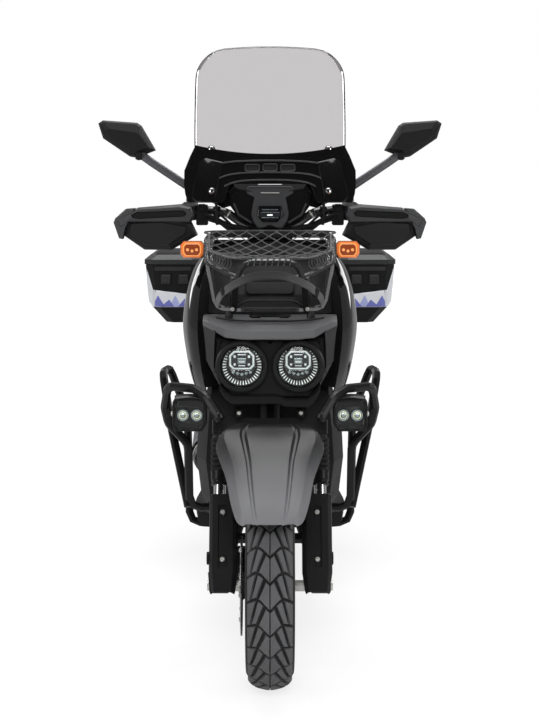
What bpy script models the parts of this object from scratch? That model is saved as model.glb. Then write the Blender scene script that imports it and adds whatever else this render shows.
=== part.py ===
"""Adventure motor scooter at real size, in metres: +Z up, front wheel towards -Y, its left side at +X.

The origin is on the ground, under the middle of the scooter's length. Places are written as distances
behind the front axle and as heights over a datum that lies GROUND below the tyre's foot: at() turns
both into Y and Z. The scooter stands on its centre stand.
"""

import math

import bmesh
import bpy
from mathutils import Matrix, Quaternion, Vector

# Driving dimensions of the whole scooter
WHEELBASE = 1.40
GROUND = 0.010
BEAD_RADIUS = 0.1545
FLANGE_RADIUS = BEAD_RADIUS + 0.011
TYRE_SECTION = 0.0725
REAR_TYRE_SECTION = 0.0775
REAR_LIFT = 0.017
TYRE_RADIUS = FLANGE_RADIUS + TYRE_SECTION
REAR_TYRE_RADIUS = FLANGE_RADIUS + REAR_TYRE_SECTION
AXLE_HEIGHT = GROUND + TYRE_RADIUS
REAR_AXLE_HEIGHT = GROUND + REAR_TYRE_RADIUS + REAR_LIFT
FRONT_TYRE_WIDTH = 0.112
REAR_TYRE_WIDTH = 0.130
RAKE = math.radians(26.0)
AXIS_GROUND_LEAD = 0.0876
FRONT_AXLE_Y = -0.776

# Fits between neighbouring pieces
SEAT_GAP = 0.0003
SIDES = 8

# Rims, hubs and axles
RIM_HALF = 0.0382
HUB_RADIUS = 0.032
HUB_HALF = 0.055
AXLE_RADIUS = 0.008
DISC_RADIUS = 0.115
DISC_OFFSET = 0.066
DISC_THICKNESS = 0.004

# Fork
FORK_HALF = 0.118
STANCHION_RADIUS = 0.0155
SLIDER_RADIUS = 0.0215
CROWN_END = 0.0205
CROWN_THICKNESS = 0.034
STEM_RADIUS = 0.0135
HEAD_TUBE_RADIUS = 0.024

# Frame, guards and stands
STAND_PIVOT = (0.965, 0.215)
STAND_TUBE = 0.010
SIDE_PIVOT = (0.800, 0.236)
SIDE_PIVOT_X = 0.134
SEAT_PIVOT = (0.862, 0.770)
SEAT_EYE = 0.0275
TAIL_TUBE = 0.012
TAIL_TUBE_HEIGHT = 0.744
SEAT_TUBE = 0.012
SEAT_TUBE_HEIGHT = 0.600
HEX_FLAT = math.cos(math.pi / 6)
GRIP_TIP = 0.006
CRASH_TUBE = 0.011
RACK_TUBE = 0.008
BAR_RADIUS = 0.011


def along(behind):
    """Where a distance behind the front axle lies: the body between feet and seat grows with the wheelbase."""
    share = min(1.0, max(0.0, (behind - 0.56) / 0.30))
    return behind + share * (WHEELBASE - 1.40)


def at(x, behind, z):
    """A point given by its distance behind the front axle and its height over the datum."""
    return Vector((x, FRONT_AXLE_Y + along(behind), z - GROUND))


def axis_behind(z):
    """How far behind the front axle the steering axis passes at a height."""
    return -AXIS_GROUND_LEAD + z * math.tan(RAKE)


STEER_UP = Vector((0.0, math.sin(RAKE), math.cos(RAKE)))
STEER_BACK = Vector((0.0, math.cos(RAKE), -math.sin(RAKE)))
STEER_FOOT = at(0.0, -AXIS_GROUND_LEAD, 0.0)


def on_fork(x, back, up):
    """A point in the fork's own frame: across, behind the steering axis and along it."""
    return STEER_FOOT + Vector((x, 0.0, 0.0)) + STEER_BACK * back + STEER_UP * up


FORK_AXLE = at(0.0, 0.0, AXLE_HEIGHT)
AXLE_UP = (FORK_AXLE - STEER_FOOT).dot(STEER_UP)
AXLE_BACK = (FORK_AXLE - STEER_FOOT).dot(STEER_BACK)


def clear_scene():
    """Empties the file that the script runs in."""
    for old in list(bpy.data.objects):
        bpy.data.objects.remove(old)


def finish(name, colour, roughness, metallic=0.0):
    """A Principled material of one colour."""
    made = bpy.data.materials.new(name)
    made.use_nodes = True
    shader = made.node_tree.nodes["Principled BSDF"]
    shader.inputs["Base Color"].default_value = (*colour, 1.0)
    shader.inputs["Roughness"].default_value = roughness
    shader.inputs["Metallic"].default_value = metallic
    return made


clear_scene()
TYRE = finish("tyre", (0.030, 0.030, 0.032), 0.85)
RIM = finish("rim", (0.035, 0.035, 0.038), 0.45, 0.6)
STEEL = finish("steel", (0.55, 0.55, 0.56), 0.30, 1.0)
CHROME = finish("chrome", (0.75, 0.75, 0.76), 0.12, 1.0)
PLASTIC = finish("plastic", (0.035, 0.036, 0.038), 0.55)
GLOSS = finish("gloss", (0.012, 0.011, 0.011), 0.12)
FENDER = finish("fender", (0.060, 0.061, 0.066), 0.50)
POWDER = finish("powder", (0.022, 0.022, 0.023), 0.38, 0.3)
CAST = finish("cast", (0.10, 0.10, 0.11), 0.50, 0.7)
SMOKE = finish("smoke", (0.45, 0.44, 0.45), 0.05)
LENS = finish("lens", (0.80, 0.86, 0.86), 0.06)
AMBER = finish("amber", (0.95, 0.30, 0.05), 0.20)
RED = finish("red", (0.45, 0.02, 0.02), 0.20)
VINYL = finish("vinyl", (0.028, 0.028, 0.030), 0.60)
CLOTH = finish("cloth", (0.020, 0.020, 0.020), 0.90)


def named(name, mesh, material):
    """An object with its material, shaded smooth up to its real edges."""
    thing = bpy.data.objects.new(name, mesh)
    bpy.context.scene.collection.objects.link(thing)
    mesh.materials.clear()
    mesh.materials.append(material)
    mesh.shade_smooth()
    mesh.set_sharp_from_angle(angle=math.radians(35.0))
    return thing


def mesh_from(work, name):
    """Turns bmesh work into a mesh with its faces pointing outwards."""
    bmesh.ops.recalc_face_normals(work, faces=work.faces)
    mesh = bpy.data.meshes.new(name)
    work.to_mesh(mesh)
    work.free()
    return mesh


def bake(thing):
    """Replaces an object's mesh by what its modifiers make of it."""
    graph = bpy.context.evaluated_depsgraph_get()
    material = thing.data.materials[0]
    mesh = bpy.data.meshes.new_from_object(thing.evaluated_get(graph))
    thing.modifiers.clear()
    thing.data = mesh
    mesh.materials.clear()
    mesh.materials.append(material)
    mesh.shade_smooth()
    mesh.set_sharp_from_angle(angle=math.radians(35.0))
    return thing


def combine(target, operation, *tools):
    """Joins or cuts a target by tools that are used up."""
    for tool in tools:
        step = target.modifiers.new(operation.title(), "BOOLEAN")
        step.operation = operation
        step.solver = "EXACT"
        step.object = tool
        bake(target)
        bpy.data.objects.remove(tool)
    return target


def fuse(target, *tools):
    """One body from pieces that overlap."""
    return combine(target, "UNION", *tools)


def cut(target, *tools):
    """The target with the tools' shapes taken out."""
    return combine(target, "DIFFERENCE", *tools)


def loft(name, rings, material, closed=False, caps="both"):
    """Skin over rings of equally many points, with its ends filled."""
    work = bmesh.new()
    loops = [[work.verts.new(point) for point in ring] for ring in rings]
    pairs = list(zip(loops, loops[1:]))
    if closed:
        pairs.append((loops[-1], loops[0]))
    for low, high in pairs:
        for here in range(len(low)):
            there = (here + 1) % len(low)
            work.faces.new((low[here], low[there], high[there], high[here]))
    if not closed and caps == "both":
        work.faces.new(loops[0])
    if not closed and caps in ("both", "last"):
        work.faces.new(loops[-1])
    return named(name, mesh_from(work, name), material)


def thicken(thing, thickness, offset=-1.0):
    """Gives an open skin its wall thickness."""
    wall = thing.modifiers.new("Wall", "SOLIDIFY")
    wall.thickness = thickness
    wall.offset = offset
    wall.use_even_offset = True
    return bake(thing)


def panel(name, grid, thickness, material, offset=-1.0):
    """A moulded sheet through a grid of points."""
    work = bmesh.new()
    rows = [[work.verts.new(point) for point in row] for row in grid]
    for row, following in zip(rows, rows[1:]):
        for here in range(len(row) - 1):
            work.faces.new((row[here], row[here + 1], following[here + 1], following[here]))
    return thicken(named(name, mesh_from(work, name), material), thickness, offset)


def slab(name, front, back, material):
    """A moulding between a front and a back grid of equally many points."""
    work = bmesh.new()
    faces = [[[work.verts.new(point) for point in row] for row in grid] for grid in (front, back)]
    for rows in faces:
        for row, following in zip(rows, rows[1:]):
            for here in range(len(row) - 1):
                work.faces.new((row[here], row[here + 1], following[here + 1], following[here]))
    rims = [edge_of(rows) for rows in faces]
    for here in range(len(rims[0])):
        there = (here + 1) % len(rims[0])
        work.faces.new((rims[0][here], rims[0][there], rims[1][there], rims[1][here]))
    return named(name, mesh_from(work, name), material)


def edge_of(rows):
    """The points round the edge of a grid, in order."""
    right = [row[-1] for row in rows[1:-1]]
    left = [row[0] for row in rows[1:-1]]
    return rows[0] + right + list(reversed(rows[-1])) + list(reversed(left))


def block(name, centre, size, material, bevel=0.0):
    """A box with its edges bevelled."""
    work = bmesh.new()
    bmesh.ops.create_cube(work, size=1.0)
    bmesh.ops.scale(work, vec=size, verts=work.verts)
    if bevel:
        bmesh.ops.bevel(work, geom=work.edges, offset=bevel, segments=1, affect="EDGES")
    bmesh.ops.translate(work, vec=centre, verts=work.verts)
    return named(name, mesh_from(work, name), material)


def ring_of(centre, radius, normal, sides, start=0.0):
    """Points round a circle."""
    normal = Vector(normal).normalized()
    side = normal.orthogonal().normalized()
    other = normal.cross(side)
    angles = [start + 2 * math.pi * step / sides for step in range(sides)]
    return [centre + (side * math.cos(a) + other * math.sin(a)) * radius for a in angles]


def bore(start, end, radius, sides=12):
    """A cutter whose flats keep a round bar of the radius clear on every side."""
    return rod("bore", start, end, radius / math.cos(math.pi / sides), STEEL, sides)


def rod(name, start, end, radius, material, sides=12, end_radius=None):
    """A round bar or cone between two points."""
    along = end - start
    last = radius if end_radius is None else end_radius
    rings = [ring_of(start, radius, along, sides), ring_of(end, last, along, sides)]
    return loft(name, rings, material)


def spindle(name, centre, axis, profile, material, sides=16):
    """A turned piece: profile holds (place along the axis, radius)."""
    axis = Vector(axis).normalized()
    rings = [ring_of(centre + axis * along, radius, axis, sides) for along, radius in profile]
    return loft(name, rings, material)


def wheel_ring(name, profile, material, steps=28):
    """A ring about the X axis: profile is a closed loop of (across, radius)."""
    angles = [2 * math.pi * step / steps for step in range(steps)]
    rings = [[Vector((x, r * math.sin(a), r * math.cos(a))) for x, r in profile] for a in angles]
    return loft(name, rings, material, closed=True)


def rounded(points, radius, steps=2):
    """A route with each corner turned into an arc."""
    route = [points[0]]
    for before, corner, after in zip(points, points[1:], points[2:]):
        back, onward = before - corner, after - corner
        half = back.angle(onward) / 2
        if math.pi / 2 - half < 0.02:
            route.append(corner)
            continue
        reach = min(radius / math.tan(half), 0.48 * back.length, 0.48 * onward.length)
        middle = (back.normalized() + onward.normalized()).normalized()
        centre = corner + middle * (reach / math.cos(half))
        first = corner + back.normalized() * reach - centre
        axis = back.cross(onward)
        for step in range(steps + 1):
            turn = Quaternion(axis, -(math.pi - 2 * half) * step / steps)
            route.append(centre + turn @ first)
    route.append(points[-1])
    return route


def tube(name, route, radius, material, sides=SIDES):
    """A bent tube with closed ends, swept along a route."""
    curve = bpy.data.curves.new(name, "CURVE")
    curve.dimensions = "3D"
    spline = curve.splines.new("POLY")
    spline.points.add(len(route) - 1)
    for point, place in zip(spline.points, route):
        point.co = (*place, 1.0)
    curve.bevel_depth = radius
    curve.bevel_resolution = (sides - 4) // 2
    curve.use_fill_caps = True
    guide = bpy.data.objects.new(name + "_guide", curve)
    bpy.context.scene.collection.objects.link(guide)
    graph = bpy.context.evaluated_depsgraph_get()
    mesh = bpy.data.meshes.new_from_object(guide.evaluated_get(graph))
    bpy.data.objects.remove(guide)
    work = bmesh.new()
    work.from_mesh(mesh)
    bmesh.ops.remove_doubles(work, verts=work.verts, dist=1e-6)
    return named(name, mesh_from(work, name), material)


def mirrored(thing, name):
    """The same piece for the other side of the scooter."""
    work = bmesh.new()
    work.from_mesh(thing.data)
    bmesh.ops.transform(work, matrix=Matrix.Scale(-1.0, 4, (1.0, 0.0, 0.0)), verts=work.verts)
    return named(name, mesh_from(work, name), thing.data.materials[0])


def pair(left):
    """Makes the right-hand copy of a piece whose name ends in _left."""
    return left, mirrored(left, left.name.replace("_left", "_right"))


def pivot(name, place):
    """An empty on a joint's axis, which carries the pieces that move with it."""
    empty = bpy.data.objects.new(name, None)
    empty.location = place
    bpy.context.scene.collection.objects.link(empty)
    return empty


def carry(empty, *things):
    """Hangs pieces on an empty without moving them."""
    bpy.context.view_layer.update()
    for thing in things:
        thing.parent = empty
        thing.matrix_parent_inverse = empty.matrix_world.inverted()


# Wheels


def tyre(name, width, radius):
    """A tubeless tyre, open towards its rim."""
    half = width / 2
    outer = [
        (0.0, radius),
        (0.62 * half, radius - 0.008),
        (0.94 * half, radius - 0.026),
        (half, radius - 0.046),
        (0.93 * half, FLANGE_RADIUS + 0.010),
        (RIM_HALF + 0.002, FLANGE_RADIUS + 0.003),
        (RIM_HALF - SEAT_GAP, FLANGE_RADIUS + 0.001),
        (RIM_HALF - SEAT_GAP, BEAD_RADIUS),
    ]
    inner = [
        (RIM_HALF - 0.014, BEAD_RADIUS),
        (RIM_HALF - 0.010, FLANGE_RADIUS + 0.004),
        (half - 0.009, radius - 0.048),
        (0.70 * half, radius - 0.024),
        (0.0, radius - 0.014),
    ]
    right = outer + inner
    left = [(-x, r) for x, r in reversed(right) if x > 0]
    return wheel_ring(name, right + left, TYRE)


def rim(name):
    """A cast rim with five split spokes, its hub bored for the axle."""
    seat = BEAD_RADIUS - SEAT_GAP
    well = seat - 0.012
    wall = 0.005
    half = [
        (0.016, well),
        (0.023, seat),
        (RIM_HALF, seat),
        (RIM_HALF, FLANGE_RADIUS),
        (RIM_HALF + 0.004, FLANGE_RADIUS),
        (RIM_HALF + 0.004, seat - wall),
        (0.026, seat - wall),
        (0.018, well - wall),
    ]
    barrel = wheel_ring(name, half + [(-x, r) for x, r in reversed(half)], RIM)
    hole = AXLE_RADIUS + SEAT_GAP
    hub = [
        (-HUB_HALF, HUB_RADIUS - 0.004),
        (-0.02, HUB_RADIUS),
        (0.02, HUB_RADIUS),
        (HUB_HALF, HUB_RADIUS - 0.004),
        (HUB_HALF, hole),
        (-HUB_HALF, hole),
    ]
    pieces = [wheel_ring("hub", hub, RIM, 16)]
    for number in range(5):
        for side in (-1, 1):
            root = 2 * math.pi * number / 5 + side * 0.16
            tip = 2 * math.pi * number / 5 + side * 0.24
            pieces.append(spoke(root, tip, well - wall / 2))
    return fuse(barrel, *pieces)


def spoke(root_angle, tip_angle, tip_radius):
    """One tapered leg of a split spoke."""
    rings = []
    for angle, radius, half_wide, half_deep in (
        (root_angle, HUB_RADIUS - 0.010, 0.011, 0.016),
        (tip_angle, tip_radius, 0.007, 0.011),
    ):
        out = Vector((0.0, math.sin(angle), math.cos(angle)))
        side = Vector((0.0, math.cos(angle), -math.sin(angle)))
        middle = out * radius
        corners = ((-1, -1), (1, -1), (1, 1), (-1, 1))
        rings.append(
            [middle + Vector((i * half_deep, 0, 0)) + side * (j * half_wide) for i, j in corners]
        )
    return loft("spoke", rings, RIM)


def brake_disc(name):
    """A brake disc on five arms, bolted to the hub."""
    low, high = -DISC_OFFSET - DISC_THICKNESS / 2, -DISC_OFFSET + DISC_THICKNESS / 2
    ring = [(low, DISC_RADIUS), (high, DISC_RADIUS), (high, 0.080), (low, 0.080)]
    disc = wheel_ring(name, ring, STEEL)
    flange = -HUB_HALF - SEAT_GAP
    centre = [(low, 0.030), (flange, 0.026), (flange, 0.0145), (low, 0.0145)]
    pieces = [wheel_ring("disc_centre", centre, STEEL, 16)]
    for number in range(5):
        angle = 2 * math.pi * number / 5
        out = Vector((0.0, math.sin(angle), math.cos(angle)))
        side = Vector((0.0, math.cos(angle), -math.sin(angle)))
        arm = []
        for radius, half in ((0.022, 0.010), (0.084, 0.007)):
            foot = out * radius
            arm.append(
                [
                    Vector((low, 0, 0)) + foot - side * half,
                    Vector((low, 0, 0)) + foot + side * half,
                    Vector((high, 0, 0)) + foot + side * half,
                    Vector((high, 0, 0)) + foot - side * half,
                ]
            )
        pieces.append(loft("disc_arm", arm, STEEL))
    return fuse(disc, *pieces)


def place(thing, centre):
    """Moves a piece that was modelled about the origin."""
    thing.data.transform(Matrix.Translation(centre))
    return thing


def front_wheel():
    """Front tyre, rim and disc on their axle line."""
    centre = at(0.0, 0.0, AXLE_HEIGHT)
    pieces = [tyre("front_tyre", FRONT_TYRE_WIDTH, TYRE_RADIUS), rim("front_rim"), brake_disc("front_disc")]
    return [place(piece, centre) for piece in pieces]


def rear_wheel():
    """Rear tyre and rim, lifted clear of the ground by the centre stand."""
    centre = at(0.0, 1.40, REAR_AXLE_HEIGHT)
    pieces = [tyre("rear_tyre", REAR_TYRE_WIDTH, REAR_TYRE_RADIUS), rim("rear_rim")]
    return [place(piece, centre) for piece in pieces]


# Fork and what turns with it

CROWN_LOW = AXLE_UP + 0.368
CROWN_HIGH = CROWN_LOW + CROWN_THICKNESS
STEM_TOP = 1.154
HEAD_TOP = 1.040


def steering_stem():
    """The fork crown and the stem that rises through the head tube to the bar clamp."""
    low, high = on_fork(0, 0, CROWN_LOW), on_fork(0, 0, CROWN_HIGH)
    end = [
        (FORK_HALF + CROWN_END * math.cos(a), AXLE_BACK + CROWN_END * math.sin(a))
        for a in [math.radians(-90 + 30 * step) for step in range(7)]
    ]
    right = [(0.045, -0.047)] + end + [(0.040, 0.026)]
    outline = right + [(-x, y) for x, y in reversed(right)]
    rings = [[on_fork(x, y, up) for x, y in outline] for up in (CROWN_LOW, CROWN_HIGH)]
    crown = loft("steering_stem", rings, CAST)
    stem = rod("stem", low + STEER_UP * 0.01, on_fork(0, 0, STEM_TOP), STEM_RADIUS, CAST, 16)
    for side in (-1, 1):
        hole = [on_fork(side * FORK_HALF, AXLE_BACK, up) for up in (CROWN_LOW - 0.02, CROWN_HIGH + 0.02)]
        cut(crown, bore(*hole, STANCHION_RADIUS + SEAT_GAP, 16))
    return fuse(crown, stem)


LUG_IN, LUG_OUT = FORK_HALF - 0.0225, FORK_HALF + 0.0225


def fork_leg():
    """The left leg: stanchion, slider and the lug that holds the axle."""
    foot = on_fork(FORK_HALF, AXLE_BACK, AXLE_UP - 0.014)
    slider_top = on_fork(FORK_HALF, AXLE_BACK, AXLE_UP + 0.214)
    crown_top = on_fork(FORK_HALF, AXLE_BACK, CROWN_HIGH + 0.006)
    leg = rod("fork_left", foot, slider_top, SLIDER_RADIUS, CAST, 16)
    stanchion = rod("stanchion", slider_top - STEER_UP * 0.05, crown_top, STANCHION_RADIUS, CHROME, 16)
    seal = spindle(
        "seal",
        slider_top,
        STEER_UP,
        [(-0.004, 0.0245), (0.010, 0.0245), (0.022, 0.019), (0.060, 0.021), (0.064, 0.016)],
        CAST,
    )
    lug = rod("lug", at(LUG_IN, 0, AXLE_HEIGHT), at(LUG_OUT, 0, AXLE_HEIGHT), 0.018, CAST, 16)
    leg = fuse(leg, stanchion, seal, lug)
    return cut(leg, bore(at(0.05, 0, AXLE_HEIGHT), at(0.2, 0, AXLE_HEIGHT), AXLE_RADIUS + SEAT_GAP, 16))


def front_axle():
    """The axle with its spacers and end nuts."""
    half = [
        (HUB_HALF + SEAT_GAP, AXLE_RADIUS),
        (HUB_HALF + SEAT_GAP, 0.013),
        (LUG_IN - SEAT_GAP, 0.013),
        (LUG_IN - SEAT_GAP, AXLE_RADIUS),
        (LUG_OUT + SEAT_GAP, AXLE_RADIUS),
        (LUG_OUT + SEAT_GAP, 0.012),
        (LUG_OUT + 0.005, 0.011),
    ]
    profile = [(-x, r) for x, r in reversed(half)] + half
    return spindle("front_axle", at(0, 0, AXLE_HEIGHT), (1, 0, 0), profile, STEEL, 12)


def fork_guard():
    """The plastic shin that covers the front of the left slider."""
    top, bottom = AXLE_UP + 0.209, AXLE_UP - 0.024
    rings = []
    for up, narrow, wrap in (
        (bottom, 0.86, -0.024),
        (AXLE_UP + 0.030, 1.0, -0.020),
        (AXLE_UP + 0.050, 1.0, 0.004),
        (top - 0.02, 1.0, 0.004),
        (top, 0.90, -0.004),
    ):
        shape = [
            (0.141, wrap),
            (0.141, -0.028),
            (0.133, -0.040),
            (0.086, -0.040),
            (0.078, -0.028),
            (0.078, wrap),
        ]
        rings.append([on_fork(0.1095 + (x - 0.1095) * narrow, AXLE_BACK + back, up) for x, back in shape])
    guard = panel("fork_guard_left", rings, 0.003, PLASTIC, 0.0)
    for up in (AXLE_UP + 0.060, AXLE_UP + 0.160):
        face = on_fork(0.1095, AXLE_BACK - 0.0395, up)
        leg = on_fork(0.1095, AXLE_BACK - SLIDER_RADIUS + 0.004, up)
        fuse(guard, rod("boss", face, leg, 0.007, PLASTIC))
    slider_low = on_fork(FORK_HALF, AXLE_BACK, AXLE_UP - 0.06)
    slider_high = on_fork(FORK_HALF, AXLE_BACK, AXLE_UP + 0.26)
    seal_low = on_fork(FORK_HALF, AXLE_BACK, AXLE_UP + 0.203)
    seal = bore(seal_low, slider_high, 0.0250, 16)
    return cut(guard, bore(slider_low, slider_high, SLIDER_RADIUS + SEAT_GAP, 16), seal)


FENDER_ROWS = (
    # behind the crown, above its underside, half width, drop at the edge
    (0.0417, -0.0396, 0.052, 0.006),
    (-0.0233, 0.0034, 0.060, 0.008),
    (-0.0683, 0.0324, 0.072, 0.012),
    (-0.1283, 0.0574, 0.092, 0.014),
    (-0.1783, 0.0584, 0.116, 0.026),
    (-0.2083, 0.0474, 0.124, 0.040),
    (-0.2483, 0.0264, 0.112, 0.048),
    (-0.2883, -0.0016, 0.098, 0.050),
    (-0.3383, -0.0416, 0.088, 0.050),
    (-0.3883, -0.0896, 0.074, 0.034),
    (-0.4163, -0.1216, 0.058, 0.010),
)


def front_fender():
    """The beak over the front wheel, carried under the fork crown."""
    half_profile = ((1, 1.0), (0.86, 0.42), (0.55, 0.30), (0.46, 0.10), (0.0, 0.0))
    profile = [(-share, fall) for share, fall in half_profile[:-1]] + list(reversed(half_profile))
    grid = []
    foot = on_fork(0, 0, CROWN_LOW)
    for behind, crown, half, drop in FENDER_ROWS:
        grid.append([foot + Vector((share * half, behind, crown - drop * fall)) for share, fall in profile])
    beak = panel("front_fender", grid, 0.003, FENDER, -1.0)
    top = CROWN_LOW - SEAT_GAP
    corners = ((-0.04, -0.040), (0.04, -0.040), (0.04, 0.010), (-0.04, 0.010))
    rings = [[on_fork(x, y, up) for x, y in corners] for up in (top - 0.034, top)]
    return fuse(beak, loft("fender_mount", rings, FENDER))


def front_caliper():
    """The brake caliper that straddles the disc on the right leg."""
    out = (STEER_BACK * 0.75 + STEER_UP * 0.66).normalized()
    side = Vector((1.0, 0.0, 0.0))
    along = out.cross(side)
    corners = ((-1, -1), (1, -1), (1, 1), (-1, 1))
    rings = []
    for across, shrink in ((-0.023, 0.88), (-0.017, 1.0), (0.017, 1.0), (0.023, 0.88)):
        middle = FORK_AXLE + out * 0.100 + side * (across - DISC_OFFSET)
        rings.append([middle + (out * i * 0.028 + along * j * 0.036) * shrink for i, j in corners])
    body = loft("front_caliper", rings, CAST)
    gap = DISC_THICKNESS / 2 + 0.005
    cut(
        body,
        bore(
            at(-DISC_OFFSET - gap, 0, AXLE_HEIGHT),
            at(-DISC_OFFSET + gap, 0, AXLE_HEIGHT),
            DISC_RADIUS + 0.005,
            40,
        ),
    )
    bracket = []
    for x in (-0.104, -0.081):
        plan = ((0.008, 0.040), (0.070, 0.036), (0.086, 0.080), (0.008, 0.092))
        bracket.append([on_fork(x, AXLE_BACK + back, AXLE_UP + up) for back, up in plan])
    fuse(body, loft("bracket", bracket, CAST))
    low = on_fork(-FORK_HALF, AXLE_BACK, AXLE_UP - 0.06)
    high = on_fork(-FORK_HALF, AXLE_BACK, AXLE_UP + 0.26)
    return cut(body, bore(low, high, SLIDER_RADIUS + SEAT_GAP, 16))


BAR_LOW = 1.066
BAR_BEHIND = axis_behind(BAR_LOW)
GRIP_START, GRIP_END = 0.200, 0.345


def bar_route():
    """Points of the handlebar from its right end to its left end."""
    left = [
        at(0.060, BAR_BEHIND, BAR_LOW),
        at(0.112, BAR_BEHIND + 0.004, BAR_LOW + 0.036),
        at(GRIP_START - 0.03, BAR_BEHIND + 0.014, BAR_LOW + 0.040),
        at(GRIP_END + 0.012, BAR_BEHIND + 0.056, BAR_LOW + 0.022),
    ]
    right = [Vector((-p.x, p.y, p.z)) for p in reversed(left)]
    return right + left


def handlebar():
    """The bent bar with the clamp that holds it on the stem."""
    bar = tube("handlebar", rounded(bar_route(), 0.045), BAR_RADIUS, CHROME, 12)
    top = on_fork(0, 0, STEM_TOP + SEAT_GAP)
    return fuse(bar, rod("clamp", top, top + STEER_UP * 0.034, 0.024, CHROME, 16))


def controls():
    """Left grip, switch housing and lever as they sit on the bar."""
    start, end = bar_route()[-2], bar_route()[-1]
    along = (end - start).normalized()
    span = (end - start).length
    profile = [
        (0.046, 0.021),
        (0.052, 0.021),
        (0.054, 0.0165),
        (span + 0.004, 0.0165),
        (span + GRIP_TIP, 0.013),
    ]
    grip = spindle("control_left", start, along, profile, PLASTIC, 12)
    housing = block("housing", start + along * 0.032, (0.036, 0.056, 0.050), PLASTIC, 0.008)
    ahead = Vector((0.0, -1.0, 0.0))
    lever_route = [
        start + along * 0.032 + ahead * 0.020,
        start + along * 0.045 + ahead * 0.044,
        start + along * 0.100 + ahead * 0.046,
        start + along * (span - 0.02) + ahead * 0.034,
    ]
    lever = tube("lever", rounded(lever_route, 0.02), 0.0055, PLASTIC)
    fuse(grip, housing, lever)
    return cut(grip, bore(start - along * 0.05, start + along * (span + 0.0005), BAR_RADIUS + SEAT_GAP))


def hand_guard():
    """The left wind guard: a lower blade with a hooded upper vane, open behind."""
    front = BAR_BEHIND - 0.074
    lower = [
        (0.190, 1.066),
        (0.180, 1.045),
        (0.246, 1.008),
        (0.314, 1.008),
        (0.372, 1.046),
        (0.366, 1.086),
        (0.200, 1.086),
    ]
    rings = []
    for back, shrink in ((0.050, 0.0), (0.012, 0.0), (0.0, 0.010)):
        ring = []
        for x, z in lower:
            middle_x, middle_z = 0.275, 1.052
            sweep = 0.35 * max(0.0, x - 0.250)
            scale_x = 1 - shrink / 0.10
            scale_z = 1 - shrink / 0.04
            ring.append(
                at(
                    middle_x + (x - middle_x) * scale_x,
                    front + back + sweep,
                    middle_z + (z - middle_z) * scale_z,
                ),
            )
        rings.append(ring)
    blade = thicken(loft("hand_guard_left", rings, PLASTIC, caps="last"), 0.003)
    upper = [
        (0.196, 1.076),
        (0.188, 1.092),
        (0.196, 1.116),
        (0.222, 1.122),
        (0.330, 1.113),
        (0.384, 1.080),
        (0.376, 1.058),
        (0.366, 1.076),
    ]
    hood = []
    for back, shrink in ((0.030, 0.0), (-0.002, 0.0), (-0.014, 0.008)):
        ring = []
        for x, z in upper:
            middle_x, middle_z = 0.285, 1.092
            sweep = 0.35 * max(0.0, x - 0.250)
            scale_x = 1 - shrink / 0.10
            scale_z = 1 - shrink / 0.03
            ring.append(
                at(
                    middle_x + (x - middle_x) * scale_x,
                    front + back + sweep,
                    middle_z + (z - middle_z) * scale_z,
                ),
            )
        hood.append(ring)
    vane = loft("vane", hood, PLASTIC)
    end = bar_route()[-1]
    outward = (end - bar_route()[-2]).normalized()
    post = rod("post", end + outward * (GRIP_TIP + SEAT_GAP), end + outward * 0.026, 0.010, PLASTIC)
    arm = tube(
        "arm",
        [
            end + outward * 0.019,
            end + outward * 0.018 + Vector((0.0, -0.050, 0.004)),
            at(0.350, front + 0.045, 1.0937),
        ],
        0.006,
        PLASTIC,
    )
    return fuse(blade, fuse(vane, arm, post))


def mirror():
    """The left mirror: a faceted shell on its stem."""
    start, end = bar_route()[-2], bar_route()[-1]
    foot = start + (end - start).normalized() * 0.032 + Vector((0.0, 0.0, 0.0255))
    behind = 0.475
    stem_route = [
        foot,
        foot + Vector((0.0, 0.0, 0.030)),
        at(0.300, behind - 0.004, 1.226),
        at(0.330, behind, 1.246),
    ]
    stem = tube("mirror_left", rounded(stem_route, 0.03), 0.0075, PLASTIC)
    outline = [
        (0.290, 1.256),
        (0.326, 1.318),
        (0.338, 1.326),
        (0.424, 1.332),
        (0.436, 1.324),
        (0.424, 1.286),
        (0.356, 1.240),
        (0.338, 1.237),
    ]
    middle_x, middle_z = 0.364, 1.288
    rings = []
    for back, scale in ((0.030, 0.96), (0.022, 1.0), (0.0, 0.90), (-0.014, 0.55)):
        rings.append(
            [
                at(middle_x + (x - middle_x) * scale, behind + back, middle_z + (z - middle_z) * scale)
                for x, z in outline
            ]
        )
    return fuse(stem, loft("mirror_shell", rings, PLASTIC))


COWL_FRONT = 0.375


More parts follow.
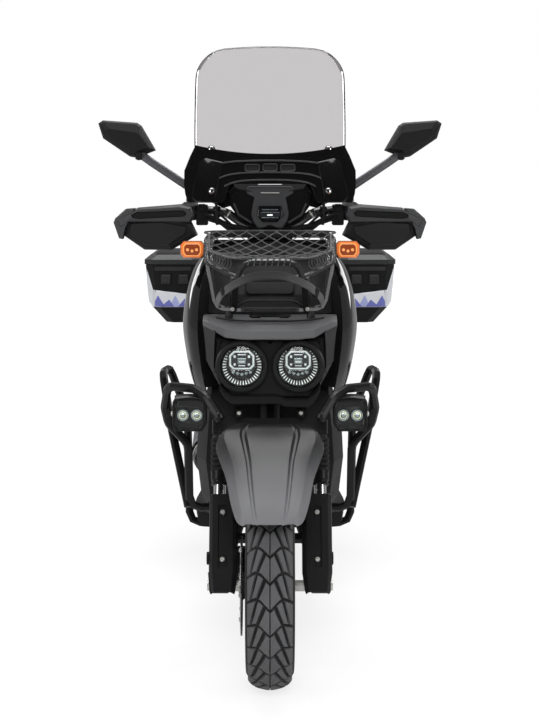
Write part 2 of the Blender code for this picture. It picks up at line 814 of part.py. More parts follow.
def cowl():
    """The instrument cowl on the middle of the bar, with its small lamp bezel."""
    outline = [
        (-0.040, 1.064),
        (0.040, 1.064),
        (0.078, 1.082),
        (0.104, 1.120),
        (0.106, 1.150),
        (0.088, 1.164),
        (0.052, 1.158),
        (0.034, 1.144),
        (-0.034, 1.144),
        (-0.052, 1.158),
        (-0.088, 1.164),
        (-0.106, 1.150),
        (-0.104, 1.120),
        (-0.078, 1.082),
    ]
    rings = []
    for behind, scale, lift in (
        (0.500, 0.86, 0.030),
        (0.470, 0.96, 0.020),
        (0.400, 1.0, 0.004),
        (COWL_FRONT, 0.92, 0.0),
    ):
        rings.append([at(x * scale, behind, 1.112 + (z - 1.112) * scale + lift) for x, z in outline])
    body = loft("cowl", rings, PLASTIC)
    outline_lamp = [
        (-0.018, 1.078),
        (0.018, 1.078),
        (0.034, 1.096),
        (0.028, 1.118),
        (-0.028, 1.118),
        (-0.034, 1.096),
    ]
    bezel = [
        [at(x * s, d, 1.099 + (z - 1.099) * s) for x, z in outline_lamp]
        for d, s in ((0.400, 1.1), (COWL_FRONT - 0.012, 1.0))
    ]
    fuse(body, loft("bezel", bezel, PLASTIC))
    pocket = [
        [at(x * 0.8, d, 1.099 + (z - 1.099) * 0.8) for x, z in outline_lamp]
        for d in (COWL_FRONT - 0.004, COWL_FRONT - 0.02)
    ]
    cut(body, loft("pocket", pocket, PLASTIC))
    route = rounded(bar_route(), 0.045)
    cut(body, tube("bar_room", route, (BAR_RADIUS + SEAT_GAP) * 1.04, PLASTIC, 12))
    top = on_fork(0, 0, STEM_TOP + SEAT_GAP)
    return cut(body, bore(top - STEER_UP * 0.15, top + STEER_UP * 0.0345, 0.0243, 16))


def cowl_lamp():
    """The small lamp set in the cowl's bezel."""
    outline = [
        (-0.018, 1.078),
        (0.018, 1.078),
        (0.034, 1.096),
        (0.028, 1.118),
        (-0.028, 1.118),
        (-0.034, 1.096),
    ]
    rings = [
        [at(x * s, d, 1.099 + (z - 1.099) * s) for x, z in outline]
        for d, s in ((COWL_FRONT - 0.004 - SEAT_GAP, 0.79), (COWL_FRONT - 0.010, 0.74))
    ]
    return loft("cowl_lamp", rings, LENS)


SCREEN_WALL = 0.004
SCREEN_FOOT = BAR_LOW + 0.124
SCREEN_HEIGHT = 0.327
SCREEN_TOP = SCREEN_FOOT + SCREEN_HEIGHT
SCREEN_HALF = 0.187
SCREEN_CORNER = 0.070


def screen_place(across, z, forward=0.0):
    """A point of the windscreen's front: leaning back and curved round the rider."""
    behind = 0.347 + (z - 1.13) * 0.42 + 0.9 * across * across
    return at(across, behind - forward, z)


def windscreen():
    """The tall clear screen, with its rounded upper corners."""
    inner = SCREEN_HALF - SCREEN_CORNER
    half_columns = [(0.0, 0.0), (0.060, 0.0)] + [
        (inner + SCREEN_CORNER * math.sin(turn), SCREEN_CORNER * (1 - math.cos(turn)))
        for turn in [math.pi / 2 * step / 5 for step in range(6)]
    ]
    columns = [(-x, fall) for x, fall in reversed(half_columns[1:])] + half_columns
    front, back = [], []
    for share in (0.0, 0.25, 0.5, 0.75, 1.0):
        rows = ([], [])
        for x, fall in columns:
            top = SCREEN_TOP - 0.35 * x * x - fall
            z = SCREEN_FOOT + (top - SCREEN_FOOT) * share
            narrow = 1.0 + 0.015 * math.sin(math.pi * share)
            for row, forward in zip(rows, (0.0, -SCREEN_WALL)):
                row.append(screen_place(x * narrow, z, forward))
        front.append(rows[0])
        back.append(rows[1])
    return slab("windscreen", front, back, SMOKE)


def screen_panel():
    """The black panel in front of the foot of the screen, on two posts from the bar."""
    front, back = [], []
    for share, half in ((0.0, 0.204), (0.3, 0.214), (0.55, 0.214), (0.8, 0.200), (1.0, 0.186)):
        rows = ([], [])
        for u in (-1.0, -0.9, -0.78, -0.55, -0.28, 0.0, 0.28, 0.55, 0.78, 0.9, 1.0):
            low = 1.172 - 0.048 * min(1.0, abs(u) ** 4 * 1.2)
            z = low + (1.246 + 0.022 * u * u - low) * share
            for row, forward in zip(rows, (0.0070, 0.0028)):
                row.append(screen_place(u * half, z, forward))
        front.append(rows[0])
        back.append(rows[1])
    sheet = slab("screen_panel", front, back, GLOSS)
    for side in (-1, 1):
        foot = screen_place(side * 0.147, 1.240)
        out = Vector((side * 0.265, -1.0, 0.42)).normalized()
        fuse(sheet, rod("boss", foot + out * 0.0004, foot + out * 0.0045, 0.006, GLOSS, 8))
        post_route = [
            screen_place(side * 0.150, 1.160, 0.0045),
            screen_place(side * 0.150, 1.140, -0.010),
            at(side * 0.150, BAR_BEHIND + 0.004, BAR_LOW + 0.062),
            at(side * 0.150, BAR_BEHIND + 0.011, BAR_LOW + 0.040),
        ]
        fuse(sheet, tube("post", post_route, 0.009, GLOSS))
    route = rounded(bar_route(), 0.045)
    return cut(sheet, tube("bar_room", route, (BAR_RADIUS + SEAT_GAP) * 1.04, GLOSS, 12))


# Body at the front


def frame():
    """The tubular frame: head tube, down tube, floor rails, seat rails and brackets."""
    head_low, head_high = on_fork(0, 0, CROWN_HIGH + 0.006), on_fork(0, 0, HEAD_TOP)
    head = rod("frame", head_low, head_high, HEAD_TUBE_RADIUS, POWDER, 16)
    pieces = [
        tube(
            "down",
            rounded([on_fork(0, 0.012, CROWN_HIGH + 0.10), at(0, 0.390, 0.50), at(0, 0.445, 0.262)], 0.10),
            0.021,
            POWDER,
            8,
        ),
        tube("cross_front", [at(-0.112, 0.445, 0.262), at(0.112, 0.445, 0.262)], 0.014, POWDER, 6),
        tube("cross_middle", [at(-0.110, 0.800, 0.262), at(0.110, 0.800, 0.262)], 0.014, POWDER, 6),
        tube(
            "cross_seat",
            [at(-0.130, 0.980, SEAT_TUBE_HEIGHT), at(0.130, 0.980, SEAT_TUBE_HEIGHT)],
            SEAT_TUBE,
            POWDER,
            6,
        ),
        tube("nose_arm", [on_fork(0, -0.010, 0.860), at(0, 0.232, 0.822)], 0.012, POWDER, 6),
        tube("nose_cross", [at(-0.110, 0.232, 0.822), at(0.110, 0.232, 0.822)], 0.010, POWDER, 6),
    ]
    for side in (-1, 1):
        rail = [
            at(side * 0.110, 0.432, 0.262),
            at(side * 0.110, 0.952, 0.262),
            at(side * 0.130, 0.985, 0.580),
            at(side * 0.136, 1.130, 0.722),
            at(side * 0.134, 1.420, 0.738),
            at(side * 0.075, 1.640, TAIL_TUBE_HEIGHT),
        ]
        pieces.append(tube("rail", rounded(rail, 0.055), 0.014, POWDER, 6))
        pieces.append(
            rod("pad", at(side * 0.134, 1.250, 0.735), at(side * 0.134, 1.250, 0.7690), 0.010, POWDER, 8),
        )
        pieces.append(
            tube(
                "shock_arm",
                [at(side * 0.134, 1.330, 0.735), at(side * 0.108, 1.326, 0.5925)],
                0.010,
                POWDER,
                6,
            ),
        )
    pieces.append(
        block(
            "stand_bracket",
            at(SIDE_PIVOT_X - 0.010, 0.800, 0.245),
            (0.020, 0.034, 0.050),
            POWDER,
            0.002,
        ),
    )
    tail = [at(side * 0.076, 1.630, TAIL_TUBE_HEIGHT) for side in (-1, 1)]
    pieces.append(tube("cross_rear", tail, TAIL_TUBE, POWDER, 6))
    fuse(head, *pieces)
    return cut(
        head,
        bore(head_low - STEER_UP * 0.1, head_high + STEER_UP * 0.1, STEM_RADIUS + SEAT_GAP, 16),
    )


BROW_ROWS = (
    # across, front edge, height of its top and of its underside
    (0.160, 0.165, 0.853, 0.836),
    (0.104, 0.075, 0.842, 0.818),
    (0.060, 0.060, 0.842, 0.814),
)
LAMP_HALF = 0.066
LAMP_DROP = 0.064
LAMP_HEIGHT = BROW_ROWS[-1][3] - LAMP_DROP
LAMP_RADIUS = 0.050
BEZEL_RADIUS = 0.061
FASCIA_FRONT = 0.085


def front_fascia():
    """The nose round the two headlights, with its brow and chin."""
    back_outline = [
        (-0.110, 0.700),
        (0.110, 0.700),
        (0.154, 0.752),
        (0.160, 0.842),
        (-0.160, 0.842),
        (-0.154, 0.752),
    ]
    front_outline = [
        (-0.096, 0.672),
        (0.096, 0.672),
        (0.136, 0.735),
        (0.128, 0.815),
        (-0.128, 0.815),
        (-0.136, 0.735),
    ]
    rings = [
        [at(x, 0.200, z) for x, z in back_outline],
        [at(x, 0.125, z + 0.002) for x, z in front_outline],
        [at(x * 0.94, FASCIA_FRONT + 0.012, 0.745 + (z - 0.745) * 0.92) for x, z in front_outline],
    ]
    nose = thicken(loft("front_fascia", rings, PLASTIC, caps="last"), 0.004)
    for side in (-1, 1):
        centre = at(side * LAMP_HALF, FASCIA_FRONT, LAMP_HEIGHT)
        profile = [(-0.016, BEZEL_RADIUS - 0.003), (-0.010, BEZEL_RADIUS), (0.055, BEZEL_RADIUS)]
        fuse(nose, spindle("collar", centre, (0, 1, 0), profile, PLASTIC, 24))
    for side in (-1, 1):
        centre = at(side * LAMP_HALF, FASCIA_FRONT, LAMP_HEIGHT)
        cut(
            nose,
            rod(
                "lamp_room",
                centre + Vector((0, -0.05, 0)),
                centre + Vector((0, 0.2, 0)),
                LAMP_RADIUS + SEAT_GAP,
                PLASTIC,
                24,
            ),
        )
    rows = [(-x, front, top, low) for x, front, top, low in BROW_ROWS] + list(reversed(BROW_ROWS))
    brow_rings = []
    for x, front, top, low in rows:
        brow_rings.append([at(x, front, low), at(x, front, top), at(x, 0.245, 0.858), at(x, 0.245, 0.8335)])
    fuse(nose, loft("brow", brow_rings, PLASTIC))
    chin = []
    for x, low in (
        (-0.105, 0.670),
        (-0.085, 0.659),
        (0.022, 0.659),
        (0.040, 0.652),
        (0.088, 0.652),
        (0.105, 0.664),
    ):
        chin.append(
            [at(x, 0.095, low), at(x, 0.086, 0.680), at(x, 0.112, 0.690), at(x, 0.100, low + 0.003)],
        )
    return fuse(nose, loft("chin", chin, PLASTIC))


def headlight():
    """The left lamp: a lens can with its bowl, in the fascia's collar."""
    centre = at(LAMP_HALF, FASCIA_FRONT, LAMP_HEIGHT)
    profile = [(0.004, LAMP_RADIUS - 0.004), (0.008, LAMP_RADIUS), (0.055, LAMP_RADIUS), (0.085, 0.026)]
    can = spindle("headlight_left", centre, (0, 1, 0), profile, LENS, 24)
    bowl = spindle(
        "bowl",
        centre,
        (0, 1, 0),
        [(-0.01, LAMP_RADIUS - 0.006), (0.014, LAMP_RADIUS - 0.008)],
        LENS,
        24,
    )
    return cut(can, bowl)


def leg_shield():
    """The body behind the steering head, hollow and open below, with the knee side closed."""
    levels = (
        # height, front, rear, half width at the front, half width at the rear
        (0.3305, 0.372, 0.500, 0.136, 0.164),
        (0.380, 0.350, 0.505, 0.150, 0.176),
        (0.480, 0.326, 0.500, 0.160, 0.187),
        (0.570, 0.318, 0.498, 0.154, 0.182),
        (0.660, 0.325, 0.498, 0.146, 0.158),
        (0.760, 0.348, 0.500, 0.140, 0.150),
        (0.880, 0.400, 0.515, 0.130, 0.145),
        (0.960, 0.438, 0.525, 0.120, 0.140),
        (1.010, 0.470, 0.530, 0.100, 0.128),
    )
    rings = []
    for z, front, rear, half_front, half_rear in levels:
        side = (front + rear) / 2
        right = [
            (half_front * 0.6, front),
            (half_front, front + 0.018),
            (half_rear, side + 0.01),
            (half_rear - 0.012, rear),
        ]
        rings.append([at(x, d, z) for x, d in right] + [at(-x, d, z) for x, d in reversed(right)])
    body = thicken(loft("leg_shield", rings, PLASTIC, caps="last"), 0.004)
    room = rounded([on_fork(0, 0.012, CROWN_HIGH + 0.10), at(0, 0.390, 0.50), at(0, 0.445, 0.262)], 0.10)
    cut(body, tube("down_room", room, 0.025, PLASTIC))
    for side in (-1, 1):
        cut(
            body,
            rod(
                "bar_room",
                at(side * 0.230, 0.340, 0.366),
                at(side * 0.110, 0.415, 0.350),
                0.0145,
                PLASTIC,
            ),
        )
    return body


def wing():
    """The left gloss wing, bowed out beside the nose, with the lugs that hold it."""
    rows = (
        # height, front, rear, how far out at the front, middle and rear
        (0.655, 0.262, 0.500, 0.160, 0.182, 0.184),
        (0.680, 0.232, 0.515, 0.166, 0.192, 0.190),
        (0.740, 0.215, 0.530, 0.176, 0.206, 0.196),
        (0.830, 0.225, 0.540, 0.184, 0.217, 0.198),
        (0.915, 0.258, 0.540, 0.178, 0.205, 0.187),
        (0.960, 0.325, 0.520, 0.171, 0.190, 0.174),
        (0.988, 0.375, 0.480, 0.162, 0.171, 0.160),
    )
    grid = []
    for z, front, rear, out_front, out_middle, out_rear in rows:
        line = []
        for step in range(6):
            share = step / 5
            bow = 4 * share * (1 - share)
            base = out_front + (out_rear - out_front) * share
            line.append(
                at(
                    base + (out_middle - (out_front + out_rear) / 2) * bow,
                    front + (rear - front) * share,
                    z,
                ),
            )
        grid.append(line)
    skin = panel("wing_left", grid, 0.0035, GLOSS, 0.0)
    for place_out, place_in in (
        (at(0.2070, 0.431, 0.740), at(0.1532, 0.431, 0.740)),
        (at(0.1985, 0.482, 0.930), at(0.1430, 0.482, 0.930)),
    ):
        fuse(skin, rod("lug", place_out, place_in, 0.008, GLOSS, 8))
    return skin


def shoulder_panel():
    """The upper front panel behind the rack, which carries the wings' tops."""
    rows = (
        (0.8602, 0.236, 0.150),
        (0.905, 0.262, 0.150),
        (0.960, 0.306, 0.146),
        (1.010, 0.350, 0.140),
        (1.030, 0.376, 0.120),
    )
    grid = []
    for z, behind, half in rows:
        grid.append(
            [at(u * half, behind + 0.030 * u * u, z) for u in (-1.0, -0.8, -0.5, 0.0, 0.5, 0.8, 1.0)],
        )
    return panel("shoulder_panel", grid, 0.004, PLASTIC, -1.0)


def front_rack():
    """The tubular luggage rack over the nose."""
    rim_route = [
        at(-0.140, 0.338, 1.048),
        at(-0.152, 0.318, 1.036),
        at(-0.152, 0.240, 0.985),
        at(-0.080, 0.140, 0.952),
        at(0.080, 0.140, 0.952),
        at(0.152, 0.240, 0.985),
        at(0.152, 0.318, 1.036),
        at(0.140, 0.338, 1.048),
    ]
    rack = tube("front_rack", rounded(rim_route, 0.045), RACK_TUBE, POWDER, 6)
    hoop = [
        at(-0.078, 0.144, 0.950),
        at(-0.062, 0.112, 0.992),
        at(0.062, 0.112, 0.992),
        at(0.078, 0.144, 0.950),
    ]
    base = [
        at(-0.148, 0.236, 0.980),
        at(-0.128, 0.208, 0.874),
        at(-0.060, 0.172, 0.874),
        at(0.060, 0.172, 0.874),
        at(0.128, 0.208, 0.874),
        at(0.148, 0.236, 0.980),
    ]
    shelf = [
        at(-0.090, 0.190, 0.878),
        at(-0.055, 0.158, 0.902),
        at(0.055, 0.158, 0.902),
        at(0.090, 0.190, 0.878),
    ]
    pieces = [
        tube("top", [at(-0.142, 0.337, 1.047), at(0.142, 0.337, 1.047)], RACK_TUBE, POWDER, 6),
        tube("hoop", rounded(hoop, 0.03), RACK_TUBE, POWDER, 6),
        tube("base", rounded(base, 0.03), RACK_TUBE, POWDER, 6),
        tube("shelf", rounded(shelf, 0.03), 0.006, POWDER),
    ]
    for side in (-1, 1):
        pieces.append(
            tube(
                "upright",
                [at(side * 0.0835, 0.1452, 0.9565), at(side * 0.0875, 0.1885, 0.8735)],
                0.0092,
                POWDER,
            ),
        )
        pieces.append(
            rod("foot", at(side * 0.098, 0.196, 0.874), at(side * 0.098, 0.196, 0.8550), 0.010, POWDER, 10),
        )
    return fuse(rack, *pieces)


def cargo_net():
    """The elastic net stretched over the rack, as one thin sheet."""
    front, back = [], []
    for behind, half, z in (
        (0.114, 0.060, 0.9998),
        (0.145, 0.100, 1.000),
        (0.235, 0.150, 1.012),
        (0.318, 0.152, 1.0485),
        (0.338, 0.140, 1.0565),
    ):
        rows = ([], [])
        for u in (-1.0, -0.6, -0.2, 0.2, 0.6, 1.0):
            sag = 0.010 * (1 - u * u) * min(1.0, (behind - 0.114) * 20, (0.338 - behind) * 20)
            for row, lift in zip(rows, (0.003, 0.0)):
                row.append(at(u * half, behind, z + sag + lift))
        front.append(rows[0])
        back.append(rows[1])
    return slab("cargo_net", front, back, CLOTH)


def luggage_strap():
    """The wide webbing strap arched under the rack's hoop."""
    front, back = [], []
    for u, behind, z in (
        (-0.1260, 0.2103, 0.8810),
        (-0.124, 0.188, 0.8950),
        (-0.117, 0.168, 0.909),
        (-0.096, 0.140, 0.930),
        (-0.060, 0.116, 0.951),
        (-0.024, 0.104, 0.961),
    ):
        front.append([at(u, behind - 0.014, z - 0.009), at(u, behind - 0.016, z + 0.011)])
        back.append([at(u, behind - 0.011, z - 0.010), at(u, behind - 0.013, z + 0.012)])
    for grid in (front, back):
        grid += [[Vector((-p.x, p.y, p.z)) for p in row] for row in reversed(grid)]
    return slab("luggage_strap", front, back, CLOTH)


def crash_bar():
    """The left engine guard: a front hoop that ends in a ball, and a side hoop behind it."""
    hoop = [
        at(0.119, 0.060, 0.634),
        at(0.149, 0.090, 0.677),
        at(0.181, 0.130, 0.692),
        at(0.245, 0.195, 0.690),
        at(0.258, 0.262, 0.630),
        at(0.250, 0.285, 0.585),
        at(0.203, 0.308, 0.530),
        at(0.203, 0.356, 0.360),
        at(0.110, 0.420, 0.350),
        at(0.110, 0.445, 0.284),
    ]
    bar = tube("crash_bar_left", rounded(hoop, 0.04, 2), CRASH_TUBE, POWDER)
    ball = spindle(
        "ball",
        hoop[0],
        (0, 0, 1),
        [(-0.0118, 0.004), (-0.009, 0.009), (0.0, 0.0125), (0.009, 0.009), (0.0118, 0.004)],
        POWDER,
        12,
    )
    foot = block("foot", at(0.110, 0.445, 0.2813), (0.030, 0.040, 0.010), POWDER)
    side = [
        at(0.206, 0.357, 0.362),
        at(0.252, 0.420, 0.560),
        at(0.276, 0.480, 0.690),
        at(0.262, 0.560, 0.690),
        at(0.220, 0.620, 0.560),
        at(0.217, 0.640, 0.345),
        at(0.217, 0.640, 0.262),
        at(0.1243, 0.640, 0.262),
    ]
    return fuse(bar, ball, foot, tube("hoop_behind", rounded(side, 0.03, 2), CRASH_TUBE, POWDER))


def aux_light():
    """The left driving lamp on the crash bar."""
    x, behind, z = 0.190, 0.122, 0.630
    outline = [
        (-0.040, -0.022),
        (-0.028, -0.040),
        (0.036, -0.040),
        (0.041, -0.028),
        (0.041, 0.030),
        (0.036, 0.038),
        (-0.036, 0.038),
        (-0.040, 0.028),
    ]
    rings = [
        [at(x + a * s, d, z + b * s) for a, b in outline]
        for d, s in ((behind + 0.050, 0.80), (behind + 0.035, 1.0), (behind, 1.0))
    ]
    lamp = loft("aux_light_left", rings, PLASTIC)
    pocket = [
        [at(x + a * 0.84, d, z + b * 0.78) for a, b in outline]
        for d in (behind + 0.006, behind - 0.01)
    ]
    cut(lamp, loft("pocket", pocket, PLASTIC))
    for side in (-1, 1):
        centre = at(x + side * 0.0155, behind, z)
        fuse(lamp, spindle("bulb", centre, (0, 1, 0), [(0.001, 0.012), (0.008, 0.0135)], LENS, 12))
    return fuse(
        lamp,
        rod("post", at(x, behind + 0.022, z + 0.030), at(x, behind + 0.022, z + 0.0500), 0.006, PLASTIC, 8),
    )


def front_signal():
    """The left front turn signal on its stalk."""
    x, behind, z = 0.190, 0.285, 1.013
    outline = [
        (-0.030, -0.010),
        (-0.022, -0.021),
        (0.022, -0.021),
        (0.030, -0.010),
        (0.030, 0.012),
        (0.022, 0.021),
        (-0.022, 0.021),
        (-0.030, 0.012),
    ]
    rings = [
        [at(x + a * s, d, z + b * s) for a, b in outline]
        for d, s in ((behind + 0.034, 0.6), (behind + 0.024, 1.0), (behind, 0.95))
    ]
    lamp = loft("front_signal_left", rings, AMBER)
    return fuse(
        lamp,
        tube(
            "stalk",
            [at(x, behind + 0.026, z - 0.004), at(0.168, 0.340, 1.000), at(0.152, 0.362, 0.998)],
            0.008,
            AMBER,
        ),
    )


# Body in the middle and at the rear


def floorboard():
    """The flat foot deck between leg shield and seat."""
    outline = [(0.150, 0.508), (0.190, 0.520), (0.200, 0.640), (0.190, 0.800), (0.150, 0.896)]
    ring = [(x, d) for x, d in outline] + [(-x, d) for x, d in reversed(outline)]
    levels = ((0.2766, 0.94), (0.290, 0.99), (0.322, 1.0), (0.330, 0.985))
    rings = [[at(x * s, d, z) for x, d in ring] for z, s in levels]
    return loft("floorboard", rings, PLASTIC)


BODY_STATIONS = (
    # behind, half width low, middle and high, height low, middle and high
    (0.882, 0.105, 0.112, 0.105, 0.3303, 0.560, 0.742),
    (0.915, 0.148, 0.152, 0.140, 0.3303, 0.560, 0.758),
    (1.030, 0.168, 0.176, 0.158, 0.425, 0.590, 0.768),
    (1.150, 0.172, 0.182, 0.162, 0.520, 0.630, 0.770),
    (1.350, 0.166, 0.176, 0.156, 0.570, 0.660, 0.776),
    (1.550, 0.132, 0.142, 0.130, 0.640, 0.705, 0.784),
    (1.690, 0.088, 0.096, 0.092, 0.690, 0.735, 0.790),
    (1.742, 0.052, 0.060, 0.058, 0.710, 0.745, 0.788),
)
TRAY_LEVELS = (
    # front, rear, half width, height
    (0.950, 1.500, 0.112, 0.766),
    (0.965, 1.470, 0.092, 0.700),
    (0.975, 1.280, 0.090, 0.688),
    (1.030, 1.250, 0.090, 0.550),
)


def rear_body():
    """Side panels and tail in one shell, open below, with the luggage bay hung inside its rim."""
    rings = []
    for level in range(3):
        right = [(row[1 + level], row[0], row[4 + level]) for row in BODY_STATIONS]
        ring = [at(x, d, z) for x, d, z in right] + [at(-x, d, z) for x, d, z in reversed(right)]
        rings.append(ring)
    first, last = BODY_STATIONS[0][0], BODY_STATIONS[-1][0]
    for number, (front, rear, half, height) in enumerate(TRAY_LEVELS):
        right = []
        for row in BODY_STATIONS:
            share = (row[0] - first) / (last - first)
            lift = (row[6] - 0.766) if number == 0 else 0.0
            corner = min(1.0, 0.72 + 4.0 * share, 0.72 + 4.0 * (1 - share))
            right.append((half * corner, front + (rear - front) * share, height + lift))
        rings.append([at(x, d, z) for x, d, z in right] + [at(-x, d, z) for x, d, z in reversed(right)])
    body = thicken(loft("rear_body", rings, GLOSS, caps="last"), 0.0035)
    for side in (-1, 1):
        buffer = rod(
            "buffer",
            at(side * 0.112, 1.425, 0.776),
            at(side * 0.112, 1.425, 0.7915),
            0.005,
            GLOSS,
            8,
        )
        near, far = side * (SEAT_EYE + SEAT_GAP), side * (SEAT_EYE + 0.009)
        eye = rod("eye", at(near, *SEAT_PIVOT), at(far, *SEAT_PIVOT), 0.006, GLOSS, 8)
        web = block("web", at((near + far) / 2, 0.8715, 0.7505), (0.0080, 0.025, 0.035), GLOSS)
        fuse(body, buffer, web, eye)
    return body


def seat():
    """The two-level saddle, hinged at its nose."""
    sections = (
        # behind, half width, underside, top
        (0.875, 0.070, 0.775, 0.800),
        (0.910, 0.100, 0.775, 0.818),
        (1.000, 0.135, 0.778, 0.822),
        (1.120, 0.160, 0.782, 0.820),
        (1.240, 0.160, 0.786, 0.828),
        (1.290, 0.150, 0.788, 0.872),
        (1.420, 0.145, 0.792, 0.880),
        (1.560, 0.120, 0.798, 0.876),
        (1.620, 0.090, 0.802, 0.850),
    )
    rings = []
    for behind, half, low, high in sections:
        right = [
            (half * 0.80, low),
            (half, low + 0.012),
            (half * 0.98, low + (high - low) * 0.6),
            (half * 0.75, high - 0.004),
            (half * 0.3, high),
        ]
        rings.append([at(x, behind, z) for x, z in right] + [at(-x, behind, z) for x, z in reversed(right)])
    barrel = rod("barrel", at(-SEAT_EYE, *SEAT_PIVOT), at(SEAT_EYE, *SEAT_PIVOT), 0.006, VINYL, 8)
    web = block("web", at(0, 0.872, 0.7770), (2 * SEAT_EYE - 0.002, 0.018, 0.008), VINYL)
    return fuse(loft("seat", rings, VINYL), web, barrel)


SHOCK_LUG_TOP = 0.342
SHOCK_EYE = 0.012


def engine():
    """Engine and drive case as one block beside the rear wheel, with the stand's boss below."""
    crankcase = block("engine", at(0.003, 1.045, 0.335), (0.168, 0.170, 0.140), CAST, 0.015)
    cylinder = block("cylinder", at(0.0, 0.975, 0.350), (0.120, 0.110, 0.110), CAST, 0.010)
    outline = []
    for centre, radius, start in (((1.075, 0.320), 0.078, 1), ((1.40, REAR_AXLE_HEIGHT), 0.060, -1)):
        for step in range(9):
            angle = math.pi / 2 + math.pi * step / 8 if start > 0 else -math.pi / 2 + math.pi * step / 8
            outline.append((centre[0] + radius * math.cos(angle), centre[1] + radius * math.sin(angle)))
    low, high = 0.084, 0.166
    rings = [[at(x, d, z) for d, z in outline] for x in (low, high - 0.008)]
    middle = (1.19, 0.295)
    rings.append(
        [
            at(high, middle[0] + (d - middle[0]) * 0.97, middle[1] + (z - middle[1]) * 0.90)
            for d, z in outline
        ],
    )
    behind, height = STAND_PIVOT
    hanger_top = SEAT_TUBE_HEIGHT - SEAT_TUBE * HEX_FLAT - SEAT_GAP
    axle = at(0, 1.40, REAR_AXLE_HEIGHT)
    shaft = [(-0.0955, AXLE_RADIUS), (0.0565, AXLE_RADIUS), (0.0565, 0.018), (0.10, 0.018)]
    fuse(
        crankcase,
        cylinder,
        loft("case", rings, CAST),
        rod("stand_boss", at(-0.024, behind, height), at(0.024, behind, height), 0.020, CAST, 16),
        block("stand_web", at(0, behind + 0.010, 0.262), (0.044, 0.030, 0.080), CAST),
        block("shock_lug", at(0.105, 1.380, SHOCK_LUG_TOP - 0.011), (0.026, 0.030, 0.022), CAST),
        block(
            "hanger",
            at(0.0, 0.980, (hanger_top + 0.390) / 2),
            (0.050, 0.030, hanger_top - 0.390),
            CAST,
            0.002,
        ),
        spindle("shaft", axle, (1, 0, 0), shaft, CAST),
    )
    return cut(
        crankcase,
        bore(at(-0.08, behind, height), at(0.08, behind, height), STAND_TUBE + SEAT_GAP, 16),
    )


def exhaust():
    """The silencer on the right, with its pipe from the engine and a bracket to the axle."""
    nose, tail = at(-0.183, 1.060, 0.320), at(-0.186, 1.580, 0.395)
    profile = [(0.090, 0.024), (0.120, 0.044), (0.160, 0.050), (0.470, 0.050), (0.500, 0.036)]
    can = spindle("exhaust", nose, tail - nose, profile, POWDER, 20)
    route = [
        at(-0.040, 0.941, 0.2947),
        at(-0.040, 0.941, 0.2475),
        at(-0.086, 0.962, 0.2475),
        at(-0.160, 1.040, 0.268),
        at(-0.183, 1.170, 0.336),
    ]
    bracket = block("bracket", at(-0.102, 1.392, 0.296), (0.012, 0.050, 0.092), POWDER, 0.002)
    arm = block("arm", at(-0.126, 1.380, SHOCK_LUG_TOP - 0.012), (0.056, 0.030, 0.024), POWDER, 0.002)
    return fuse(can, tube("pipe", rounded(route, 0.030), 0.014, POWDER, 10), bracket, arm)


def rear_shock():
    """The left rear spring and damper."""
    tilt = math.atan2(1.380 - 1.326, 0.243)
    low = at(0.105, 1.380, SHOCK_LUG_TOP + SEAT_GAP + SHOCK_EYE * math.sin(tilt))
    high = at(0.108, 1.326, 0.5893)
    span = (high - low).length
    profile = [(0.0, SHOCK_EYE), (0.03, SHOCK_EYE), (0.032, 0.021)]
    turns = 4
    step = (span - 0.072) / turns
    for turn in range(turns):
        start = 0.038 + step * turn
        profile += [
            (start, 0.021),
            (start + step * 0.4, 0.021),
            (start + step * 0.5, 0.015),
            (start + step * 0.9, 0.015),
        ]
    profile += [(span - 0.030, 0.021), (span - 0.026, SHOCK_EYE), (span, SHOCK_EYE)]
    return spindle("rear_shock_left", low, high - low, profile, STEEL, 10)


def rear_fender():
    """The rear mudguard that carries the plate, hung from the frame's tail."""
    grid = []
    for behind, z, half in (
        (1.560, 0.615, 0.085),
        (1.640, 0.605, 0.085),
        (1.720, 0.570, 0.080),
        (1.765, 0.510, 0.075),
        (1.790, 0.430, 0.070),
    ):
        grid.append(
            [at(u * half, behind - 0.02 * u * u, z - 0.01 * u * u) for u in (-1.0, -0.5, 0.0, 0.5, 1.0)],
        )
    guard = panel("rear_fender", grid, 0.004, PLASTIC, 0.0)
    top = TAIL_TUBE_HEIGHT - TAIL_TUBE * HEX_FLAT - SEAT_GAP
    low = 0.5993
    return fuse(
        guard,
        block("plate_arm", at(0, 1.630, (top + low) / 2), (0.080, 0.040, top - low), PLASTIC),
    )


def tail_lamp():
    """The tail lamp on the flat end of the tail."""
    outline = [
        (-0.050, 0.716),
        (0.050, 0.716),
        (0.056, 0.745),
        (0.050, 0.776),
        (-0.050, 0.776),
        (-0.056, 0.745),
    ]
    rings = [
        [at(x * s, d, 0.746 + (z - 0.746) * s) for x, z in outline]
        for d, s in ((1.7423, 1.0), (1.760, 1.0), (1.770, 0.88))
    ]
    return loft("tail_lamp", rings, RED)


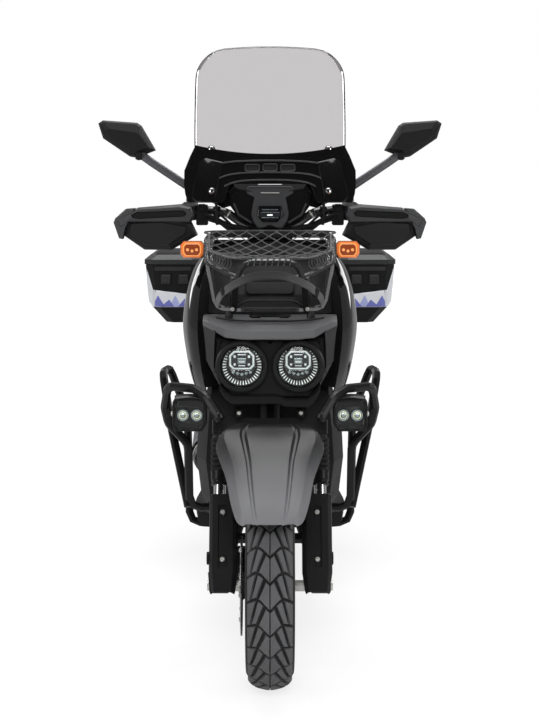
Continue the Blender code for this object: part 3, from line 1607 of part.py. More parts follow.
def rear_rack():
    """Grab rails, carrier and the arms that hold the panniers."""
    side = [
        at(0.1690, 1.150, 0.755),
        at(0.192, 1.156, 0.765),
        at(0.190, 1.300, 0.882),
        at(0.182, 1.600, 0.905),
        at(0.120, 1.785, 0.905),
    ]
    route = side + [Vector((-p.x, p.y, p.z)) for p in reversed(side)]
    rack = tube("rear_rack", rounded(route, 0.03), 0.010, POWDER)
    pieces = [
        tube("bar", [at(-half, d, 0.905), at(half, d, 0.905)], 0.008, POWDER, 6)
        for half, d in ((0.166, 1.648), (0.142, 1.720))
    ]
    for side_sign in (-1, 1):
        pieces.append(
            rod(
                "strut",
                at(side_sign * 0.045, 1.690, 0.7907),
                at(side_sign * 0.045, 1.718, 0.905),
                0.010,
                POWDER,
                8,
            ),
        )
        for behind, high in ((1.340, 0.884), (1.540, 0.899)):
            pieces.append(
                rod(
                    "peg",
                    at(side_sign * 0.185, behind, high),
                    at(side_sign * 0.2097, behind, high),
                    0.008,
                    POWDER,
                    8,
                ),
            )
    return fuse(rack, *pieces)


PANNIER_IN, PANNIER_OUT = 0.210, 0.372
PANNIER_FRONT, PANNIER_REAR = 1.190, 1.600
PANNIER_LOW, PANNIER_SEAM = 0.752, 0.926
PANNIER_TOP = 0.956
LID_PIVOT_X = 0.203
HINGES = (1.290, 1.500)


def pannier():
    """The left side box, open at its lid seam."""
    rings = []
    for z, inset, inset_out in (
        (PANNIER_SEAM, 0.0, 0.0),
        (PANNIER_SEAM - 0.11, 0.006, 0.010),
        (PANNIER_LOW + 0.045, 0.010, 0.022),
        (PANNIER_LOW, 0.030, 0.060),
    ):
        rings.append(pannier_ring(z, inset, inset_out))
    box = thicken(loft("pannier_left", rings, PLASTIC, caps="last"), 0.004)
    for behind in HINGES:
        for start in (behind - 0.030, behind + 0.0153):
            fuse(box, *knuckle(start, start + 0.0147, PANNIER_SEAM - 0.004))
    return box


def knuckle(start, end, web_z):
    """One eye of a lid hinge, with the web that joins it to its wall."""
    place = (LID_PIVOT_X, PANNIER_SEAM + 0.002)
    eye = rod("eye", at(place[0], start, place[1]), at(place[0], end, place[1]), 0.0048, PLASTIC, 8)
    middle = at((place[0] + PANNIER_IN + 0.002) / 2, (start + end) / 2, web_z)
    web = block("web", middle, (PANNIER_IN + 0.002 - place[0], end - start, 0.006), PLASTIC)
    return eye, web


def pannier_ring(z, inset, inset_out, chamfer=0.022):
    """The plan outline of the left side box at a height."""
    low_x, high_x = PANNIER_IN + inset * 0.3, PANNIER_OUT - inset_out
    front, rear = PANNIER_FRONT + inset, PANNIER_REAR - inset
    corners = [
        (low_x, front + chamfer),
        (low_x + chamfer, front),
        (high_x - chamfer, front),
        (high_x, front + chamfer),
        (high_x, rear - chamfer),
        (high_x - chamfer, rear),
        (low_x + chamfer, rear),
        (low_x, rear - chamfer),
    ]
    return [at(x, d, z) for x, d in corners]


def pannier_lid():
    """The left box's lid, hinged along its inner edge."""
    rings = []
    for z, inset, inset_out in (
        (PANNIER_SEAM + 0.002, -0.003, -0.003),
        (PANNIER_SEAM + 0.016, -0.003, -0.003),
        (PANNIER_TOP, 0.016, 0.014),
    ):
        rings.append(pannier_ring(z, inset, inset_out))
    lid = thicken(loft("pannier_lid_left", rings, PLASTIC, caps="last"), 0.004)
    for behind in HINGES:
        fuse(lid, *knuckle(behind - 0.015, behind + 0.015, PANNIER_SEAM + 0.0075))
    return lid


def centre_stand():
    """Two legs and feet that hold the rear wheel off the ground, on their cross tube."""
    behind, z = STAND_PIVOT
    tube_across = rod("centre_stand", at(-0.086, behind, z), at(0.086, behind, z), STAND_TUBE, POWDER, 16)
    pieces = []
    for side in (-1, 1):
        leg = [at(side * 0.075, behind, z), at(side * 0.140, behind - 0.030, GROUND + 0.012)]
        pieces.append(tube("leg", leg, 0.011, POWDER))
        foot = at(side * 0.146, behind - 0.032, GROUND + 0.006)
        pieces.append(block("foot", foot, (0.036, 0.060, 0.012), POWDER, 0.002))
    return fuse(tube_across, *pieces)


def side_stand():
    """The folded prop on the left, its eye against the frame's bracket."""
    eye = rod(
        "side_stand",
        at(SIDE_PIVOT_X + SEAT_GAP, *SIDE_PIVOT),
        at(0.162, *SIDE_PIVOT),
        0.012,
        POWDER,
        12,
    )
    behind, z = SIDE_PIVOT
    route = [
        at(0.154, behind, z),
        at(0.166, behind + 0.090, z - 0.006),
        at(0.186, behind + 0.190, z - 0.016),
    ]
    shoe = block("shoe", route[-1] + Vector((0.004, -0.004, -0.003)), (0.034, 0.040, 0.010), POWDER, 0.002)
    return fuse(eye, tube("leg", rounded(route, 0.05), 0.008, POWDER), shoe)


def build():
    """Makes every piece and hangs the moving ones on their axes."""
    steering = pivot("steering_axis", on_fork(0, 0, CROWN_LOW))
    steering_pieces = [steering_stem(), front_axle(), front_fender(), front_caliper(), handlebar()]
    steering_pieces += [*pair(fork_leg()), *pair(fork_guard()), *pair(controls()), *pair(hand_guard())]
    steering_pieces += [*pair(mirror()), cowl(), cowl_lamp(), windscreen(), screen_panel()]
    carry(steering, *steering_pieces)
    front = pivot("front_wheel_axis", at(0, 0, AXLE_HEIGHT))
    carry(front, *front_wheel())
    carry(steering, front)
    rear = pivot("rear_wheel_axis", at(0, 1.40, REAR_AXLE_HEIGHT))
    carry(rear, *rear_wheel())
    frame()
    front_fascia()
    pair(headlight())
    leg_shield()
    pair(wing())
    shoulder_panel()
    front_rack()
    cargo_net()
    luggage_strap()
    pair(crash_bar())
    pair(aux_light())
    pair(front_signal())
    floorboard()
    rear_body()
    engine()
    exhaust()
    pair(rear_shock())
    rear_fender()
    tail_lamp()
    rear_rack()
    pair(pannier())
    seat_hinge = pivot("seat_axis", at(0, *SEAT_PIVOT))
    carry(seat_hinge, seat())
    lid_hinge = pivot("lid_axes", at(LID_PIVOT_X, PANNIER_FRONT, PANNIER_SEAM + 0.002))
    carry(lid_hinge, *pair(pannier_lid()))
    carry(pivot("centre_stand_axis", at(0, *STAND_PIVOT)), centre_stand())
    carry(pivot("side_stand_axis", at(SIDE_PIVOT_X, *SIDE_PIVOT)), side_stand())


build()
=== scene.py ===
"""Looks of an adventure motor scooter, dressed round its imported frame.

Places are written as in the part's own source: x across, how far behind the front axle, and the height
over a datum that lies GROUND below the tyre's foot. Every sub-assembly is a class whose build() makes
its pieces and hangs them on the bodies that carry them.
"""

from __future__ import annotations

import logging
import math
from dataclasses import dataclass, field
from enum import Enum
from typing import Callable, Sequence

import bmesh
import bpy
from mathutils import Matrix, Quaternion, Vector


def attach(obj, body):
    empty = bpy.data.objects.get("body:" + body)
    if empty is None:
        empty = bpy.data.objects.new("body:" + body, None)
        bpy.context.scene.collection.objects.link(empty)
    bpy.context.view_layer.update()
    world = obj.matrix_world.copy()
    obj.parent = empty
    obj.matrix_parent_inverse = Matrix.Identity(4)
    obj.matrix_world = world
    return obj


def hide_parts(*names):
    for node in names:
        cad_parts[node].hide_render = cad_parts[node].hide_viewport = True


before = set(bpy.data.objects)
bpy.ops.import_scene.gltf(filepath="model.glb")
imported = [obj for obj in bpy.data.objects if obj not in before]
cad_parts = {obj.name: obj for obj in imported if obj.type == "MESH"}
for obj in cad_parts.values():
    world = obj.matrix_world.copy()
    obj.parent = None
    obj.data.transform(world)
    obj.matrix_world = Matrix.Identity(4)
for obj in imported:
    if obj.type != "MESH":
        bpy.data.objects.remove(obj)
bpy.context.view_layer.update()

log = logging.getLogger("scooter")

Route = list[Vector]
Ring = list[Vector]

GROUND = 0.010
FRONT_AXLE_Y = -0.776
AXLE_HEIGHT = 0.248
REAR_AXLE_HEIGHT = 0.270
WHEELBASE = 1.40
RAKE = math.radians(26.0)
AXIS_GROUND_LEAD = 0.0876
SIDES = (-1, 1)


def at(x: float, behind: float, z: float) -> Vector:
    """A point given by its distance behind the front axle and its height over the datum."""
    return Vector((x, FRONT_AXLE_Y + behind, z - GROUND))


def side_name(side: int) -> str:
    """The name of a side, as the nodes have it."""
    return "left" if side > 0 else "right"


def axis_behind(z: float) -> float:
    """How far behind the front axle the steering axis passes at a height."""
    return -AXIS_GROUND_LEAD + z * math.tan(RAKE)


STEER_UP = Vector((0.0, math.sin(RAKE), math.cos(RAKE)))
STEER_BACK = Vector((0.0, math.cos(RAKE), -math.sin(RAKE)))
STEER_FOOT = at(0.0, -AXIS_GROUND_LEAD, 0.0)
ACROSS = Vector((1.0, 0.0, 0.0))
FORWARD = Vector((0.0, -1.0, 0.0))
BACK = Vector((0.0, 1.0, 0.0))
UP = Vector((0.0, 0.0, 1.0))


def on_fork(x: float, back: float, up: float) -> Vector:
    """A point in the fork's own frame: across, behind the steering axis and along it."""
    return STEER_FOOT + ACROSS * x + STEER_BACK * back + STEER_UP * up


FORK_AXLE = at(0.0, 0.0, AXLE_HEIGHT)
AXLE_UP = (FORK_AXLE - STEER_FOOT).dot(STEER_UP)
AXLE_BACK = (FORK_AXLE - STEER_FOOT).dot(STEER_BACK)


class Slot(Enum):
    """The record's material slots."""

    TYRE = "tyre"
    RIM = "rim"
    STEEL = "steel"
    CHROME = "chrome"
    PLASTIC = "plastic"
    GLOSS = "gloss"
    FENDER = "fender"
    POWDER = "powder"
    CAST = "cast"
    SCREEN = "screen"
    LENS = "lens"
    AMBER = "amber"
    RED = "red"
    VINYL = "vinyl"
    CLOTH = "cloth"


# Shader groups


class Graph:
    """A node tree that is filled by short calls."""

    def __init__(self, tree: bpy.types.NodeTree) -> None:
        """Keeps the tree to fill."""
        self.tree = tree

    def add(
        self,
        kind: str,
        links: dict[str | int, object] | None = None,
        **settings: object,
    ) -> bpy.types.Node:
        """Adds a node.

        Args:
            kind: Blender's name of the node type.
            links: input names or numbers with the socket or value that each takes.
            settings: attributes of the node.

        Returns:
            The new node.
        """
        node = self.tree.nodes.new(kind)
        for name, value in settings.items():
            setattr(node, name, value)
        for name, value in (links or {}).items():
            if isinstance(value, bpy.types.NodeSocket):
                self.tree.links.new(value, node.inputs[name])
            else:
                node.inputs[name].default_value = value
        return node

    def math(self, operation: str, first: object, second: object = 0.0) -> bpy.types.NodeSocket:
        """The output of a math node."""
        return self.add("ShaderNodeMath", {0: first, 1: second}, operation=operation).outputs[0]

    def ramp(self, value: bpy.types.NodeSocket, low: float, high: float) -> bpy.types.NodeSocket:
        """A value stretched so that low gives 0 and high gives 1, and clamped."""
        return self.add("ShaderNodeMapRange", {0: value, 1: low, 2: high}).outputs[0]

    def blend(self, share: object, first: object, second: object) -> bpy.types.NodeSocket:
        """A colour between two colours."""
        links = {0: share, 6: first, 7: second}
        return self.add("ShaderNodeMix", links, data_type="RGBA").outputs[2]


def shader_group(
    name: str,
    inputs: Sequence[tuple[str, str, object]],
    outputs: Sequence[tuple[str, str]],
    fill: Callable[[Graph, bpy.types.Node, bpy.types.Node], None],
) -> bpy.types.NodeTree:
    """Builds a named shader group once.

    Args:
        name: the group's name.
        inputs: socket names with their kinds and first values.
        outputs: socket names with their kinds.
        fill: puts the nodes between the group's input and output.

    Returns:
        The group's tree.
    """
    found = bpy.data.node_groups.get(name)
    if found:
        return found
    tree = bpy.data.node_groups.new(name, "ShaderNodeTree")
    for label, kind, value in inputs:
        socket = tree.interface.new_socket(label, in_out="INPUT", socket_type="NodeSocket" + kind)
        socket.default_value = value
    for label, kind in outputs:
        tree.interface.new_socket(label, in_out="OUTPUT", socket_type="NodeSocket" + kind)
    graph = Graph(tree)
    fill(graph, graph.add("NodeGroupInput"), graph.add("NodeGroupOutput"))
    return tree


def grain_group() -> bpy.types.NodeTree:
    """Moulded grain: a fine pebble in the surface, and slow changes of tone and of shine."""

    def fill(graph: Graph, given: bpy.types.Node, out: bpy.types.Node) -> None:
        place = graph.add("ShaderNodeTexCoord").outputs["Object"]
        fine = graph.add(
            "ShaderNodeTexNoise",
            {"Vector": place, "Scale": given.outputs["Scale"], "Detail": 3.0},
        )
        slow = graph.add(
            "ShaderNodeTexNoise",
            {"Vector": place, "Scale": 9.0, "Detail": 4.0, "Roughness": 0.6},
        )
        tone = graph.math("MULTIPLY", graph.math("SUBTRACT", slow.outputs[0], 0.5), given.outputs["Mottle"])
        light = graph.add(
            "ShaderNodeHueSaturation",
            {"Value": graph.math("ADD", 1.0, tone), "Color": given.outputs["Colour"]},
        )
        graph.tree.links.new(light.outputs[0], out.inputs["Colour"])
        rough = graph.math("ADD", given.outputs["Roughness"], graph.math("MULTIPLY", tone, 0.35))
        graph.tree.links.new(rough, out.inputs["Roughness"])
        bump = graph.add(
            "ShaderNodeBump",
            {"Strength": 1.0, "Distance": given.outputs["Depth"], "Height": fine.outputs[0]},
        )
        graph.tree.links.new(bump.outputs[0], out.inputs["Normal"])

    return shader_group(
        "moulded_grain",
        (
            ("Colour", "Color", (0.5, 0.5, 0.5, 1.0)),
            ("Roughness", "Float", 0.5),
            ("Scale", "Float", 900.0),
            ("Depth", "Float", 0.0002),
            ("Mottle", "Float", 0.2),
        ),
        (("Colour", "Color"), ("Roughness", "Float"), ("Normal", "Vector")),
        fill,
    )


def hide_group() -> bpy.types.NodeTree:
    """Seat cover: small raised cells with creases between them."""

    def fill(graph: Graph, given: bpy.types.Node, out: bpy.types.Node) -> None:
        place = graph.add("ShaderNodeTexCoord").outputs["Object"]
        cells = graph.add(
            "ShaderNodeTexVoronoi",
            {"Vector": place, "Scale": given.outputs["Scale"]},
            feature="DISTANCE_TO_EDGE",
        )
        creases = graph.ramp(cells.outputs[0], 0.0, 0.18)
        slow = graph.add("ShaderNodeTexNoise", {"Vector": place, "Scale": 14.0, "Detail": 3.0})
        height = graph.math("ADD", creases, graph.math("MULTIPLY", slow.outputs[0], 0.8))
        bump = graph.add(
            "ShaderNodeBump",
            {"Strength": 1.0, "Distance": given.outputs["Depth"], "Height": height},
        )
        graph.tree.links.new(bump.outputs[0], out.inputs["Normal"])
        graph.tree.links.new(creases, out.inputs["Cells"])

    return shader_group(
        "seat_hide",
        (("Scale", "Float", 420.0), ("Depth", "Float", 0.0003)),
        (("Cells", "Float"), ("Normal", "Vector")),
        fill,
    )


def brushed_group() -> bpy.types.NodeTree:
    """Turned metal: fine rings round an axle, given by its height and place along the scooter."""

    def fill(graph: Graph, given: bpy.types.Node, out: bpy.types.Node) -> None:
        place = graph.add("ShaderNodeTexCoord").outputs["Object"]
        away = graph.add(
            "ShaderNodeVectorMath",
            {0: place, 1: given.outputs["Centre"]},
            operation="SUBTRACT",
        )
        parts = graph.add("ShaderNodeSeparateXYZ", {0: away.outputs[0]})
        flat = graph.add("ShaderNodeCombineXYZ", {1: parts.outputs[1], 2: parts.outputs[2]})
        radius = graph.add("ShaderNodeVectorMath", {0: flat.outputs[0]}, operation="LENGTH")
        rings = graph.add(
            "ShaderNodeTexNoise",
            {"W": graph.math("MULTIPLY", radius.outputs["Value"], 900.0)},
            noise_dimensions="1D",
        )
        graph.tree.links.new(rings.outputs[0], out.inputs["Rings"])

    return shader_group(
        "turned_rings",
        (("Centre", "Vector", (0.0, 0.0, 0.0)),),
        (("Rings", "Float"),),
        fill,
    )


def weave_group() -> bpy.types.NodeTree:
    """Webbing or cord: ribs along two directions of the object."""

    def fill(graph: Graph, given: bpy.types.Node, out: bpy.types.Node) -> None:
        place = graph.add("ShaderNodeTexCoord").outputs["Object"]
        one = graph.add(
            "ShaderNodeTexWave",
            {"Vector": place, "Scale": given.outputs["Scale"], "Distortion": 1.0},
            bands_direction="DIAGONAL",
        )
        two = graph.add(
            "ShaderNodeTexWave",
            {"Vector": place, "Scale": given.outputs["Scale"], "Distortion": 1.0},
            bands_direction="X",
        )
        height = graph.math("MULTIPLY", one.outputs[1], two.outputs[1])
        bump = graph.add("ShaderNodeBump", {"Strength": 1.0, "Distance": 0.0005, "Height": height})
        graph.tree.links.new(bump.outputs[0], out.inputs["Normal"])
        graph.tree.links.new(height, out.inputs["Ribs"])

    return shader_group(
        "webbing_weave",
        (("Scale", "Float", 300.0),),
        (("Ribs", "Float"), ("Normal", "Vector")),
        fill,
    )


# Finishes


@dataclass(frozen=True)
class Finish:
    """A surface finish with moulded, cast or sprayed grain."""

    name: str
    slot: Slot
    colour: tuple[float, float, float]
    roughness: float
    metallic: float = 0.0
    grain: float = 900.0
    depth: float = 0.00015
    mottle: float = 0.25
    coat: float = 0.0
    coat_roughness: float = 0.08
    specular: float = 0.5

    def material(self) -> bpy.types.Material:
        """The finish's material, made once."""
        found = bpy.data.materials.get("look_" + self.name)
        if found:
            return found
        made = bpy.data.materials.new("look_" + self.name)
        made.use_nodes = True
        graph = Graph(made.node_tree)
        shader = made.node_tree.nodes["Principled BSDF"]
        self.dress(graph, shader)
        return made

    def dress(self, graph: Graph, shader: bpy.types.Node) -> None:
        """Feeds the shader from the grain group.

        Args:
            graph: the material's node tree.
            shader: its Principled shader.
        """
        grain = graph.add("ShaderNodeGroup", node_tree=grain_group())
        grain.inputs["Colour"].default_value = (*self.colour, 1.0)
        grain.inputs["Roughness"].default_value = self.roughness
        grain.inputs["Scale"].default_value = self.grain
        grain.inputs["Depth"].default_value = self.depth
        grain.inputs["Mottle"].default_value = self.mottle
        links = graph.tree.links
        links.new(grain.outputs["Colour"], shader.inputs["Base Color"])
        links.new(grain.outputs["Roughness"], shader.inputs["Roughness"])
        links.new(grain.outputs["Normal"], shader.inputs["Normal"])
        shader.inputs["Metallic"].default_value = self.metallic
        shader.inputs["Coat Weight"].default_value = self.coat
        shader.inputs["Coat Roughness"].default_value = self.coat_roughness
        shader.inputs["Specular IOR Level"].default_value = self.specular


@dataclass(frozen=True)
class ClearFinish(Finish):
    """A clear or tinted moulding that light passes through."""

    ior: float = 1.49

    def dress(self, graph: Graph, shader: bpy.types.Node) -> None:
        """Sets the shader's own sockets, so that the tint stays plain."""
        shader.inputs["Base Color"].default_value = (*self.colour, 1.0)
        shader.inputs["Roughness"].default_value = self.roughness
        shader.inputs["Transmission Weight"].default_value = 1.0
        shader.inputs["IOR"].default_value = self.ior
        place = graph.add("ShaderNodeTexCoord").outputs["Object"]
        slow = graph.add("ShaderNodeTexNoise", {"Vector": place, "Scale": self.grain, "Detail": 1.0})
        bump = graph.add(
            "ShaderNodeBump",
            {"Strength": 1.0, "Distance": self.depth, "Height": slow.outputs[0]},
        )
        graph.tree.links.new(bump.outputs[0], shader.inputs["Normal"])


@dataclass(frozen=True)
class GlowFinish(Finish):
    """A lit or bright part of a lamp."""

    glow: float = 1.0

    def dress(self, graph: Graph, shader: bpy.types.Node) -> None:
        """Adds a plain glow of the same colour over the grain."""
        super().dress(graph, shader)
        shader.inputs["Emission Color"].default_value = (*self.colour, 1.0)
        shader.inputs["Emission Strength"].default_value = self.glow


@dataclass(frozen=True)
class PaintedShadeFinish(Finish):
    """A satin finish with painted shade: its colour darkens to near black towards its top, for the shadow
    under the nose.
    """

    low: float = 0.0
    high: float = 1.0
    # Colour of the painted shade at the top.
    dark: tuple[float, float, float] = (0.008, 0.008, 0.0083)

    def dress(self, graph: Graph, shader: bpy.types.Node) -> None:
        """Darkens the grained colour by its height on the part: painted shade, darkest at the top."""
        super().dress(graph, shader)
        # The grained colour before the painted shade darkens it by height.
        sprayed = shader.inputs["Base Color"].links[0].from_socket
        place = graph.add("ShaderNodeTexCoord").outputs["Object"]
        height = graph.add("ShaderNodeSeparateXYZ", {0: place}).outputs[2]
        share = graph.add(
            "ShaderNodeMapRange",
            {0: height, 1: self.low, 2: self.high},
            interpolation_type="SMOOTHSTEP",
        ).outputs[0]
        colour = graph.blend(share, sprayed, (*self.dark, 1.0))
        graph.tree.links.new(colour, shader.inputs["Base Color"])


@dataclass(frozen=True)
class HideFinish(Finish):
    """The seat's grained cover."""

    def dress(self, graph: Graph, shader: bpy.types.Node) -> None:
        """Feeds the shader from the hide group."""
        hide = graph.add("ShaderNodeGroup", node_tree=hide_group())
        hide.inputs["Scale"].default_value = self.grain
        hide.inputs["Depth"].default_value = self.depth
        # The creases between the cells take a darker colour: painted shade in the creases.
        dark = tuple(value * 0.6 for value in self.colour)
        colour = graph.blend(hide.outputs["Cells"], (*dark, 1.0), (*self.colour, 1.0))
        graph.tree.links.new(colour, shader.inputs["Base Color"])
        graph.tree.links.new(hide.outputs["Normal"], shader.inputs["Normal"])
        shader.inputs["Roughness"].default_value = self.roughness


@dataclass(frozen=True)
class TurnedFinish(Finish):
    """Steel with the rings that turning or braking leaves."""

    centre: tuple[float, float, float] = (0.0, 0.0, 0.0)

    def dress(self, graph: Graph, shader: bpy.types.Node) -> None:
        """Feeds roughness and tone from the ring group."""
        turned = graph.add("ShaderNodeGroup", node_tree=brushed_group())
        turned.inputs["Centre"].default_value = self.centre
        rough = graph.add(
            "ShaderNodeMapRange",
            {0: turned.outputs["Rings"], 3: self.roughness - 0.08, 4: self.roughness + 0.12},
        )
        dark = tuple(value * 0.75 for value in self.colour)
        colour = graph.blend(turned.outputs["Rings"], (*dark, 1.0), (*self.colour, 1.0))
        graph.tree.links.new(colour, shader.inputs["Base Color"])
        graph.tree.links.new(rough.outputs[0], shader.inputs["Roughness"])
        shader.inputs["Metallic"].default_value = self.metallic


@dataclass(frozen=True)
class WovenFinish(Finish):
    """Webbing, elastic cord and braid."""

    def dress(self, graph: Graph, shader: bpy.types.Node) -> None:
        """Feeds tone and relief from the weave group."""
        woven = graph.add("ShaderNodeGroup", node_tree=weave_group())
        woven.inputs["Scale"].default_value = self.grain
        # The raised parts of the weave take a paler colour: painted highlight on the ribs.
        pale = tuple(min(1.0, value * 1.7) for value in self.colour)
        colour = graph.blend(woven.outputs["Ribs"], (*self.colour, 1.0), (*pale, 1.0))
        graph.tree.links.new(colour, shader.inputs["Base Color"])
        graph.tree.links.new(woven.outputs["Normal"], shader.inputs["Normal"])
        shader.inputs["Roughness"].default_value = self.roughness
        shader.inputs["Sheen Weight"].default_value = 0.3


MOULDED = Finish(
    "moulded_black",
    Slot.PLASTIC,
    (0.0085, 0.0085, 0.0089),
    0.48,
    grain=1400.0,
    depth=0.00012,
    specular=0.240,
)
MOULDED_GREY = Finish(
    "moulded_dark_grey",
    Slot.PLASTIC,
    (0.025, 0.0255, 0.027),
    0.40,
    grain=1400.0,
    depth=0.00012,
    specular=0.4,
)
# Fender grey with painted shade: it darkens by height on the part to near black at the top, for the nose's
# shadow on the fender.
FENDER_PAINTED_SHADE = PaintedShadeFinish(
    "fender_painted_shade",
    Slot.FENDER,
    (0.125, 0.1255, 0.132),
    0.40,
    grain=1600.0,
    depth=0.00008,
    mottle=0.12,
    specular=0.4,
    low=0.455,
    high=0.592,
)
FENDER_GREY = Finish(
    "fender_satin_grey",
    Slot.FENDER,
    (0.088, 0.089, 0.094),
    0.40,
    grain=1600.0,
    depth=0.00008,
    mottle=0.12,
    specular=0.4,
)
SOFT_RUBBER = Finish(
    "soft_rubber",
    Slot.PLASTIC,
    (0.009, 0.009, 0.0095),
    0.66,
    grain=700.0,
    depth=0.0002,
    specular=0.3,
)
GLOSS_BLACK = Finish(
    "gloss_black",
    Slot.GLOSS,
    (0.0035, 0.0033, 0.0033),
    0.06,
    grain=60.0,
    depth=0.00002,
    mottle=0.0,
    specular=0.34,
)
BAR_LACQUER = Finish(
    "bar_lacquer",
    Slot.POWDER,
    (0.16, 0.16, 0.16),
    0.20,
    metallic=0.85,
    grain=300.0,
    depth=0.0001,
    mottle=0.2,
)
SHADE_BLACK = Finish(
    "shaded_black",
    Slot.PLASTIC,
    (0.0045, 0.0045, 0.0047),
    0.60,
    grain=1200.0,
    depth=0.00012,
    specular=0.04,
)
# Grey moulding of the brow, made paler than the other grey mouldings to carry a painted highlight from the
# light above.
BROW_GREY_PAINTED_HIGHLIGHT = Finish(
    "brow_grey_painted_highlight",
    Slot.PLASTIC,
    (0.080, 0.081, 0.084),
    0.42,
    grain=1400.0,
    depth=0.00012,
    specular=0.4,
)
AMBER_DEEP = GlowFinish("amber_deep", Slot.AMBER, (0.20, 0.035, 0.006), 0.2, coat=0.5, glow=0.05)
BODY_BLACK = Finish(
    "body_black",
    Slot.GLOSS,
    (0.011, 0.011, 0.0115),
    0.20,
    grain=60.0,
    depth=0.00003,
    mottle=0.1,
    specular=0.5,
)
RACK_LACQUER = Finish(
    "rack_lacquer",
    Slot.POWDER,
    (0.020, 0.020, 0.021),
    0.22,
    metallic=0.35,
    grain=900.0,
    depth=0.0001,
    mottle=0.15,
    specular=0.6,
)
POWDER_COAT = Finish(
    "powder_black",
    Slot.POWDER,
    (0.0055, 0.0055, 0.0057),
    0.32,
    grain=1100.0,
    depth=0.0001,
    mottle=0.15,
    specular=0.28,
)
# Rubber for the tread blocks, far paler than the carcass rubber: painted highlight on the blocks.
TREAD_RUBBER_PAINTED_HIGHLIGHT = Finish(
    "tread_rubber_painted_highlight",
    Slot.TYRE,
    (0.070, 0.070, 0.073),
    0.56,
    grain=420.0,
    depth=0.0003,
    mottle=0.5,
    specular=0.4,
)
WALL_RUBBER = Finish(
    "wall_rubber",
    Slot.TYRE,
    (0.010, 0.010, 0.0105),
    0.60,
    grain=260.0,
    depth=0.0003,
    mottle=0.4,
    specular=0.3,
)
CAST_BLACK = Finish(
    "cast_black",
    Slot.RIM,
    (0.014, 0.014, 0.015),
    0.36,
    metallic=0.3,
    grain=600.0,
    depth=0.00015,
    specular=0.4,
)
CAST_GREY = Finish(
    "cast_grey",
    Slot.CAST,
    (0.14, 0.14, 0.15),
    0.48,
    metallic=0.8,
    grain=500.0,
    depth=0.0003,
    mottle=0.5,
)
CAST_DARK = Finish(
    "cast_dark",
    Slot.CAST,
    (0.022, 0.022, 0.024),
    0.42,
    metallic=0.5,
    grain=500.0,
    depth=0.0003,
    mottle=0.4,
)
CHROME = Finish(
    "chrome",
    Slot.CHROME,
    (0.80, 0.80, 0.81),
    0.09,
    metallic=1.0,
    grain=30.0,
    depth=0.00001,
    mottle=0.02,
)
ZINC = Finish(
    "zinc_steel",
    Slot.STEEL,
    (0.60, 0.59, 0.56),
    0.30,
    metallic=0.6,
    grain=300.0,
    depth=0.0001,
    mottle=0.3,
)
DISC_STEEL = TurnedFinish(
    "disc_steel", Slot.STEEL, (0.56, 0.56, 0.57), 0.26, metallic=1.0, centre=tuple(
        at(0.0, 0.0, AXLE_HEIGHT),
    )
)
SMOKE_SCREEN = ClearFinish("smoke_screen", Slot.SCREEN, (0.60, 0.582, 0.588), 0.0, grain=3.0, depth=0.0001)
CLEAR_LENS = ClearFinish("clear_lens", Slot.LENS, (0.97, 0.99, 0.99), 0.0, grain=8.0, depth=0.0, ior=1.38)
AMBER_LENS = GlowFinish(
    "amber_lens",
    Slot.AMBER,
    (0.60, 0.145, 0.028),
    0.18,
    grain=60.0,
    depth=0.0001,
    mottle=0.4,
    coat=0.6,
    glow=0.14,
)
RED_LENS = ClearFinish("red_lens", Slot.RED, (0.75, 0.01, 0.01), 0.04, grain=40.0, depth=0.0001)
AMBER_GLOW = GlowFinish("amber_pips", Slot.AMBER, (0.80, 0.30, 0.09), 0.25, glow=0.20)
RED_GLOW = GlowFinish("red_glow", Slot.RED, (0.65, 0.01, 0.01), 0.30, glow=0.15)
LED_WHITE = GlowFinish("lamp_white", Slot.LENS, (0.84, 0.87, 0.85), 0.15, glow=0.30)
LED_CREAM = GlowFinish("lamp_cream", Slot.LENS, (0.86, 0.86, 0.55), 0.20, glow=0.14)
LAMP_CHROME = Finish(
    "lamp_chrome",
    Slot.LENS,
    (0.62, 0.70, 0.70),
    0.10,
    metallic=1.0,
    grain=120.0,
    depth=0.0001,
    mottle=0.3,
)
SEAT_HIDE = HideFinish("seat_hide", Slot.VINYL, (0.024, 0.024, 0.025), 0.50, grain=420.0, depth=0.00025)
SEAT_THREAD = WovenFinish("seat_thread", Slot.VINYL, (0.10, 0.10, 0.10), 0.8, grain=900.0)
WEBBING = WovenFinish("webbing", Slot.CLOTH, (0.010, 0.010, 0.011), 0.85, grain=260.0)
ELASTIC = WovenFinish("elastic_cord", Slot.CLOTH, (0.012, 0.012, 0.013), 0.70, grain=600.0)
PANEL_WHITE = Finish(
    "panel_white",
    Slot.PLASTIC,
    (0.72, 0.73, 0.77),
    0.30,
    grain=900.0,
    depth=0.00003,
    mottle=0.05,
    coat=0.5,
)
PANEL_VIOLET = Finish(
    "panel_violet",
    Slot.PLASTIC,
    (0.13, 0.15, 0.48),
    0.30,
    grain=900.0,
    depth=0.00003,
    mottle=0.1,
    coat=0.5,
)
PANEL_LILAC = Finish(
    "panel_lilac",
    Slot.PLASTIC,
    (0.38, 0.42, 0.72),
    0.30,
    grain=900.0,
    depth=0.00003,
    mottle=0.1,
    coat=0.5,
)
MIRROR_GLASS = Finish(
    "mirror_glass",
    Slot.CHROME,
    (0.86, 0.88, 0.90),
    0.015,
    metallic=1.0,
    grain=4.0,
    depth=0.0,
    mottle=0.0,
)
DARK_GLASS = Finish(
    "dark_glass",
    Slot.GLOSS,
    (0.004, 0.005, 0.007),
    0.05,
    grain=10.0,
    depth=0.0,
    mottle=0.0,
)
PLATE_BLANK = Finish(
    "plate_blank",
    Slot.PLASTIC,
    (0.70, 0.70, 0.68),
    0.40,
    grain=500.0,
    depth=0.00005,
    mottle=0.05,
)


# Geometry helpers

ARC_STEPS = 6
BEVEL_SEGMENTS = 2


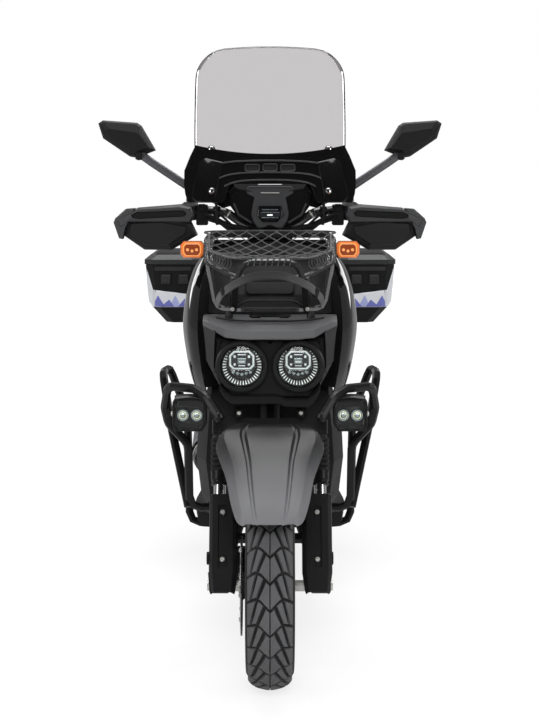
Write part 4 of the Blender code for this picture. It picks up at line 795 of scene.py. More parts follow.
def ring_of(centre: Vector, radius: float, normal: Vector, sides: int) -> Ring:
    """Points round a circle."""
    normal = Vector(normal).normalized()
    side = normal.orthogonal().normalized()
    other = normal.cross(side)
    angles = [math.tau * step / sides for step in range(sides)]
    return [centre + (side * math.cos(a) + other * math.sin(a)) * radius for a in angles]


def rounded(points: Sequence[Vector], radius: float) -> Route:
    """A route with each corner turned into an arc.

    Args:
        points: the corners, ends included.
        radius: of the bends, less where two corners are near each other.

    Returns:
        The points along the smooth route.
    """
    route = [points[0]]
    for before, corner, after in zip(points, points[1:], points[2:]):
        back, onward = before - corner, after - corner
        half = back.angle(onward) / 2
        if math.pi / 2 - half < 0.02:
            route.append(corner)
            continue
        reach = min(radius / math.tan(half), 0.48 * back.length, 0.48 * onward.length)
        middle = (back.normalized() + onward.normalized()).normalized()
        centre = corner + middle * (reach / math.cos(half))
        first = corner + back.normalized() * reach - centre
        axis = back.cross(onward)
        for step in range(ARC_STEPS + 1):
            turn = Quaternion(axis, -(math.pi - 2 * half) * step / ARC_STEPS)
            route.append(centre + turn @ first)
    route.append(points[-1])
    return route


def curve_through(points: Sequence[Vector], steps: int = 6, closed: bool = False) -> Route:
    """A smooth curve that passes through every point."""
    count = len(points)
    spans = count if closed else count - 1
    route: Route = []
    for span in range(spans):
        def pick(offset: int) -> Vector:
            index = span + offset
            return points[index % count] if closed else points[min(max(index, 0), count - 1)]

        p0, p1, p2, p3 = pick(-1), pick(0), pick(1), pick(2)
        for step in range(steps):
            t = step / steps
            route.append(
                0.5
                * (
                    2 * p1
                    + (p2 - p0) * t
                    + (2 * p0 - 5 * p1 + 4 * p2 - p3) * t * t
                    + (3 * p1 - p0 - 3 * p2 + p3) * t**3
                )
            )
    if not closed:
        route.append(points[-1].copy())
    return route


def refined(grid: Sequence[Sequence[Vector]], down: int, across: int) -> list[Route]:
    """A grid of points made finer along smooth curves both ways.

    Args:
        grid: rows of equally many points.
        down: steps between one row and the next.
        across: steps between neighbours in a row.

    Returns:
        The finer rows.
    """
    rows = [curve_through(row, across) if across > 1 else list(row) for row in grid]
    if down <= 1:
        return rows
    columns = [curve_through(column, down) for column in zip(*rows)]
    return [list(row) for row in zip(*columns)]


class Shape:
    """Geometry under construction in the shared frame."""

    def __init__(self, name: str) -> None:
        """Starts an empty shape.

        Args:
            name: of the piece that it becomes.
        """
        self.name = name
        self.work = bmesh.new()

    def loft(self, rings: Sequence[Sequence[Vector]], closed: bool = False, caps: bool = True) -> Shape:
        """Adds a skin over rings of equally many points.

        Args:
            rings: the closed sections in order.
            closed: joins the last ring to the first.
            caps: fills both ends.

        Returns:
            The shape itself.
        """
        new = self.work.verts.new
        loops = [[new(point) for point in ring] for ring in rings]
        pairs = list(zip(loops, loops[1:])) + ([(loops[-1], loops[0])] if closed else [])
        for low, high in pairs:
            for here in range(len(low)):
                there = (here + 1) % len(low)
                self.work.faces.new((low[here], low[there], high[there], high[here]))
        if caps and not closed:
            self.work.faces.new(list(reversed(loops[0])))
            self.work.faces.new(loops[-1])
        return self

    def sheet(self, grid: Sequence[Sequence[Vector]]) -> Shape:
        """Adds an open surface through rows of points."""
        rows = [[self.work.verts.new(point) for point in row] for row in grid]
        for row, following in zip(rows, rows[1:]):
            for here in range(len(row) - 1):
                self.work.faces.new((row[here], row[here + 1], following[here + 1], following[here]))
        return self

    def sweep(
        self,
        route: Sequence[Vector],
        section: Callable[[float], Sequence[tuple[float, float]]],
        up: Vector = UP,
    ) -> Shape:
        """Adds a closed section carried along a route.

        Args:
            route: points of the centre line.
            section: gives the outline for a share of the length: (sideways, upwards).
            up: the direction that counts as upwards, away from the route's own.

        Returns:
            The shape itself.
        """
        rings = []
        for index, point in enumerate(route):
            ahead = route[min(index + 1, len(route) - 1)] - route[max(index - 1, 0)]
            side = ahead.cross(up).normalized()
            top = side.cross(ahead).normalized()
            rings.append([point + side * a + top * b for a, b in section(index / (len(route) - 1))])
        return self.loft(rings)

    def tube(
        self,
        route: Sequence[Vector],
        radius: float | Sequence[float],
        sides: int = 18,
        closed: bool = False,
    ) -> Shape:
        """Adds a round bar that turns with its route without twisting.

        Args:
            route: points of the centre line.
            radius: one for all, or one for each point.
            sides: of the section.
            closed: joins the ends.

        Returns:
            The shape itself.
        """
        count = len(route)
        radii = [radius] * count if isinstance(radius, (int, float)) else list(radius)
        heads = []
        for index in range(count):
            before = route[index - 1] if closed else route[max(index - 1, 0)]
            after = route[(index + 1) % count] if closed else route[min(index + 1, count - 1)]
            heads.append((after - before).normalized())
        side = heads[0].orthogonal().normalized()
        rings = []
        last = heads[0]
        for point, head, reach in zip(route, heads, radii):
            side = last.rotation_difference(head) @ side
            side = (side - head * side.dot(head)).normalized()
            last = head
            other = head.cross(side)
            angles = [math.tau * step / sides for step in range(sides)]
            rings.append([point + (side * math.cos(a) + other * math.sin(a)) * reach for a in angles])
        return self.loft(rings, closed=closed, caps=not closed)

    def lathe(
        self,
        centre: Vector,
        axis: Vector,
        profile: Sequence[tuple[float, float]],
        sides: int = 32,
    ) -> Shape:
        """Adds a turned piece.

        Args:
            centre: the point on the axis that the profile counts from.
            axis: the direction of the axis.
            profile: (place along the axis, radius) in order.
            sides: steps round.

        Returns:
            The shape itself.
        """
        axis = Vector(axis).normalized()
        rings = [
            ring_of(centre + axis * along, max(radius, 1e-5), axis, sides)
            for along, radius in profile
        ]
        return self.loft(rings)

    def hoop(self, centre: Vector, profile: Sequence[tuple[float, float]], steps: int = 72) -> Shape:
        """Adds a ring about an axle: the profile is a closed loop of (across, radius)."""
        rings = []
        for step in range(steps):
            a = math.tau * step / steps
            rings.append([centre + Vector((x, r * math.sin(a), r * math.cos(a))) for x, r in profile])
        return self.loft(rings, closed=True)

    def eyelet(self, centre: Vector, profile: Sequence[tuple[float, float]], steps: int) -> Shape:
        """Adds a ring about a line fore and aft: the profile is a closed loop of (behind, radius)."""
        rings = []
        for step in range(steps):
            a = math.tau * step / steps
            out = Vector((math.cos(a), 0.0, math.sin(a)))
            rings.append([centre + BACK * behind + out * radius for behind, radius in profile])
        return self.loft(rings, closed=True)

    def box(self, centre: Vector, size: tuple[float, float, float], turn: Matrix | None = None) -> Shape:
        """Adds a box, turned if asked."""
        made = bmesh.ops.create_cube(self.work, size=1.0)["verts"]
        bmesh.ops.scale(self.work, vec=size, verts=made)
        if turn is not None:
            bmesh.ops.transform(self.work, matrix=turn.to_4x4(), verts=made)
        bmesh.ops.translate(self.work, vec=centre, verts=made)
        return self

    def bolt(self, centre: Vector, axis: Vector, radius: float, height: float) -> Shape:
        """Adds a domed screw head with a socket."""
        profile = (
            (-height * 0.3, radius),
            (height * 0.4, radius),
            (height * 0.85, radius * 0.82),
            (height, radius * 0.55),
            (height, radius * 0.48),
            (height * 0.45, radius * 0.42),
            (height * 0.45, 0.0),
        )
        return self.lathe(centre, axis, profile, 14)

    def mirror(self) -> Shape:
        """Adds the same geometry on the other side."""
        copied = bmesh.ops.duplicate(
            self.work,
            geom=self.work.verts[:] + self.work.edges[:] + self.work.faces[:],
        )["geom"]
        verts = [item for item in copied if isinstance(item, bmesh.types.BMVert)]
        faces = [item for item in copied if isinstance(item, bmesh.types.BMFace)]
        bmesh.ops.scale(self.work, vec=(-1.0, 1.0, 1.0), verts=verts)
        bmesh.ops.reverse_faces(self.work, faces=faces)
        return self

    def piece(
        self,
        finish: Finish,
        body: str,
        replaces: Sequence[str] = (),
        bevel: float = 0.0,
        wall: float = 0.0,
        sharp: float = 32.0,
        offset: float = -1.0,
        recalc: bool = True,
    ) -> bpy.types.Object:
        """Turns the shape into a piece of the scooter.

        Args:
            finish: its surface.
            body: the body that it rides on.
            replaces: the nodes that it stands for.
            bevel: width of the rounding of sharp edges.
            wall: thickness, for an open surface.
            sharp: the least angle of an edge that stays sharp, in degrees.
            offset: which side of the surface the wall lies on.
            recalc: makes the faces point outwards.

        Returns:
            The object.
        """
        if recalc:
            bmesh.ops.recalc_face_normals(self.work, faces=self.work.faces)
        mesh = bpy.data.meshes.new(self.name)
        self.work.to_mesh(mesh)
        self.work.free()
        thing = bpy.data.objects.new(self.name, mesh)
        bpy.context.scene.collection.objects.link(thing)
        mesh.materials.append(finish.material())
        mesh.shade_smooth()
        mesh.set_sharp_from_angle(angle=math.radians(sharp))
        if wall:
            thicken = thing.modifiers.new("Wall", "SOLIDIFY")
            thicken.thickness = wall
            thicken.offset = offset
        if bevel:
            soften(thing, bevel, sharp)
        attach(thing, body)
        if replaces:
            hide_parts(*replaces)
        log.info("%s: %d faces", self.name, len(mesh.polygons))
        return thing


def soften(thing: bpy.types.Object, width: float, sharp: float = 32.0) -> None:
    """Rounds a piece's sharp edges."""
    edge = thing.modifiers.new("Edge", "BEVEL")
    edge.width = width
    edge.segments = BEVEL_SEGMENTS
    edge.limit_method = "ANGLE"
    edge.angle_limit = math.radians(sharp)
    edge.harden_normals = True
    edge.use_clamp_overlap = True


def dress(nodes: Sequence[str], finish: Finish, bevel: float = 0.0) -> None:
    """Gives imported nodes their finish, and rounds their edges.

    Args:
        nodes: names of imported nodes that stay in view.
        finish: their surface.
        bevel: width of the rounding.
    """
    for name in nodes:
        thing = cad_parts[name]
        thing.data.materials.clear()
        thing.data.materials.append(finish.material())
        if bevel:
            soften(thing, bevel)
        log.info("%s dressed as %s", name, finish.name)


# Studio


@dataclass
class Studio:
    """Floor, backdrop, lights and camera.

    The camera's distance is assumed. Its tilt in degrees and its lens in millimetres follow from where the
    photograph shows the front tyre's foot and the axle.
    """

    ambient: float = 0.17
    front_dark: float = 0.03
    camera_away: float = 3.8
    camera_height: float = 1.190
    camera_tilt: float = 6.388479
    lens: float = 83.712

    def build(self) -> None:
        """Makes the stage and sets the camera."""
        self.floor()
        self.world()
        self.lights()
        self.camera()
        bpy.context.scene.view_settings.view_transform = "Standard"

    def floor(self) -> None:
        """A pale floor that shows white to the camera and keeps the shadow."""
        mesh = bpy.data.meshes.new("floor")
        mesh.from_pydata([(-40, -40, 0), (40, -40, 0), (40, 40, 0), (-40, 40, 0)], [], [(0, 1, 2, 3)])
        floor = bpy.data.objects.new("floor", mesh)
        bpy.context.scene.collection.objects.link(floor)
        paper = bpy.data.materials.new("studio_paper")
        paper.use_nodes = True
        graph = Graph(paper.node_tree)
        shader = paper.node_tree.nodes["Principled BSDF"]
        shader.inputs["Base Color"].default_value = (0.86, 0.86, 0.86, 1.0)
        shader.inputs["Roughness"].default_value = 0.9
        shader.inputs["Specular IOR Level"].default_value = 0.0
        path = graph.add("ShaderNodeLightPath").outputs
        seen = graph.math("MAXIMUM", path["Is Camera Ray"], path["Is Glossy Ray"])
        seen = graph.math("MAXIMUM", seen, path["Is Transmission Ray"])
        place = graph.add("ShaderNodeTexCoord").outputs["Object"]
        far = graph.add("ShaderNodeVectorMath", {0: place}, operation="LENGTH").outputs["Value"]
        white_share = graph.add("ShaderNodeMapRange", {0: far, 1: 1.2, 2: 3.6, 3: 0.74, 4: 1.0}).outputs[0]
        share = graph.math("MULTIPLY", seen, white_share)
        strength = graph.add("ShaderNodeMapRange", {0: path["Is Glossy Ray"], 3: 1.06, 4: 0.40}).outputs[0]
        white = graph.add("ShaderNodeEmission", {"Color": (1.0, 1.0, 1.0, 1.0), "Strength": strength})
        mixed = graph.add("ShaderNodeMixShader", {0: share, 1: shader.outputs[0], 2: white.outputs[0]})
        output = paper.node_tree.nodes["Material Output"]
        graph.tree.links.new(mixed.outputs[0], output.inputs["Surface"])
        mesh.materials.append(paper)

    def world(self) -> None:
        """White to the camera and through glass; darker where the front would mirror the room."""
        world = bpy.data.worlds.new("studio")
        bpy.context.scene.world = world
        world.use_nodes = True
        graph = Graph(world.node_tree)
        graph.tree.nodes.clear()
        path = graph.add("ShaderNodeLightPath").outputs
        place = graph.add("ShaderNodeTexCoord").outputs["Generated"]
        away = graph.add("ShaderNodeSeparateXYZ", {0: place}).outputs
        back = graph.add(
            "ShaderNodeMapRange",
            {0: away[1], 1: -0.55, 2: 0.35, 3: self.front_dark, 4: 0.30},
        ).outputs[0]
        side = graph.math("ABSOLUTE", away[0])
        rim = graph.add("ShaderNodeMapRange", {0: side, 1: 0.78, 2: 0.96, 3: 0.0, 4: 0.20}).outputs[0]
        shine = graph.math("MAXIMUM", back, rim)
        seen = graph.math("MAXIMUM", path["Is Camera Ray"], path["Is Transmission Ray"])
        dim = graph.add("ShaderNodeMix", {0: path["Is Glossy Ray"], 2: self.ambient, 3: shine}).outputs[0]
        level = graph.add("ShaderNodeMix", {0: seen, 2: dim, 3: 1.0}).outputs[0]
        sky = graph.add("ShaderNodeBackground", {"Color": (1.0, 1.0, 1.0, 1.0), "Strength": level})
        output = graph.add("ShaderNodeOutputWorld")
        graph.tree.links.new(sky.outputs[0], output.inputs["Surface"])

    def lights(self) -> None:
        """Soft boxes over the scooter, at both front corners and behind."""
        self.soft_box("top_box", (0.0, 0.15, 3.3), (0.0, 0.0, 0.6), (2.4, 2.2), 90.0)
        self.soft_box("front_box", (0.0, -4.2, 2.2), (0.0, -0.8, 0.5), (1.3, 1.2), 120.0, False)
        self.soft_box("left_box", (2.7, -2.3, 1.9), (0.0, -0.4, 0.7), (0.9, 2.2), 24.0)
        self.soft_box("right_box", (-2.7, -2.3, 1.9), (0.0, -0.4, 0.7), (0.9, 2.2), 24.0)
        self.soft_box("rear_left_box", (2.2, 2.4, 2.0), (0.0, 0.3, 0.7), (0.9, 2.0), 30.0)
        self.soft_box("rear_right_box", (-2.2, 2.4, 2.0), (0.0, 0.3, 0.7), (0.9, 2.0), 30.0)

    def soft_box(
        self,
        name: str,
        place: Sequence[float],
        aim: Sequence[float],
        size: tuple[float, float],
        power: float,
        mirrored_too: bool = True,
    ) -> None:
        """Adds an area light aimed at a point, which gloss may or may not mirror."""
        lamp = bpy.data.lights.new(name, "AREA")
        lamp.shape = "RECTANGLE"
        lamp.size, lamp.size_y = size
        lamp.energy = power
        holder = bpy.data.objects.new(name, lamp)
        bpy.context.scene.collection.objects.link(holder)
        holder.visible_glossy = mirrored_too
        holder.location = place
        holder.rotation_euler = (Vector(aim) - Vector(place)).to_track_quat("-Z", "Y").to_euler()

    def camera(self) -> None:
        """The photograph's viewpoint: straight from the front, a little above, looking down."""
        lens = bpy.data.cameras.new("camera")
        lens.lens = self.lens
        lens.sensor_width = 36.0
        lens.sensor_fit = "AUTO"
        holder = bpy.data.objects.new("camera", lens)
        bpy.context.scene.collection.objects.link(holder)
        holder.location = (0.0, FRONT_AXLE_Y - self.camera_away, self.camera_height)
        holder.rotation_euler = (math.radians(90.0 - self.camera_tilt), 0.0, 0.0)
        bpy.context.scene.camera = holder


# Wheels

RIM_HALF = 0.0382
BEAD_RADIUS = 0.1545
FLANGE_RADIUS = 0.1655
TYRE_RADIUS = 0.238


@dataclass
class Tyre:
    """A block-tread tubeless tyre with sidewall ribs.

    The groove is the chevron's width, the trim half the width of a groove along the tyre, and the seam half
    the width of the middle one.
    """

    node: str
    body: str
    centre: Vector
    radius: float
    width: float
    pitches: int = 25
    groove: float = 0.0078
    trim: float = 0.0031
    seam: float = 0.0007
    depth: float = 0.0066
    crown: list[tuple[float, float]] = field(default_factory=list)

    def __post_init__(self) -> None:
        """Works out the crown's section from the middle to the shoulder, as (across, radius)."""
        half = self.width / 2
        corners = [
            Vector((0.0, self.radius, 0.0)),
            Vector((0.62 * half, self.radius - 0.008, 0.0)),
            Vector((0.94 * half, self.radius - 0.026, 0.0)),
            Vector((half, self.radius - 0.046, 0.0)),
        ]
        mirrored = [Vector((-p.x, p.y, 0.0)) for p in reversed(corners[1:])]
        line = curve_through(mirrored + corners, 10)
        self.crown = [(p.x, p.y) for p in line if p.x >= -1e-9]

    def crown_at(self, reach: float) -> tuple[float, float, float, float]:
        """The crown's section at a distance measured along it from the middle.

        Args:
            reach: the distance, without sign.

        Returns:
            Across, radius, and the outward normal's two parts.
        """
        gone = 0.0
        for (x0, r0), (x1, r1) in zip(self.crown, self.crown[1:]):
            length = math.hypot(x1 - x0, r1 - r0)
            if gone + length >= reach or (x1, r1) == self.crown[-1]:
                share = (reach - gone) / length
                normal = (-(r1 - r0) / length, (x1 - x0) / length)
                return x0 + (x1 - x0) * share, r0 + (r1 - r0) * share, *normal
            gone += length
        raise ValueError(reach)

    def wave(self, reach: float) -> float:
        """How far the chevron groove has climbed at a distance from the middle."""
        points = ((0.0, 0.0), (0.022, -0.023), (0.034, -0.027), (0.048, -0.022), (0.070, -0.010))
        for (a, low), (b, high) in zip(points, points[1:]):
            if reach <= b:
                return low + (high - low) * (reach - a) / (b - a)
        return points[-1][1]

    def on_tread(self, side: int, reach: float, along: float, sink: float) -> Vector:
        """A point of the tread: side, distance from the middle, along the tyre, and below the crown."""
        x, r, nx, nr = self.crown_at(reach)
        x, r = x - nx * sink, r - nr * sink
        angle = along / self.radius
        return self.centre + Vector((side * x, -r * math.cos(angle), -r * math.sin(angle)))

    def block(
        self, shape: Shape, side: int, start: float, inner: tuple[float, float], outer: tuple[float, float]
    ) -> None:
        """Adds one tread block between two chevron grooves.

        Args:
            shape: that takes the block.
            side: of the tyre.
            start: where the upper groove's tip lies along the tyre.
            inner: the block's inner edge, as distances from the middle at its top and foot.
            outer: the same for the outer edge.
        """
        pitch = math.tau * self.radius / self.pitches
        steps = max(2, round((max(outer) - min(inner)) / 0.006))
        columns = []
        for step in range(steps + 1):
            u = step / steps
            column = []
            for sink, inset in ((self.depth, -0.0006), (0.0008, 0.0), (0.0, 0.0009)):
                ends = []
                for which, base, sign in ((0, start, 1.0), (1, start + pitch, -1.0)):
                    low = inner[which] + (self.trim if inner[which] > 0.0 else self.seam) + inset
                    high = outer[which] - self.trim - inset
                    reach = max(0.0, low + (high - low) * u)
                    ends.append((reach, base + self.wave(reach) + sign * (self.groove / 2 + inset)))
                column.append((sink, ends))
            columns.append(column)
        rings = []
        for column in columns:
            up = [self.on_tread(side, ends[0][0], ends[0][1], sink) for sink, ends in column]
            crest, (above, below) = column[-1]
            middle = self.on_tread(side, (above[0] + below[0]) / 2, (above[1] + below[1]) / 2, crest)
            down = [self.on_tread(side, ends[1][0], ends[1][1], sink) for sink, ends in reversed(column)]
            rings.append([*up, middle, *down])
        shape.loft(rings)

    def build(self) -> None:
        """Makes the carcass with its sidewalls, and the tread blocks."""
        half = self.width / 2
        spread = half / 0.056
        outer = []
        for reach in (0.0, 0.010, 0.020, 0.030, 0.040, 0.050, 0.057):
            x, r, nx, nr = self.crown_at(reach * spread)
            outer.append((x - nx * self.depth * 0.9, r - nr * self.depth * 0.9))
        wall_top = self.radius - 0.036
        outer += [
            (half - 0.0028, wall_top),
            (half - 0.0012, wall_top - 0.003),
            (half - 0.0005, self.radius - 0.046),
            (half - 0.0022, self.radius - 0.052),
            (half - 0.0022, FLANGE_RADIUS + 0.019),
            (half - 0.0030, FLANGE_RADIUS + 0.014),
            (half - 0.0065, FLANGE_RADIUS + 0.0095),
            (RIM_HALF + 0.0060, FLANGE_RADIUS + 0.0050),
            (RIM_HALF + 0.0052, FLANGE_RADIUS + 0.0020),
            (RIM_HALF - 0.0003, FLANGE_RADIUS),
            (RIM_HALF - 0.0003, BEAD_RADIUS),
            (RIM_HALF - 0.013, BEAD_RADIUS),
        ]
        profile = outer + [(-x, r) for x, r in reversed(outer) if x > 0]
        carcass = Shape(self.node + "_carcass").hoop(self.centre, profile, 120)
        carcass.piece(WALL_RUBBER, self.body, replaces=[self.node], sharp=50.0)
        tread = Shape(self.node + "_tread")
        pitch = math.tau * self.radius / self.pitches
        lines = ((0.0, 0.0), (0.0125, 0.0285), (0.0310, 0.0455), (0.0610, 0.0610))
        edges = [(top * spread, foot * spread) for top, foot in lines]
        for number in range(self.pitches):
            for side in SIDES:
                for inner, outward in zip(edges, edges[1:]):
                    self.block(tread, side, number * pitch, inner, outward)
        # The blocks take the paler rubber: painted highlight on the tread.
        tread.piece(TREAD_RUBBER_PAINTED_HIGHLIGHT, self.body, sharp=28.0)


@dataclass
class Rim:
    """A cast rim with five split spokes and its hub."""

    node: str
    body: str
    centre: Vector

    def build(self) -> None:
        """Makes barrel, hub, spokes and the valve."""
        seat = BEAD_RADIUS - 0.0003
        well = seat - 0.012
        half = [
            (0.016, well),
            (0.022, seat - 0.001),
            (0.024, seat),
            (RIM_HALF, seat),
            (RIM_HALF + 0.0002, FLANGE_RADIUS - 0.002),
            (RIM_HALF + 0.0012, FLANGE_RADIUS),
            (RIM_HALF + 0.0030, FLANGE_RADIUS),
            (RIM_HALF + 0.0042, FLANGE_RADIUS - 0.0016),
            (RIM_HALF + 0.0042, seat - 0.003),
            (RIM_HALF + 0.0030, seat - 0.005),
            (0.026, seat - 0.006),
            (0.018, well - 0.005),
        ]
        shape = Shape(self.node + "_casting")
        shape.hoop(self.centre, half + [(-x, r) for x, r in reversed(half)], 120)
        hub = [
            (-0.055, 0.0085),
            (-0.055, 0.024),
            (-0.052, 0.028),
            (-0.030, 0.030),
            (-0.020, 0.034),
            (0.020, 0.034),
            (0.030, 0.030),
            (0.052, 0.028),
            (0.055, 0.024),
            (0.055, 0.0085),
        ]
        shape.hoop(self.centre, hub, 60)
        for number in range(5):
            for side in SIDES:
                root = math.tau * number / 5 + side * 0.20
                tip = math.tau * number / 5 + side * 0.235
                self.spoke(shape, root, tip, well - 0.003)
        shape.piece(CAST_BLACK, self.body, replaces=[self.node], bevel=0.0008, sharp=35.0)
        valve = Shape(self.node + "_valve")
        stem = self.centre + Vector((0.006, 0.0, -(well - 0.004)))
        valve.lathe(
            stem,
            UP,
            (
                (0.0, 0.0042),
                (0.010, 0.0040),
                (0.014, 0.0028),
                (0.026, 0.0028),
                (0.026, 0.0036),
                (0.034, 0.0036),
            ),
            14,
        )
        valve.piece(SOFT_RUBBER, self.body)

    def spoke(self, shape: Shape, root_angle: float, tip_angle: float, tip_radius: float) -> None:
        """Adds one tapered leg of a split spoke, waisted and ribbed along its outer faces."""
        rings = []
        for share in (0.0, 0.15, 0.5, 0.85, 1.0):
            angle = root_angle + (tip_angle - root_angle) * share
            radius = 0.026 + (tip_radius - 0.026) * share
            wide = 0.0115 - 0.0050 * share + 0.0035 * max(0.0, share - 0.8) * 5
            deep = 0.0165 - 0.0050 * share
            out = Vector((0.0, math.sin(angle), math.cos(angle)))
            side = Vector((0.0, math.cos(angle), -math.sin(angle)))
            middle = self.centre + out * radius
            outline = ((-1, -0.7), (-0.7, -1), (-0.62, -0.45), (0.62, -0.45), (0.7, -1), (1, -0.7))
            ring = [middle + ACROSS * (b * deep) + side * (a * wide) for a, b in outline]
            ring += [middle + ACROSS * (-b * deep) + side * (a * wide) for a, b in reversed(outline)]
            rings.append(ring)
        shape.loft(rings)


@dataclass
class BrakeDisc:
    """A drilled front disc on its carrier."""

    radius: float = 0.115
    inner: float = 0.082
    across: float = -0.066

    def build(self) -> None:
        """Makes the drilled ring, the carrier's arms and the bolts."""
        centre = FORK_AXLE + ACROSS * self.across
        ring = Shape("disc_ring")
        self.drilled(ring, centre, 30)
        bmesh.ops.remove_doubles(ring.work, verts=ring.work.verts, dist=1e-5)
        ring.piece(DISC_STEEL, "front_wheel", replaces=["front_disc"], wall=0.004, offset=0.0, sharp=40.0)
        carrier = Shape("disc_carrier")
        carrier.hoop(
            FORK_AXLE,
            ((-0.0685, 0.034), (-0.0640, 0.034), (-0.0553, 0.028), (-0.0553, 0.015), (-0.0685, 0.015)),
            48,
        )
        bolts = Shape("disc_bolts")
        for number in range(5):
            angle = math.tau * number / 5
            out = Vector((0.0, math.sin(angle), math.cos(angle)))
            side = Vector((0.0, math.cos(angle), -math.sin(angle)))
            arm = []
            for radius, half in ((0.024, 0.011), (0.050, 0.006), (0.074, 0.006), (0.087, 0.010)):
                foot = centre + out * radius
                arm.append(
                    [
                        foot + ACROSS * a + side * b
                        for a, b in ((-0.002, -half), (-0.002, half), (0.0024, half), (0.0024, -half))
                    ],
                )
            carrier.loft(arm)
            bolts.bolt(centre + out * 0.083 + ACROSS * -0.002, -ACROSS, 0.0055, 0.004)
            bolts.bolt(centre + out * 0.025 + ACROSS * -0.002, -ACROSS, 0.0048, 0.005)
        carrier.piece(CAST_DARK, "front_wheel", bevel=0.0006)
        bolts.piece(ZINC, "front_wheel")

    def drilled(self, shape: Shape, centre: Vector, sectors: int) -> None:
        """Adds a flat ring made of cells with a round hole each."""
        rows = ((self.inner, 0.0935), (0.0935, 0.1040), (0.1040, self.radius))
        for sector in range(sectors):
            for row, (low, high) in enumerate(rows):
                turn = 0.5 if row == 1 else 0.0
                a0 = math.tau * (sector + turn) / sectors
                a1 = math.tau * (sector + turn + 1) / sectors
                mid_a, mid_r = (a0 + a1) / 2, (low + high) / 2
                corners = (
                    (a0, low),
                    (mid_a, low),
                    (a1, low),
                    (a1, mid_r),
                    (a1, high),
                    (mid_a, high),
                    (a0, high),
                    (a0, mid_r),
                )
                outer = [shape.work.verts.new(self.polar(centre, a, r)) for a, r in corners]
                hole = []
                middle = self.polar(centre, mid_a, mid_r)
                for vert in outer:
                    way = (vert.co - middle).normalized()
                    hole.append(shape.work.verts.new(middle + way * 0.0028))
                for here in range(8):
                    there = (here + 1) % 8
                    shape.work.faces.new((outer[here], outer[there], hole[there], hole[here]))

    def polar(self, centre: Vector, angle: float, radius: float) -> Vector:
        """A point of the disc's plane."""
        return centre + Vector((0.0, radius * math.sin(angle), radius * math.cos(angle)))


@dataclass
class Wheels:
    """Both wheels with tyres, rims and the front disc."""

    def build(self) -> None:
        """Makes the wheels on their axles."""
        rear = at(0.0, WHEELBASE, REAR_AXLE_HEIGHT)
        Tyre("front_tyre", "front_wheel", FORK_AXLE, TYRE_RADIUS, 0.112).build()
        Tyre("rear_tyre", "rear_wheel", rear, 0.243, 0.130, pitches=26).build()
        Rim("front_rim", "front_wheel", FORK_AXLE).build()
        Rim("rear_rim", "rear_wheel", rear).build()
        BrakeDisc().build()


# Fork and fender

FORK_HALF = 0.118
CROWN_LOW = AXLE_UP + 0.368
SLIDER_TOP = AXLE_UP + 0.214


@dataclass
class ForkLeg:
    """One leg: slider, seal collar, stanchion and rubber bellows."""

    side: int

    @property
    def label(self) -> str:
        """The suffix of the node's name."""
        return side_name(self.side)

    def line(self, up: float) -> Vector:
        """A point of the leg's centre line."""
        return on_fork(self.side * FORK_HALF, AXLE_BACK, up)

    def build(self) -> None:
        """Makes the leg's turned pieces and its axle lug."""
        foot = self.line(AXLE_UP - 0.014)
        slider = Shape(f"fork_slider_{self.label}")
        length = SLIDER_TOP - AXLE_UP + 0.014
        slider.lathe(
            foot,
            STEER_UP,
            (
                (0.0, 0.016),
                (0.003, 0.020),
                (0.006, 0.0212),
                (length - 0.012, 0.0212),
                (length - 0.006, 0.0190),
                (length, 0.0186),
            ),
            40,
        )
        slider.lathe(
            at(self.side * 0.0957, 0.0, AXLE_HEIGHT),
            ACROSS * self.side,
            ((0.0, 0.0160), (0.002, 0.0178), (0.042, 0.0178), (0.0446, 0.0160)),
            36,
        )
        slider.piece(CAST_DARK, "steering", replaces=[f"fork_{self.label}"], bevel=0.0006)
        stanchion = Shape(f"fork_stanchion_{self.label}")
        stanchion.lathe(
            self.line(SLIDER_TOP - 0.02),
            STEER_UP,
            ((0.0, 0.0152), (0.170, 0.0152), (0.208, 0.0152), (0.212, 0.0135)),
            48,
        )
        stanchion.piece(CHROME, "steering")
        collar = Shape(f"fork_collar_{self.label}")
        start = self.line(SLIDER_TOP + 0.026)
        profile = (
            (0.0, 0.0160),
            (0.0, 0.0195),
            (0.004, 0.0212),
            (0.006, 0.0190),
            (0.010, 0.0190),
            (0.012, 0.0215),
            (0.032, 0.0222),
            (0.036, 0.0222),
            (0.037, 0.0165),
        )
        collar.lathe(start, STEER_UP, profile, 40)
        collar.piece(POWDER_COAT, "steering", bevel=0.0005)
        bellows = Shape(f"fork_bellows_{self.label}")
        rings: list[tuple[float, float]] = [(0.0, 0.0165), (0.0, 0.0205)]
        for number in range(7):
            low = 0.003 + number * 0.0125
            rings += [(low, 0.0180), (low + 0.003, 0.0225), (low + 0.0062, 0.0238), (low + 0.0094, 0.0225)]
        rings += [(0.094, 0.0180), (0.096, 0.0190), (0.1005, 0.0190), (0.1005, 0.0165)]
        bellows.lathe(self.line(SLIDER_TOP + 0.0535), STEER_UP, rings, 40)
        bellows.piece(SOFT_RUBBER, "steering", sharp=60.0)


